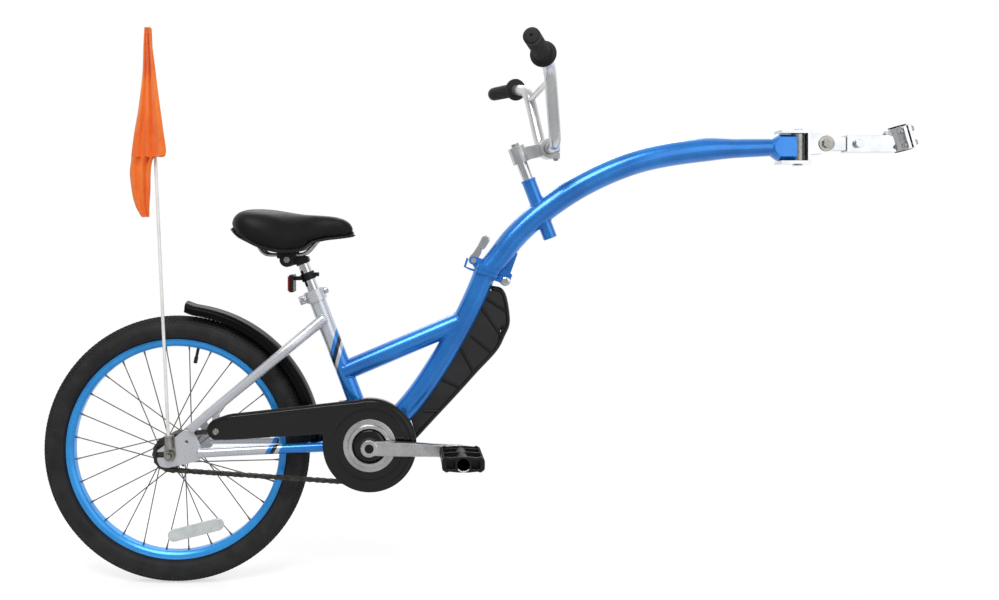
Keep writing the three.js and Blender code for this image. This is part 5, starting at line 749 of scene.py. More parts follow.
piece("hub_body", hub_body(), zinc_steel, "wheel", "hub_and_spokes", sharp=30)
SPOKES = 28
roots = []
for i in range(SPOKES):
    side, lead = (1 if i % 2 == 0 else -1), (1 if i % 4 < 2 else -1)
    at_rim = 360 * (i + 0.5) / SPOKES
    roots.append((on_wheel(24, at_rim + lead * 54, side * (29 + lead * 1.83)),
                  on_wheel(195.4, at_rim, side * 2)))
wires = bpy.data.meshes.new("wires")
wires.from_pydata([p for pair in roots for p in pair], [(2 * i, 2 * i + 1) for i in range(SPOKES)], [])
wires_base = bpy.data.objects.new("wires", wires)
bpy.context.scene.collection.objects.link(wires_base)
spokes = grown(wire_tree, wires_base, spoke_steel, Wire_radius=1.05, Nipple_radius=2.1, Nipple_length=11.0)
piece("spokes", spokes, None, "wheel", "hub_and_spokes")
hooks = gather(*[turned([(-2.6, 0), (-2.6, 1.6), (-1.9, 2.0), (1.9, 2.0), (2.6, 1.6), (2.6, 0)],
                        root, steps=12) for root, _ in roots])
piece("spoke_heads", hooks, zinc_steel, "wheel", "hub_and_spokes")
eased("valve", grip_rubber, 0.4)
eased("spoke_reflector", clear_acrylic, 1.2, 3)

# ---------------------------------------------------------------- rear frame

BB = v(368.639, 0, 17)
SEAT_LEAN, FOLD_TILT, STEERER_LEAN = math.radians(21), math.radians(17.6), math.radians(20.8)
SEAT_TUBE_RADIUS, TOP_TUBE_RADIUS, DOWN_TUBE_RADIUS, SHELL_RADIUS = 15.9, 19, 21.5, 21
BEAM_RADIUS, STEERER_RADIUS, BAR_RADIUS, CROSSBAR_RADIUS = 22.5, 13.3, 11.1, 6
SEAT_TUBE_LENGTH = 305
SEAT_AXIS = v(-math.sin(SEAT_LEAN), 0, math.cos(SEAT_LEAN))
SEAT_TOP = BB + SEAT_TUBE_LENGTH * SEAT_AXIS
POST_TOP = SEAT_TOP + 62 * SEAT_AXIS
FOLD = v(587, 0, 338.9)
FOLD_ALONG = v(math.cos(FOLD_TILT), 0, -math.sin(FOLD_TILT))
FOLD_UP = v(math.sin(FOLD_TILT), 0, math.cos(FOLD_TILT))


def in_fold(along, above, y=0.0):
    return FOLD + along * FOLD_ALONG + above * FOLD_UP + v(0, y, 0)


def between(start, end, shares):
    return [v(lerp(start[0], end[0], x), 0, lerp(start[2], end[2], z)) for x, z in shares]


def weld(pierced, pierced_radius, joining, joining_radius, bead=2.0):
    """The path where a joining tube's skin meets a pierced tube, one ripple of its bead, and their count.

    A joining tube that lies along Y has no path here.
    """
    start, end = (np.array(p, float) for p in joining)
    out = unit(end - start)
    side = unit(np.cross(out, v(0, 1, 0)))
    other = np.cross(out, side)
    axis = np.array([lerp(a, b, t) for a, b in zip(pierced, pierced[1:]) for t in np.arange(24) / 24])
    path = []
    for angle in np.linspace(0, 2 * math.pi, 48, endpoint=False):
        foot = start + joining_radius * (math.cos(angle) * side + math.sin(angle) * other)
        reach = np.arange(-10, 110, 0.5)
        line = foot + reach[:, None] * out
        gap = np.sqrt(((line[:, None] - axis[None]) ** 2).sum(2)).min(1)
        buried = np.nonzero(gap < pierced_radius)[0]
        if len(buried):
            path.append(line[buried[-1]])
    ripple = turned([(-2.2, 0.4), (-1.5, bead * 0.8), (0, bead), (1.5, bead * 0.8), (2.2, 0.4)], (0, 0, 0),
                    axis=(1, 0, 0), steps=10)
    length = sum(np.linalg.norm(b - a) for a, b in zip(path, path[1:] + path[:1]))
    return path, ripple, int(length / 1.4)


def weld_beads(name, finish, body, node, slot, *joints):
    """One piece of all these joints' beads."""
    beads = []
    for joint in joints:
        path, ripple, count = weld(*joint)
        beads.append(grown(along_tree, hidden_item(path, curve="closed"), finish,
                           Item=hidden_item(ripple), Count=2 * count, Skip=0))
    piece(name, joined(name, beads), finish, body, node, sharp=60)


seat_tube_path = [BB, SEAT_TOP]
seat_tube = lathe([(-4, 15.9), (304.2, 15.9), (305, 15.3), (305, 11.9), (304.2, 11.4), (150, 11.4), (150, 3),
                   (-4, 3)], BB, SEAT_AXIS, 64, ring=True)
piece("seat_tube", seat_tube, seat_tube_enamel, "frame", "main_frame")

down_path = smooth_path(between(BB, FOLD, [
    (0, 0), (0.15, 0.07), (0.3, 0.17), (0.45, 0.296), (0.66, 0.516), (0.85, 0.75), (0.96, 0.915),
    (1.03, 1.04)]), 9)
down_path = [p for p in down_path if (p - FOLD).dot(FOLD_UP) < -4.5]
piece("down_tube", sweep(down_path, DOWN_TUBE_RADIUS, 48), blue_enamel, "frame", "main_frame")
top_tube = [BB + 139 * SEAT_AXIS, lerp(BB, FOLD, 0.7) + v(DOWN_TUBE_RADIUS, 0, 0)]
piece("top_tube", sweep([lerp(*top_tube, t) for t in np.linspace(0, 1, 9)], TOP_TUBE_RADIUS, 48),
      blue_enamel, "frame", "main_frame")
bb_shell = lathe([(-34, 17.5), (-34, 20.2), (-33.2, 21), (33.2, 21), (34, 20.2), (34, 17.5)], BB, steps=64,
                 ring=True)
piece("bottom_bracket_shell", bb_shell, blue_enamel, "frame", "main_frame")


def stay(start, end, inner, outer, shares, radii):
    """A pair of tapering stays, from the frame to the dropouts."""
    path = []
    for along, out in shares:
        p = lerp(start, end, along)
        path.append(v(p[0], -lerp(inner, outer, out), p[2]))
    path = smooth_path(path, 10)
    tube = sweep(path, [lerp(*radii, i / (len(path) - 1)) for i in range(len(path))], 32, rounded=True)
    return gather(tube, mirrored(tube))


seat_stay_start, seat_stay_end = BB + 247.05 * SEAT_AXIS, v(38.4, 0, 48.3)
seat_stays = stay(seat_stay_start, seat_stay_end, 11.13, 62.55, [
    (0, 0), (0.12, 0.18), (0.24, 0.46), (0.32, 0.57), (0.45, 0.62), (0.7, 0.76), (1, 1)], (11, 8.5))
chain_stay_start, chain_stay_end = BB + v(-8.4, 0, -4.2), v(52.8, 0, 2.8)
chain_stays = stay(chain_stay_start, chain_stay_end, 21.08, 57.5, [
    (0, 0), (0.24, 0.4), (0.38, 0.5), (0.6, 0.66), (1, 1)], (10, 8.5))


def bridge_rod(spot, radius, half=27.5):
    """A rod across the bike between two stays."""
    return sweep([v(spot[0], y, spot[2]) for y in (-half, 0, half)], radius, 24)


stay_bridge = lerp(seat_stay_start, seat_stay_end, 0.24)
chain_bridge = lerp(chain_stay_start, chain_stay_end, 0.22)
piece("seat_stays", gather(seat_stays, bridge_rod(stay_bridge, 6)), silver_enamel, "frame", "main_frame")
piece("chain_stays", gather(chain_stays, bridge_rod(chain_bridge, 7)), chain_stay_enamel, "frame",
      "main_frame")


def dropout():
    """A pressed plate with a slot for the axle that opens backwards and an eyelet hole."""
    corners = [(-24, -5.3), (-24, -10.5), (-19.2, -21.7), (-4, -24.5), (56, -10.5), (56, 14.7), (41.6, 45.5),
               (25.6, 45.5), (-4.8, 21.7), (-24, 7.7), (-24, 5.3), (5.8, 5.3), (5.8, -5.3)]
    return plate(rounded_loop(corners, 6), 55, 60, 0.8, holes=[circle(30, 24, 3.2, 20)])


drop = dropout()
piece("dropouts", gather(drop, mirrored(drop)), silver_enamel, "frame", "main_frame", 32)
eased("main_frame", blue_enamel, 0.8, 3, "lower_fold_flange",
      keep=[(in_fold(0, -13), -FOLD_UP)])
eased("main_frame", silver_enamel, 0.6, 2, "chain_guard_tab",
      keep=[((0, -49.5, 0), (0, 1, 0)), ((70, 0, 0), (-1, 0, 0)), ((100, 0, 0), (1, 0, 0)),
            ((0, 0, 38), (0, 0, -1))])
shell_path = [BB - v(0, 34, 0), BB + v(0, 34, 0)]
weld_beads("frame_welds", blue_enamel, "frame", "main_frame", "blue_paint",
           (seat_tube_path, SEAT_TUBE_RADIUS, top_tube, TOP_TUBE_RADIUS),
           (down_path, DOWN_TUBE_RADIUS, (top_tube[1], top_tube[0]), TOP_TUBE_RADIUS),
           (shell_path, SHELL_RADIUS, (BB, BB + 60 * SEAT_AXIS), SEAT_TUBE_RADIUS),
           (shell_path, SHELL_RADIUS, (down_path[0], down_path[8]), DOWN_TUBE_RADIUS))
eased("seat_collar", silver_enamel, 1.0, 3)
eased("collar_bolt", chrome, 1.0, 3)
COLLAR_FRONT = v(math.cos(SEAT_LEAN), 0, math.sin(SEAT_LEAN))
front_head = turned([(17, 0), (17, 4.2), (20.6, 4.2), (20.8, 6.4), (21.4, 6.8), (25.6, 6.4), (27, 5.2),
                     (27.6, 0)], SEAT_TOP - 9 * SEAT_AXIS, COLLAR_FRONT, 40)
piece("collar_front_bolt", front_head, chrome, "frame", "seat_collar", 35)
eased("latch_catch", blue_enamel, 0.5)
eased("left_bb_cup", oiled_steel, 0.5)
eased("right_bb_cup", oiled_steel, 0.5)
for node in ("left_axle_nut", "right_axle_nut"):
    eased(node, zinc_steel, 0.8)
eased("flag_bracket", zinc_steel, 0.5)


def screw_thread(radius, start, end, pitch=1.6):
    """A threaded rod end: a turned profile with a V for each pitch."""
    profile = [(start, 0)]
    for y in np.arange(start, end, pitch):
        profile += [(y, radius - 0.5), (y + pitch / 2, radius)]
    return turned([*profile, (end, radius - 0.8), (end, 0)], (0, 0, 0), steps=32)


axle_piece = gather(screw_thread(4.9, -80, -50), screw_thread(4.9, 50, 80),
                    turned([(-52, 0), (-52, 4.6), (52, 4.6), (52, 0)], (0, 0, 0)),
                    turned([(37, 0), (37, 8), (41, 8.4), (50, 8.4), (50.4, 7.6), (50.4, 0)], (0, 0, 0)),
                    turned([(-54.6, 0), (-54.6, 7.6), (-54, 8.4), (-50.6, 8.4), (-50.4, 0)], (0, 0, 0)))
piece("threaded_axle", axle_piece, zinc_steel, "frame", "rear_axle", 40)

# ---------------------------------------------------------------- fender and guards


def tail_flare(degrees):
    """How far the fender's last five degrees lift off the tyre."""
    return 5 * max(0, (degrees - 81) / 5) ** 2


def fender_shell():
    """A moulded shell whose tail flares, with rolled edges, a spine and a foot to each bridge."""
    half = smooth_path([(258, 27.4, 0), (263.5, 27.4, 0), (269, 26.4, 0), (273.6, 20.8, 0), (276, 11.5, 0),
                        (277, 0, 0)], 5)
    over = [(p[0], p[1]) for p in half] + [(p[0], -p[1]) for p in reversed(half[:-1])]
    under = [(r - 2 * min(1, (r - 256) / 12), y * 0.935) for r, y in reversed(over)]
    rings = []
    for angle in np.linspace(3, 86, 64):
        rings.append([on_wheel(r + tail_flare(angle), angle, y) for r, y in over + under])
    rolls = [sweep([on_wheel(258 + tail_flare(a), a, side * 26.4) for a in np.linspace(3, 86, 64)], 1.3, 10,
                   rounded=True) for side in (-1, 1)]
    spine = [on_wheel(276.2 + tail_flare(a), a) for a in np.linspace(4, 85, 60)]
    feet = []
    for spot, radius in ((stay_bridge, 6), (chain_bridge, 7)):
        angle = math.degrees(math.atan2(spot[2], spot[0])) if spot is stay_bridge else 4.3
        start = on_wheel(275, angle)
        run = unit(spot - start)
        feet.append(sweep([start, start + run * (np.linalg.norm(spot - start) - radius - 0.4)], 6, 24))
    return gather(loft(rings), *rolls, sweep(spine, 1.0, 10, rounded=True), *feet)


piece("fender_shell", fender_shell(), fender_black, "frame", "fender", 40)


def screw_head(spot, axis, radius=5.2, height=3.0, socket=2.2, steps=32):
    """A domed screw head with a six-sided socket."""
    return turned([(-0.6, 0), (-0.6, radius), (height * 0.35, radius), (height * 0.8, radius * 0.84),
                   (height, radius * 0.55), (height, socket), (height * 0.4, socket), (height * 0.4, 0)],
                  spot, axis, steps)


def bolted(name, spots, finish, body, node):
    """One piece of screw heads."""
    piece(name, gather(*[screw_head(*one) for one in spots]), finish, body, node, 30)


bolted("fender_bolts", [(stay_bridge + v(-6.2, y, -1.5), (-0.94, 0, -0.34), 4.2, 2.4) for y in (-9, 9)],
       oiled_steel, "frame", "fender")


GUARD_RADIUS, GUARD_SCREW = 87, v(84, -58.6, 43)


def guard_outline(inset_by=0.0):
    """The chain guard's edge: a disc round the chainring, drawn out to a rounded tail at the dropout."""
    radius = GUARD_RADIUS - inset_by
    arc = arc_of(BB[0], BB[2], radius, [math.radians(a) for a in np.linspace(105, -187, 110)])
    rear = arc_of(88, 46, 20 - inset_by, [math.radians(a) for a in np.linspace(250, 112, 22)])
    low = rounded_loop([arc[-1], (BB[0] - radius, 38 + inset_by), (108, 27 + inset_by), rear[0]], 26, 8)[9:27]
    top = [(106, 75 - inset_by), (322, 99 - inset_by)]
    shoulder = rounded_loop([rear[-1], top[0], top[1], arc[0]], 22, 8)[9:27]
    return shoulder + arc + low + rear


def band(outer, inner, near, far):
    """A wall that follows two outlines, one inside the other."""
    return loft([[v(ox, near, oz), v(ox, far, oz), v(ix, far, iz), v(ix, near, iz)]
                 for (ox, oz), (ix, iz) in zip(outer, inner)])


whole, thinner = guard_outline(), guard_outline(2)
lip_stop = 18 + 60
guard_face = plate(whole, -58.5, -56, 1.1, holes=[circle(BB[0], BB[2], 41, 96),
                                                  circle(GUARD_SCREW[0], GUARD_SCREW[2], 2.6, 20)])
guard_lip = band(whole[9:lip_stop], thinner[9:lip_stop], -56.6, -45)
crest = guard_outline(8)
flute_end = 18 + 62
flute = sweep([v(x, -58.3, z) for x, z in crest[-12:] + crest[:flute_end]], 3.4, 16, flatten=0.55,
              rounded=True)
dished = lathe([(-58.9, 62), (-59.6, 64.5), (-59.6, 66.5), (-58.9, 69), (-58.3, 69), (-58.3, 62)], BB,
               steps=96, ring=True)
piece("chain_guard_shell", gather(guard_face, guard_lip, flute, dished), gloss_black, "frame",
      "chain_guard", 32)


def cross_head(spot, radius=6.0):
    """A pan head with a cross recess, seen from the drive side."""
    arm, deep = radius * 0.62, radius * 0.16
    cross = [(-deep, arm), (deep, arm), (deep, deep), (arm, deep), (arm, -deep), (deep, -deep),
             (deep, -arm), (-deep, -arm), (-deep, -deep), (-arm, -deep), (-arm, deep), (-deep, deep)]
    cross = [(spot[0] + x, spot[2] + z) for x, z in cross]
    return plate(circle(spot[0], spot[2], radius, 40), spot[1] - 2.6, spot[1] + 0.4, 1.3, holes=[cross])


screw = gather(cross_head(GUARD_SCREW),
               turned([(-60.0, 0), (-60.0, 4.6), (-57, 4.6), (-57, 0)], GUARD_SCREW * IN_PLANE,
                      steps=24))
piece("chain_guard_screw", screw, zinc_steel, "frame", "chain_guard", 30)

ring_profile = [(-58.8, 48.2), (-60.2, 48.6), (-60.6, 47.6), (-61.8, 40.6), (-62.6, 40), (-65.9, 38.8),
                (-66.3, 38.2), (-66.3, 33.0), (-65.8, 32.4), (-62.3, 31), (-58.8, 31)]
piece("guard_ring_stepped", lathe(ring_profile, BB, steps=120, ring=True), brushed_alloy, "frame",
      "guard_ring", 25)


def splash_loop():
    """The front edge of the splash guard, from its foot to its head."""
    front = [(457, 21), (489, 56), (529.8, 99.7), (572, 146.5), (611.7, 190.2), (623.4, 213.5),
             (632.2, 233.7), (632.9, 250), (621.6, 297.8), (605.2, 303.4)]
    return outline_of(smooth_path([(x, 0, z) for x, z in front], 6))


def splash_guard():
    """A dark grey moulding: a black rim round two sunken panels with slanting ribs, and a small window."""
    front = splash_loop()
    back = [(p[0] + 6, p[2]) for p in down_path if 45 < p[2] < 290]
    back = [(x, z) for x, z in back if x > 440]
    outline = front + [(x, z) for x, z in reversed(back)]
    outline = [p for i, p in enumerate(outline) if math.dist(p, outline[i - 1]) > 1.2]
    window = rounded_loop([(612, 199), (620, 222), (621, 237), (614, 226)], 4, 4)
    web = plate(outline, -9.5, 9.5, 1.0, holes=[window])
    rim = sweep([v(x, 0, z) for x, z in front], 5.2, 20, flatten=2.45, rounded=True)
    rim = [p - v(3.6, 0, -1.6) for p in rim[0]], rim[1]
    ribs = []
    for (ax, az), (bx, bz) in (((500, 72), (470, 72)), ((540, 116), (495, 137)), ((566, 142), (541, 190)),
                               ((600, 182), (560, 215)), ((618, 214), (580, 268)), ((626, 262), (590, 285))):
        for side in (-1, 1):
            ribs.append(sweep([v(ax, side * 9.6, az), v(lerp(ax, bx, 0.5), side * 9.6, lerp(az, bz, 0.5)),
                               v(bx, side * 9.6, bz)], 2.6, 12))
    collar = [sweep([v(x, side * 9.4, z) for x, z in window], 1.6, 10, closed=True) for side in (-1, 1)]
    return web, gather(rim, *ribs, *collar)


web, rim_and_ribs = splash_guard()
piece("splash_guard_panels", web, guard_grey, "frame", "splash_guard", 30)
piece("splash_guard_rim", rim_and_ribs, moulded_black, "frame", "splash_guard", 40)

# ---------------------------------------------------------------- chain, crank and pedals

PITCH_LENGTH, RING_TEETH, COG_TEETH, LINKS = 12.7, 36, 15, 84
RING, COG = (PITCH_LENGTH / (2 * math.sin(math.pi / teeth)) for teeth in (RING_TEETH, COG_TEETH))
DISTANCE = float(np.linalg.norm(BB))
SLANT = math.degrees(math.asin((RING - COG) / DISTANCE))
RISE = math.degrees(math.asin(float(BB[2]) / DISTANCE))


def chain_path():
    """The pitch line: round the back of the sprocket, along the top, round the chainring and back."""
    line = [on_wheel(COG, a) for a in np.linspace(270 - SLANT + RISE, 90 + SLANT + RISE, 40)]
    line += [BB + on_wheel(RING, a) for a in np.linspace(90 + SLANT + RISE, -90 - SLANT + RISE, 90)]
    return [p - v(0, 48, 0) for p in line]


def link(across, waist):
    """A pair of figure-of-eight side plates, as wide apart as this link's."""
    outline = []
    for end, start in ((6.35, -115), (-6.35, 65)):
        outline += [(end + 4.2 * math.cos(math.radians(start + a)), 4.2 * math.sin(math.radians(start + a)))
                    for a in np.linspace(0, 230, 8)]
        outline.append((0, waist if start < 0 else -waist))
    return [plate(outline, side * across - 0.65, side * across + 0.65, 0.3, steps=1) for side in (-1, 1)]


def rod_y(x, radius, half, steps=10):
    """A short rod across the chain."""
    return turned([(-half, 0), (-half, radius), (half, radius), (half, 0)], (x, 0, 0), steps=steps)


outer_link = gather(*link(4.35, 3.3), rod_y(-6.35, 1.8, 5.6), rod_y(6.35, 1.8, 5.6))
inner_link = gather(*link(2.85, 3.3), rod_y(-6.35, 3.9, 2.4, 12), rod_y(6.35, 3.9, 2.4, 12))
links = []
for item, skip in ((outer_link, 0), (inner_link, 1)):
    links.append(grown(along_tree, hidden_item(chain_path(), curve="closed"), oiled_steel,
                       Item=hidden_item(item), Count=LINKS, Skip=skip))
piece("chain_links", joined("chain_links", links), oiled_steel, "frame", "chain", 30)

eased("chainring", oiled_steel, 0.3)
eased("sprocket", oiled_steel, 0.3)
eased("spindle", zinc_steel, 0.5)


CRANK, CRANK_LENGTH = math.radians(-1.8), 165


def crank_arm(turn, side, inner):
    """A forged arm with a broad chamfer, from its round boss to the eye of the pedal axle."""
    along, up = v(math.cos(turn), 0, math.sin(turn)), v(-math.sin(turn), 0, math.cos(turn))
    outline = arc_of(CRANK_LENGTH, 0, 11.5, np.linspace(-1.55, 1.55, 22))
    outline += [(120, 11.6), (70, 12.8), (34, 13.4)]
    outline += arc_of(0, 0, 13.2, np.linspace(1.5, 4.78, 20))
    outline += [(34, -13.4), (70, -12.8), (120, -11.6)]
    spots = [BB + s * along + h * up for s, h in outline]
    eye = BB + CRANK_LENGTH * along
    near, far = sorted((side * 72, side * 87))
    arm = plate(outline_of(spots), near, far, 3.6, holes=[circle(eye[0], eye[2], 7.4, 40)], steps=2)
    boss = [(inner, 9), (inner, 15.2), (inner + 0.8, 16), (85.8, 16), (87.6, 15.2), (88.6, 13.4), (88.7, 9)]
    boss = lathe([(side * y, r) for y, r in boss], BB, steps=72, ring=True)
    ring = lathe([(side * y, r) for y, r in ((86.4, 6.9), (86.4, 9.6), (87.3, 9.2), (87.3, 6.9))], eye,
                 steps=48, ring=True)
    return gather(arm, boss, ring)


for name, turn, side in (("right_crank", CRANK, -1), ("left_crank", math.radians(178.2), 1)):
    reach = [abs(corner[1]) * 1000 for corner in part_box(name)]
    piece(name + "_arm", crank_arm(turn, side, min(reach)), brushed_alloy, "crank", name, 28)
cap = turned([(-60, 0), (-60, 29), (-60.6, 29.5), (-62.4, 29.5), (-64.3, 27.5), (-65.4, 22), (-65.8, 12),
              (-65.8, 0)], BB, steps=96)
piece("crank_cap_dome", cap, gloss_black, "crank", "crank_cap", 40)
dust_caps = [turned([(-86.6, 0), (-86.6, 8.2), (-87.6, 8.2), (-88.3, 7.4), (-88.5, 3.2), (-87.4, 2.6),
                     (-87.2, 0)], BB, steps=40)]
dust_caps.append(mirrored(dust_caps[0]))
piece("crank_dust_caps", gather(*dust_caps), moulded_black, "crank", ["right_crank", "left_crank"],
      30)
RIGHT_PEDAL = BB + CRANK_LENGTH * v(math.cos(CRANK), 0, math.sin(CRANK))
LEFT_PEDAL = BB - CRANK_LENGTH * v(math.cos(CRANK), 0, math.sin(CRANK))


PEDAL_NEAR, PEDAL_FAR, PEDAL_RAIL = 95, 187, 33.6


def pedal_body(centre, side):
    """A caged pedal: two toothed end plates, two toothed rails, a round core and webs between them."""
    cx, cz = centre[0], centre[2]
    near, far = side * PEDAL_NEAR, side * PEDAL_FAR
    toothed = [(-33, -11.5), (-29, -13.8), (-25, -11.8), (-9, -13.4), (9, -13.4), (25, -11.8), (29, -13.8),
               (33, -11.5), (36.8, -8), (36.8, 8), (33, 11.5), (29, 13.8), (25, 11.8), (9, 13.4),
               (-9, 13.4), (-25, 11.8), (-29, 13.8), (-33, 11.5), (-36.8, 8), (-36.8, -8)]
    ends = rounded_loop([(cx + x, cz + z) for x, z in toothed], 2.4, 3)
    windows = [rounded_loop([(cx + s * 14, cz - 7.5), (cx + s * 29, cz - 7.5), (cx + s * 29, cz + 7.5),
                             (cx + s * 14, cz + 7.5)], 3, 4) for s in (-1, 1)]
    parts = []
    for start, end in ((near, near + side * 5), (far - side * 6, far)):
        parts.append(plate(ends, min(start, end), max(start, end), 1.0, holes=windows + [
            circle(cx, cz, 6.6, 24)] if abs(start) < 100 else windows))
    for x in (-1, 1):
        lo, hi = sorted((near, far))
        parts.append(block((cx + x * PEDAL_RAIL - 2.4, lo + 1, cz - 9.5),
                           (cx + x * PEDAL_RAIL + 2.4, hi - 1, cz + 9.5), 1.2))
    for y, tall in ((0.12, 9.5), (0.3, 5), (0.5, 10.5), (0.7, 5), (0.86, 9.5)):
        at_y = lerp(near, far, y)
        bar = rounded_loop([(cx - 34, cz - tall), (cx - 12, cz - tall - 1.5), (cx + 12, cz - tall - 1.5),
                            (cx + 34, cz - tall), (cx + 34, cz + tall), (cx + 12, cz + tall + 1.5),
                            (cx - 12, cz + tall + 1.5), (cx - 34, cz + tall)], 3, 3)
        parts.append(plate(bar, at_y - 1.6, at_y + 1.6, 0.5))
    core = lathe([(near, 6.5), (near, 11.2), (lerp(near, far, 0.08), 12), (lerp(near, far, 0.92), 12),
                  (far, 10.6), (far, 6.5)], centre * IN_PLANE, steps=40, ring=True)
    cap = turned([(far - side * 2, 0), (far - side * 2, 7), (far, 6.8), (far, 0)], centre * IN_PLANE,
                 steps=32)
    return gather(*parts, core, cap)


def pedal_teeth(centre, side):
    """Four lines along the outer edges of the rails, for the teeth to stand on."""
    shapes = []
    for x in (-PEDAL_RAIL, PEDAL_RAIL):
        for up in (-1, 1):
            shapes.append([v(centre[0] + x, side * y, centre[2] + up * 9.3)
                           for y in np.linspace(101, 181, 9)])
    return shapes


for name, centre, side in (("right_pedal", RIGHT_PEDAL, -1), ("left_pedal", LEFT_PEDAL, 1)):
    piece(name + "_cage", pedal_body(centre, side), moulded_black, name, name, 32)
    tooth = turned([(-2.4, 0.2), (-1.2, 2.2), (1.2, 2.2), (2.4, 0.2)], (0, 0, 0), (1, 0, 0), 8)
    teeth = [grown(along_tree, hidden_item(line, curve="open"), moulded_black, Item=hidden_item(tooth),
                   Count=17, Skip=0) for line in pedal_teeth(centre, side)]
    piece(name + "_teeth", joined(name + "_teeth", teeth), moulded_black, name, name, 25)
    strip = [centre * IN_PLANE + v(11.9 * math.sin(a), side * 186.6, -11.9 * math.cos(a))
             for a in np.linspace(-0.85, 0.85, 15)]
    piece(name + "_reflex_strip", sweep(strip, 1.25, 12, flatten=0.7, rounded=True), clear_acrylic, name,
          name, 50)
    eased(name + "_axle", zinc_steel, 0.6)

# ---------------------------------------------------------------- seat

post = lathe([(-118, 9.3), (-118, 10.6), (-117.4, 11.1), (61.4, 11.1), (62, 10.6), (62, 9.3)], SEAT_TOP,
             SEAT_AXIS, 64, ring=True)
marks = [lathe([(at - 0.35, 10.9), (at - 0.35, 11.16), (at + 0.35, 11.16), (at + 0.35, 10.9)], SEAT_TOP,
               SEAT_AXIS, 48, ring=True) for at in (-58, -61)]
piece("seat_post_tube", gather(post, *marks), chrome, "seat_post", "seat_post", 40)
eased("reflector_bracket", moulded_black, 1.2, 3)
eased("reflector_lens", red_acrylic, 1.0, 3)
eased("saddle_band", moulded_black, 1.0, 3)
CLAMP_BOLT = v(POST_TOP[0] - 25.9, 0, POST_TOP[2] + 0.4)
cheek = lathe([(15, 4), (15, 13), (16, 14), (22.6, 14), (24.4, 13.2), (25, 11.4), (25, 4)], CLAMP_BOLT,
              steps=72, ring=True)
barrel = turned([(-25, 0), (-25, 4), (25, 4), (25, 0)], CLAMP_BOLT, steps=32)
jaw = block(CLAMP_BOLT + v(-19, 15.5, 2), CLAMP_BOLT + v(19, 24.5, 15.4), 2.4)
piece("saddle_clamp_cheeks", gather(cheek, mirrored(cheek), barrel, jaw, mirrored(jaw)), moulded_black,
      "saddle", "saddle_clamp", 35)
cradle = arc_of(CLAMP_BOLT[0], CLAMP_BOLT[2], 12.6, np.linspace(1.9, 4.9, 16))
cradle += [(POST_TOP[0] + 11, POST_TOP[2] - 6), (POST_TOP[0] + 15.5, POST_TOP[2] - 1),
           (POST_TOP[0] + 13, POST_TOP[2] + 6), (POST_TOP[0] + 6, POST_TOP[2] + 7.5)]
piece("saddle_band_cradle", plate(cradle, -13.6, 13.6, 2.2), moulded_black, "seat_post", "saddle_band",
      35)
nuts = [plate(arc_of(CLAMP_BOLT[0], CLAMP_BOLT[2], 6.4, np.arange(6) * math.pi / 3),
              *sorted((side * 24.5, side * 29)), 0.8) for side in (-1, 1)]
nuts += [turned([(side * 28, 0), (side * 28, 4), (side * 31.4, 3.4), (side * 31.8, 0)], CLAMP_BOLT, steps=24)
         for side in (-1, 1)]
piece("saddle_clamp_nuts", gather(*nuts), zinc_steel, "saddle", "saddle_clamp", 30)

SADDLE_TAIL = v(POST_TOP[0] - 132.6, 0, POST_TOP[2] - 2.6)
SADDLE_LENGTH, SADDLE_HEIGHT, SADDLE_HALF = 237, 101.4, 84
# Along the saddle, its top, its underside and its half width, as shares of those three sizes
SADDLE_SHARES = [
    (0, 0.68, 0.6, 0.3), (0.025, 0.86, 0.55, 0.62), (0.08, 0.97, 0.44, 0.86), (0.15, 1, 0.36, 0.97),
    (0.25, 0.99, 0.25, 1), (0.37, 0.945, 0.17, 0.93), (0.48, 0.9, 0.16, 0.76), (0.58, 0.868, 0.2, 0.56),
    (0.66, 0.856, 0.33, 0.42), (0.75, 0.853, 0.385, 0.34), (0.84, 0.85, 0.41, 0.29), (0.91, 0.82, 0.43, 0.26),
    (0.965, 0.74, 0.45, 0.21), (1, 0.6, 0.475, 0.1)]


def saddle_rings(shrink=0.0):
    """Rings of the padded shape, made smooth along the saddle and round each section."""
    runs = smooth_path([(a, t, b, w) for a, t, b, w in SADDLE_SHARES], 4)
    rings = []
    for along, top, low, width in runs:
        high = SADDLE_TAIL[2] + top * SADDLE_HEIGHT - shrink
        deep = SADDLE_TAIL[2] + low * SADDLE_HEIGHT + shrink
        out = max(width * SADDLE_HALF - shrink, 2)
        half = smooth_path([(0, 0.22), (0.62, 0.12), (0.9, 0.01), (0.99, 0.3), (0.95, 0.62), (0.78, 0.86),
                            (0.42, 0.97), (0, 1)], 4)
        x = SADDLE_TAIL[0] + shrink + along * (SADDLE_LENGTH - 2 * shrink)
        ring = [v(x, s * out, lerp(deep, high, up)) for s, up in half]
        rings.append(ring + [p * ACROSS for p in reversed(ring[1:-1])])
    return rings


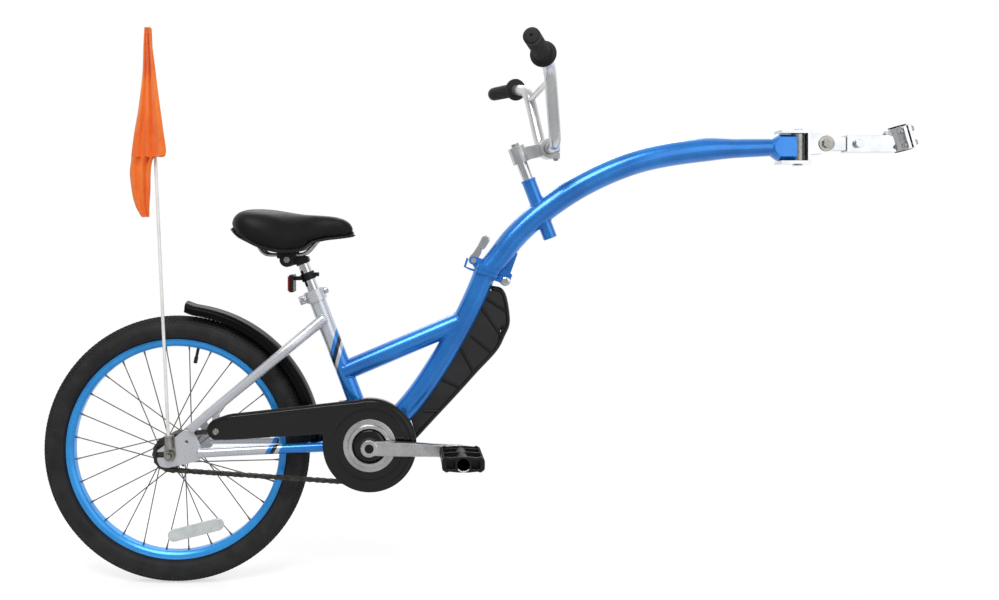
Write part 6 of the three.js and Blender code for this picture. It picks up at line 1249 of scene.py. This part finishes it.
def padded_cover():
    """Foam under vinyl: the shape a little small, swelled by pressure against its own cover."""
    mesh = mesh_of(loft(saddle_rings(2.5)))
    mesh = evaluated(mesh, ("REMESH", {"mode": "VOXEL", "voxel_size": 5.0}))
    host = bpy.data.objects.new("cover", mesh)
    host.data.transform(place)
    bpy.context.scene.collection.objects.link(host)
    before = np.array([p.co for p in mesh.vertices])
    base = before[:, 2] < before[:, 2].min() + 0.006
    pinned = host.vertex_groups.new(name="base")
    pinned.add([int(i) for i in np.nonzero(base)[0]], 1.0, "REPLACE")
    cloth = host.modifiers.new("cloth", "CLOTH")
    cloth.settings.use_pressure = True
    cloth.settings.uniform_pressure_force = 4.0
    cloth.settings.effector_weights.gravity = 0.0
    cloth.settings.vertex_group_mass = "base"
    cloth.settings.quality = 6
    cloth.point_cache.frame_start, cloth.point_cache.frame_end = 1, 20
    for step in range(1, 21):
        bpy.context.scene.frame_set(step)
        swelled = host.evaluated_get(bpy.context.evaluated_depsgraph_get())
    after = np.array([p.co for p in swelled.to_mesh().vertices])
    move = after - before
    reach = np.linalg.norm(move, axis=1, keepdims=True)
    move *= np.minimum(1, 0.0035 / np.maximum(reach, 1e-9))
    host.modifiers.clear()
    mesh.vertices.foreach_set("co", (before + move).ravel())
    bpy.context.scene.frame_set(1)
    softened = evaluated(mesh, ("SMOOTH", {"factor": 0.6, "iterations": 6}),
                         ("SUBSURF", {"levels": 1, "render_levels": 1}))
    bpy.data.objects.remove(host)
    return softened


cover = fitted(padded_cover(), "saddle_cover", saddle_vinyl, "saddle", "saddle", 80)
rings = saddle_rings(1.6)
hem = [ring[9] + v(0, 0, -1.0) for ring in rings[1:-1]]
hem_path = hem + [p * ACROSS for p in reversed(hem)]
piece("saddle_piping", sweep(hem_path, 1.3, 10, closed=True), moulded_black, "saddle", "saddle",
      60)


def saddle_base():
    """The moulded shell under the padding, just inside the piping."""
    top, low = [], []
    for ring in rings[3:-2]:
        edge = ring[8]
        for y in np.linspace(-1, 1, 9):
            arch = 6.0 * (1 - y * y)
            top.append(v(ring[0][0], edge[1] * 0.95 * y, edge[2] + arch + 2.0))
            low.append(v(ring[0][0], edge[1] * 0.9 * y, edge[2] + arch - 2.2))
    rows = len(rings[3:-2])
    loops = [top[i * 9:i * 9 + 9] + low[i * 9:i * 9 + 9][::-1] for i in range(rows)]
    return loft(loops)


piece("saddle_base", saddle_base(), moulded_black, "saddle", "saddle", 40)


def saddle_at(share, column):
    """A column of the saddle's shares at any place along it."""
    pairs = list(zip(SADDLE_SHARES, SADDLE_SHARES[1:]))
    a, b = next((a, b) for a, b in pairs if b[0] >= share)
    return lerp(a[column], b[column], (share - a[0]) / (b[0] - a[0]))


def under(x, y):
    """The saddle's underside above this place, less the rail's radius and some room."""
    share = (x - SADDLE_TAIL[0]) / SADDLE_LENGTH
    high, low = (SADDLE_TAIL[2] + saddle_at(share, column) * SADDLE_HEIGHT for column in (1, 2))
    half = saddle_at(share, 3) * SADDLE_HALF * 0.62
    return v(x, y, lerp(low, high, lerp(0.22, 0.12, min(1, abs(y) / half))) - 4.3)


rail_rear, rail_front, rail_z = POST_TOP[0] - 87.1, POST_TOP[0] + 54.9, POST_TOP[2] + 11.4
rail = [under(rail_rear, -20), v(rail_rear + 20, -20, rail_z), v(CLAMP_BOLT[0], -20, rail_z),
        v(CLAMP_BOLT[0] + 32, -20, rail_z), under(rail_front - 20, -10), under(rail_front, -3.5)]
rail = rail + [p * ACROSS for p in reversed(rail)]
piece("saddle_wire_rails", sweep(smooth_path(rail, 8), 3.4, 20), zinc_steel, "saddle", "saddle_rails",
      50)

# ---------------------------------------------------------------- front beam and fold

HEAD = v(1131.9, 0, 573.7)
beam_path = smooth_path(between(FOLD, HEAD, [
    (-0.012, -0.06), (0.0426, 0.0886), (0.105, 0.274), (0.2, 0.475), (0.349, 0.7036), (0.5364, 0.8859),
    (0.7544, 0.977), (0.8947, 0.9928), (1, 1)]), 14)
beam_path = [p for p in beam_path if (p - FOLD).dot(FOLD_UP) > 4.5]


def beam_radius(x):
    """The beam is even up to three quarters of its length, then draws in to a neck and to its tip."""
    neck, tip = 18, 16.5
    share = (x - FOLD[0]) / (HEAD[0] - FOLD[0])
    if share < 0.76:
        return BEAM_RADIUS
    if share < 0.895:
        step = (share - 0.76) / 0.135
        return lerp(BEAM_RADIUS, neck, step * step * (3 - 2 * step))
    return lerp(neck, tip, min(1, (share - 0.895) / 0.105))


piece("front_beam_tube", sweep(beam_path, [beam_radius(p[0]) for p in beam_path], 56), blue_enamel, "beam",
      "front_beam")
STEERER_UP = v(-math.sin(STEERER_LEAN), 0, math.cos(STEERER_LEAN))
STEERER_TOP = v(669.4, 0, 512.7)
stub = lathe([(-120, 11), (-120, 12.6), (-119.3, 13.3), (-5, 13.3), (-4.2, 14.2), (-0.8, 14.2), (0, 13.6),
              (0, 11)], STEERER_TOP, STEERER_UP, 64, ring=True)
piece("steerer_stub", stub, blue_enamel, "beam", "front_beam")
eased("front_beam", blue_enamel, 0.9, 3, "upper_fold_flange",
      keep=[((690, 0, 0), (1, 0, 0)), (in_fold(0, 74), FOLD_UP)])
eased("front_beam", blue_enamel, 1.4, 4, "beam_head", keep=[((1122, 0, 0), (-1, 0, 0))])
crossing = min((STEERER_TOP - t * STEERER_UP for t in range(20, 110)),
               key=lambda p: min(np.linalg.norm(p - q) for q in beam_path))
weld_beads("beam_welds", blue_enamel, "beam", "front_beam", "blue_paint",
           (beam_path, BEAM_RADIUS, (crossing, STEERER_TOP), STEERER_RADIUS),
           (beam_path, BEAM_RADIUS, (crossing, crossing - 60 * STEERER_UP), STEERER_RADIUS))
# A black sheet 0.28 mm thick in the fold seam between the flanges, painted shade of the gap there
seam = block((-20.5, -23.5, -0.14), (28.5, 23.5, 0.14), 0.05)
seam = moved(seam, Matrix.Translation(FOLD) @ Matrix.Rotation(FOLD_TILT, 4, "Y"))
piece("fold_seam_shim", seam, grip_rubber, "frame", "main_frame")
eased("fold_pin", chrome, 0.8, 3)
eased("latch_pin", chrome, 0.6)
LATCH_PIN = v(564.265, 0, 358.177)
lever_up, lever_out = v(0.5, 0, 0.866), v(-0.866, 0, 0.5)


def in_lever(spots):
    """An outline from (along, out) points that are measured from the lever's pin."""
    spots = [LATCH_PIN + along * lever_up + out * lever_out for along, out in spots]
    return outline_of(spots)


cam = in_lever([(-5.5, -5), (6, -6.6), (20, -6.4), (27, -4), (31, -4.5), (31, 6), (12, 6.8), (5, 9),
                (-3.5, 9)])
paddle = in_lever([(26, -5.2), (31, -8), (49, -8.6), (53.5, -6), (53, 6.4), (47, 7.6), (27, 6.8)])
cheek = plate(rounded_loop(cam, 3.4, 5), 2.8, 5.7, 0.5)
cross_pin = turned([(-5.6, 0), (-5.6, 1.8), (5.6, 1.8), (5.6, 0)], LATCH_PIN + 7 * lever_out, steps=24)
grip = plate(rounded_loop(paddle, 2.6, 5), -8.4, 8.4, 2.2)
piece("latch_lever_paddle", gather(cheek, mirrored(cheek), cross_pin, grip), chrome, "latch", "latch_lever",
      30)

# ---------------------------------------------------------------- stem and handlebar

eased("stem", cast_alloy, 1.8, 4)
quill = lathe([(-95, 7), (-95, 10.2), (-94.4, 10.65), (34.6, 10.65), (34.6, 7)], STEERER_TOP, STEERER_UP, 56,
              ring=True)
piece("stem_quill", quill, chrome, "stem", "stem")
eased("stem_bolt", zinc_steel, 0.7)
bolted("bar_clamp_bolt", [(v(722.5, 0, 552.2), (0, 0, -1), 4.8, 4.0)], zinc_steel, "stem", "stem")
BAR = v(708.6, 0, 571)


def bent(points, reach):
    """A rod's path: straight runs with a bend of this reach at each corner."""
    path = [np.array(points[0], float)]
    for a, p, b in zip(points, points[1:], points[2:]):
        a, p, b = (np.array(q, float) for q in (a, p, b))
        start = p + unit(a - p) * min(reach, np.linalg.norm(a - p) / 2.1)
        end = p + unit(b - p) * min(reach, np.linalg.norm(b - p) / 2.1)
        path += [on_corner(start, p, end, t) for t in np.linspace(0, 1, 12)]
    return [*path, np.array(points[-1], float)]


half_bar = [(0, 80, 0), (-20, 140, 131.8), (-38.6, 190, 143.7), (-74.2, 300, 151.2)]
bar_points = [BAR + v(*p) for p in half_bar]
bar_path = bent(bar_points[::-1] + [p * ACROSS for p in bar_points], 27)
cross = [BAR + v(-17, y, 112) for y in (-131, 0, 131)]
piece("handlebar_tube", gather(sweep(bar_path, BAR_RADIUS, 40), sweep(cross, CROSSBAR_RADIUS, 28)),
      satin_bar, "handlebar", "handlebar")
upright = bar_points[:2]
mirror_upright = [p * ACROSS for p in upright]
weld_beads("handlebar_welds", satin_bar, "handlebar", "handlebar", "silver_paint",
           (upright, BAR_RADIUS, (cross[2], cross[1]), CROSSBAR_RADIUS, 1.2),
           (mirror_upright, BAR_RADIUS, (cross[0], cross[1]), CROSSBAR_RADIUS, 1.2))
GRIP_START, GRIP_END = bar_points[2:]
grip_axis = unit(GRIP_END - GRIP_START)
grip_long = float(np.linalg.norm(GRIP_END - GRIP_START))
grip_profile = [(0, 11.4), (0, 21.5), (0.8, 22.8), (2.0, 23), (3.2, 22.8), (4.0, 21.5), (4.6, 16.5),
                (7, 14.6), (11, 13.4), (grip_long - 10, 13.4), (grip_long - 7, 14.4), (grip_long + 0.6, 14.2),
                (grip_long + 2.6, 12.8), (grip_long + 3.4, 10), (grip_long + 3.4, 3.2), (grip_long + 1, 2.6),
                (grip_long + 1, 0.02)]
sleeve = lathe(grip_profile + [(0, 0.02)], GRIP_START, grip_axis, 48, ring=True)
rib = lathe([(-1.3, 12.8), (-1.2, 13.9), (-0.6, 14.4), (0.6, 14.4), (1.2, 13.9), (1.3, 12.8)], (0, 0, 0),
            (1, 0, 0), 40, ring=True)
rib_run = [GRIP_START + grip_axis * 13, GRIP_START + grip_axis * (grip_long - 12)]
ribs = grown(along_tree, hidden_item(rib_run, curve="open"), grip_rubber, Item=hidden_item(rib), Count=41,
             Skip=0)
rib_shape = [np.array(p.co) for p in ribs.vertices], [tuple(f.vertices) for f in ribs.polygons]
for name, shape in (("left_grip", gather(sleeve, rib_shape)),
                    ("right_grip", mirrored(gather(sleeve, rib_shape)))):
    piece(name + "_rubber", shape, grip_rubber, "handlebar", name, 40)

# ---------------------------------------------------------------- hitch

bushing = lathe([(-25.5, 6.4), (-25.5, 11.8), (-25, 12.25), (25, 12.25), (25.5, 11.8), (25.5, 6.4)],
                (1184, 0, 573.7), (0, 0, 1), 64, ring=True)
piece("head_bushing", bushing, zinc_steel, "beam", "front_beam", 35)

for node, edge in (("yoke", 1.6), ("receiver", 0.8), ("front_jaw", 1.0), ("tongue", 1.0),
                   ("coupling_pin", 0.9), ("yaw_pin", 0.8)):
    eased(node, chrome, edge, 3)
eased("clamp_liner", grip_rubber, 0.4)
for across in ("right", "left"):
    for high in ("upper", "lower"):
        eased(f"clamp_bolt_{across}_{high}", zinc_steel, 0.8, 3)
PITCH = v(1233, 0, 580)
bolt = [turned([(-23, 0), (-23, 5.2), (-22.4, 5.9), (22.4, 5.9), (23, 5.2), (23, 0)], PITCH)]
for side in (-1, 1):
    bolt.append(lathe([(side * 15.5, 6.2), (side * 15.5, 14.4), (side * 16.1, 15), (side * 17, 15),
                       (side * 17.6, 14.4), (side * 17.6, 6.2)], PITCH, steps=56, ring=True))
    hexagon = arc_of(PITCH[0], PITCH[2], 9.5, (np.arange(6) + 0.5) * math.pi / 3)
    bolt.append(plate(rounded_loop(hexagon, 1.2, 2), *sorted((side * 17.5, side * 22.8)), 1.0))
piece("pitch_bolt_set", gather(*bolt), zinc_steel, "yoke", "pitch_bolt", 30)

# ---------------------------------------------------------------- flag

POLE_UP = v(-math.sin(math.radians(2.66)), 0, math.cos(math.radians(2.66)))
POLE_FOOT = v(0, -69, 15)
POLE_TOP = POLE_FOOT + 775 * POLE_UP
rod = turned([(0, 0), (0, 2.6), (0.6, 3), (765, 3), (765, 3.2), (773.5, 3.2), (775, 2.2), (775, 0)],
             POLE_FOOT, POLE_UP, 24)
piece("flag_rod", rod, white_rod, "frame", "flag_pole", 40)


def pole_at(height):
    """The middle of the leaning pole at this height."""
    return POLE_FOOT + POLE_UP * ((height - POLE_FOOT[2]) / POLE_UP[2])


def pennant():
    """A triangular pennant that has slid into folds beside its pole: its rows, and each row's places."""
    levels = smooth_path([
        (0, 0.16, 0.14), (0.12, 0.24, 0.3), (0.25, 0.32, 0.48), (0.4, 0.5, 0.66), (0.55, 0.74, 0.86),
        (0.655, 0.88, 1), (0.7, 0.92, -0.1), (0.78, 1, -0.32), (0.86, 0.96, -0.4), (0.94, 0.84, -0.55),
        (1, 0.62, -0.62)], 7)
    rows = []
    for i, (down, left, right) in enumerate(levels):
        height = POLE_TOP[2] - 3 - 347 * down
        start, end = 23 * right, -46 * left
        depth = 8 * min(1, (left + right + 0.6) / 1.4)
        pole_share = max(0.24, start / (start - end)) if start > end else 0.24
        folds = [(a * pole_share, out) for a, out in ((0, -0.9), (0.5, -1.4), (1, 0))]
        folds += [(pole_share + a * (1 - pole_share), out)
                  for a, out in ((0.28, -1.1), (0.52, -0.4), (0.76, -1.3), (1, -0.5))]
        path = smooth_path([(lerp(start, end, a), out * depth - 4, 0) for a, out in folds], 6)
        wave = 0.7 * math.sin(i * 0.45)
        rows.append([pole_at(height) + v(x, y + wave * math.sin(k * 0.5), 0.5 * math.sin(k * 0.8 + i * 0.3))
                     for k, (x, y, _) in enumerate(path)])
    return rows


def sleeve_rows():
    """The hem that is sewn round the pole."""
    rows = []
    for height in np.linspace(POLE_TOP[2] - 3, POLE_TOP[2] - 235, 30):
        angles = np.linspace(math.radians(110), math.radians(-210), 20)
        rows.append([pole_at(height) + v(4 * math.cos(a), 4 * math.sin(a), 0) for a in angles])
    return rows


def cloth_mesh(*sheets):
    """Sheets of one cloth as an open mesh whose UV map is metres along the threads."""
    mesh = bpy.data.meshes.new("cloth")
    points, faces, threads = [], [], []
    for rows in sheets:
        base, wide = len(points), len(rows[0])
        run_down = [0.0]
        for a, b in zip(rows, rows[1:]):
            run_down.append(run_down[-1] + float(np.linalg.norm(np.array(a[wide // 2]) - b[wide // 2])))
        for row, down in zip(rows, run_down):
            run = 0.0
            for k, p in enumerate(row):
                run += float(np.linalg.norm(p - row[k - 1])) if k else 0.0
                points.append(Vector(p))
                threads.append((run / 1000, down / 1000))
        for i in range(len(rows) - 1):
            for k in range(wide - 1):
                a = base + i * wide + k
                faces.append((a, a + 1, a + wide + 1, a + wide))
    mesh.from_pydata(points, [], faces)
    layer = mesh.uv_layers.new(name="threads")
    for loop in mesh.loops:
        layer.data[loop.index].uv = threads[loop.vertex_index]
    return mesh


cloth = evaluated(cloth_mesh(pennant(), sleeve_rows()),
                  ("SOLIDIFY", {"thickness": 0.5, "offset": 0.0, "use_rim": True}))
flag = piece("flag_pennant", cloth, orange_nylon, "frame", "flag", 70)


# ---------------------------------------------------------------- studio

world = bpy.data.worlds.new("studio")
bpy.context.scene.world = world
world.use_nodes = True
sky = world.node_tree
sky.nodes["Background"].inputs["Color"].default_value = (1, 1, 1, 1)
path = add(sky, "ShaderNodeLightPath")
straight = add(sky, "ShaderNodeMath", links={0: (path, "Is Camera Ray"), 1: (path, "Is Transmission Ray")},
               operation="MAXIMUM")
seen = add(sky, "ShaderNodeMath", links={0: straight, 1: (path, "Is Glossy Ray")}, operation="MAXIMUM")
# Polished parts mirror the white backdrop too, and on the other side the dimmer room that faces it
aim = add(sky, "ShaderNodeSeparateXYZ", links={0: (add(sky, "ShaderNodeTexCoord"), "Generated")})
wall = add(sky, "ShaderNodeMapRange", {1: -0.35, 2: 0.45, 3: 0.44, 4: 1.0}, {0: (aim, "Y")},
           interpolation_type="SMOOTHSTEP")
mirrored_wall = add(sky, "ShaderNodeMath", links={0: straight, 1: wall}, operation="MAXIMUM")
strength = add(sky, "ShaderNodeMix", {2: 0.5}, {0: seen, 3: mirrored_wall})
sky.links.new(strength.outputs[0], sky.nodes["Background"].inputs["Strength"])


def lamp(name, spot, target, size, power):
    """An area lamp that faces its target."""
    light = bpy.data.lights.new(name, "AREA")
    light.shape = "RECTANGLE"
    light.size, light.size_y = size
    light.energy = power
    holder = bpy.data.objects.new(name, light)
    holder.location = spot
    holder.rotation_euler = (Vector(target) - Vector(spot)).to_track_quat("-Z", "Y").to_euler()
    bpy.context.scene.collection.objects.link(holder)
    return holder


lamp("high_key", (-1.6, -2.2, 2.6), (-0.7, 0, -0.3), (2.4, 1.6), 84)
lamp("front_fill", (1.4, -2.4, 0.6), (-0.5, 0, -0.3), (2.8, 2.6), 24)
lamp("back_rim", (-0.8, 2.6, 2.0), (-0.7, 0, -0.3), (2.4, 1.2), 38)

floor_mesh = bpy.data.meshes.new("floor")
floor_mesh.from_pydata([(-9, -4, 0), (9, -4, 0), (9, 9, 0), (-9, 9, 0)], [], [(0, 1, 2, 3)])
FLOOR_BELOW_AXLE, CLAMP_ABOVE_AXLE = 253, 591.1
floor_mesh.transform(Matrix.Translation((0, 0, (-FLOOR_BELOW_AXLE - CLAMP_ABOVE_AXLE) / 1000)))
floor = bpy.data.objects.new("floor", floor_mesh)
bpy.context.scene.collection.objects.link(floor)
pale = bpy.data.materials.new("pale_paper")
pale.use_nodes = True
tree = pale.node_tree
paper = tree.nodes["Principled BSDF"]
paper.inputs["Base Color"].default_value = linear("bcbcbb")
paper.inputs["Roughness"].default_value = 0.9
path = add(tree, "ShaderNodeLightPath")
where = add(tree, "ShaderNodeTexCoord")
spot = add(tree, "ShaderNodeSeparateXYZ", links={0: (where, "Object")})
# In reflections the paper glows only behind the bike and stays dim in front of it: painted shade that stands
# for the room's shade there
behind = add(tree, "ShaderNodeMapRange", {1: -0.5, 2: 0.4}, {0: (spot, "Y")}, interpolation_type="SMOOTHSTEP")
glossy = add(tree, "ShaderNodeMath", links={0: behind, 1: (path, "Is Glossy Ray")}, operation="MULTIPLY")
seen = add(tree, "ShaderNodeMath", links={0: (path, "Is Camera Ray"), 1: glossy}, operation="MAXIMUM")
seen = add(tree, "ShaderNodeMath", links={0: seen, 1: (path, "Is Transmission Ray")}, operation="MAXIMUM")
away = add(tree, "ShaderNodeVectorMath", {1: (-1.45, 0.0, -0.844)}, {0: (where, "Object")},
           operation="DISTANCE")
lift = add(tree, "ShaderNodeMath", {1: 0.6}, {0: seen}, operation="MULTIPLY")
tree.links.new(lift.outputs[0], paper.inputs["Emission Strength"])
paper.inputs["Emission Color"].default_value = (1, 1, 1, 1)
far = add(tree, "ShaderNodeMapRange", {1: 0.3, 2: 1.1}, {0: (away, "Value")}, interpolation_type="SMOOTHSTEP")
lit = add(tree, "ShaderNodeEmission", {"Color": (1, 1, 1, 1)})
glow = add(tree, "ShaderNodeMath", links={0: far, 1: seen}, operation="MULTIPLY")
mixed = add(tree, "ShaderNodeMixShader", links={0: glow, 1: paper, 2: lit})
output = next(n for n in tree.nodes if n.type == "OUTPUT_MATERIAL")
tree.links.new(mixed.outputs[0], output.inputs["Surface"])
floor.data.materials.append(pale)

bpy.context.scene.view_settings.view_transform = "Standard"
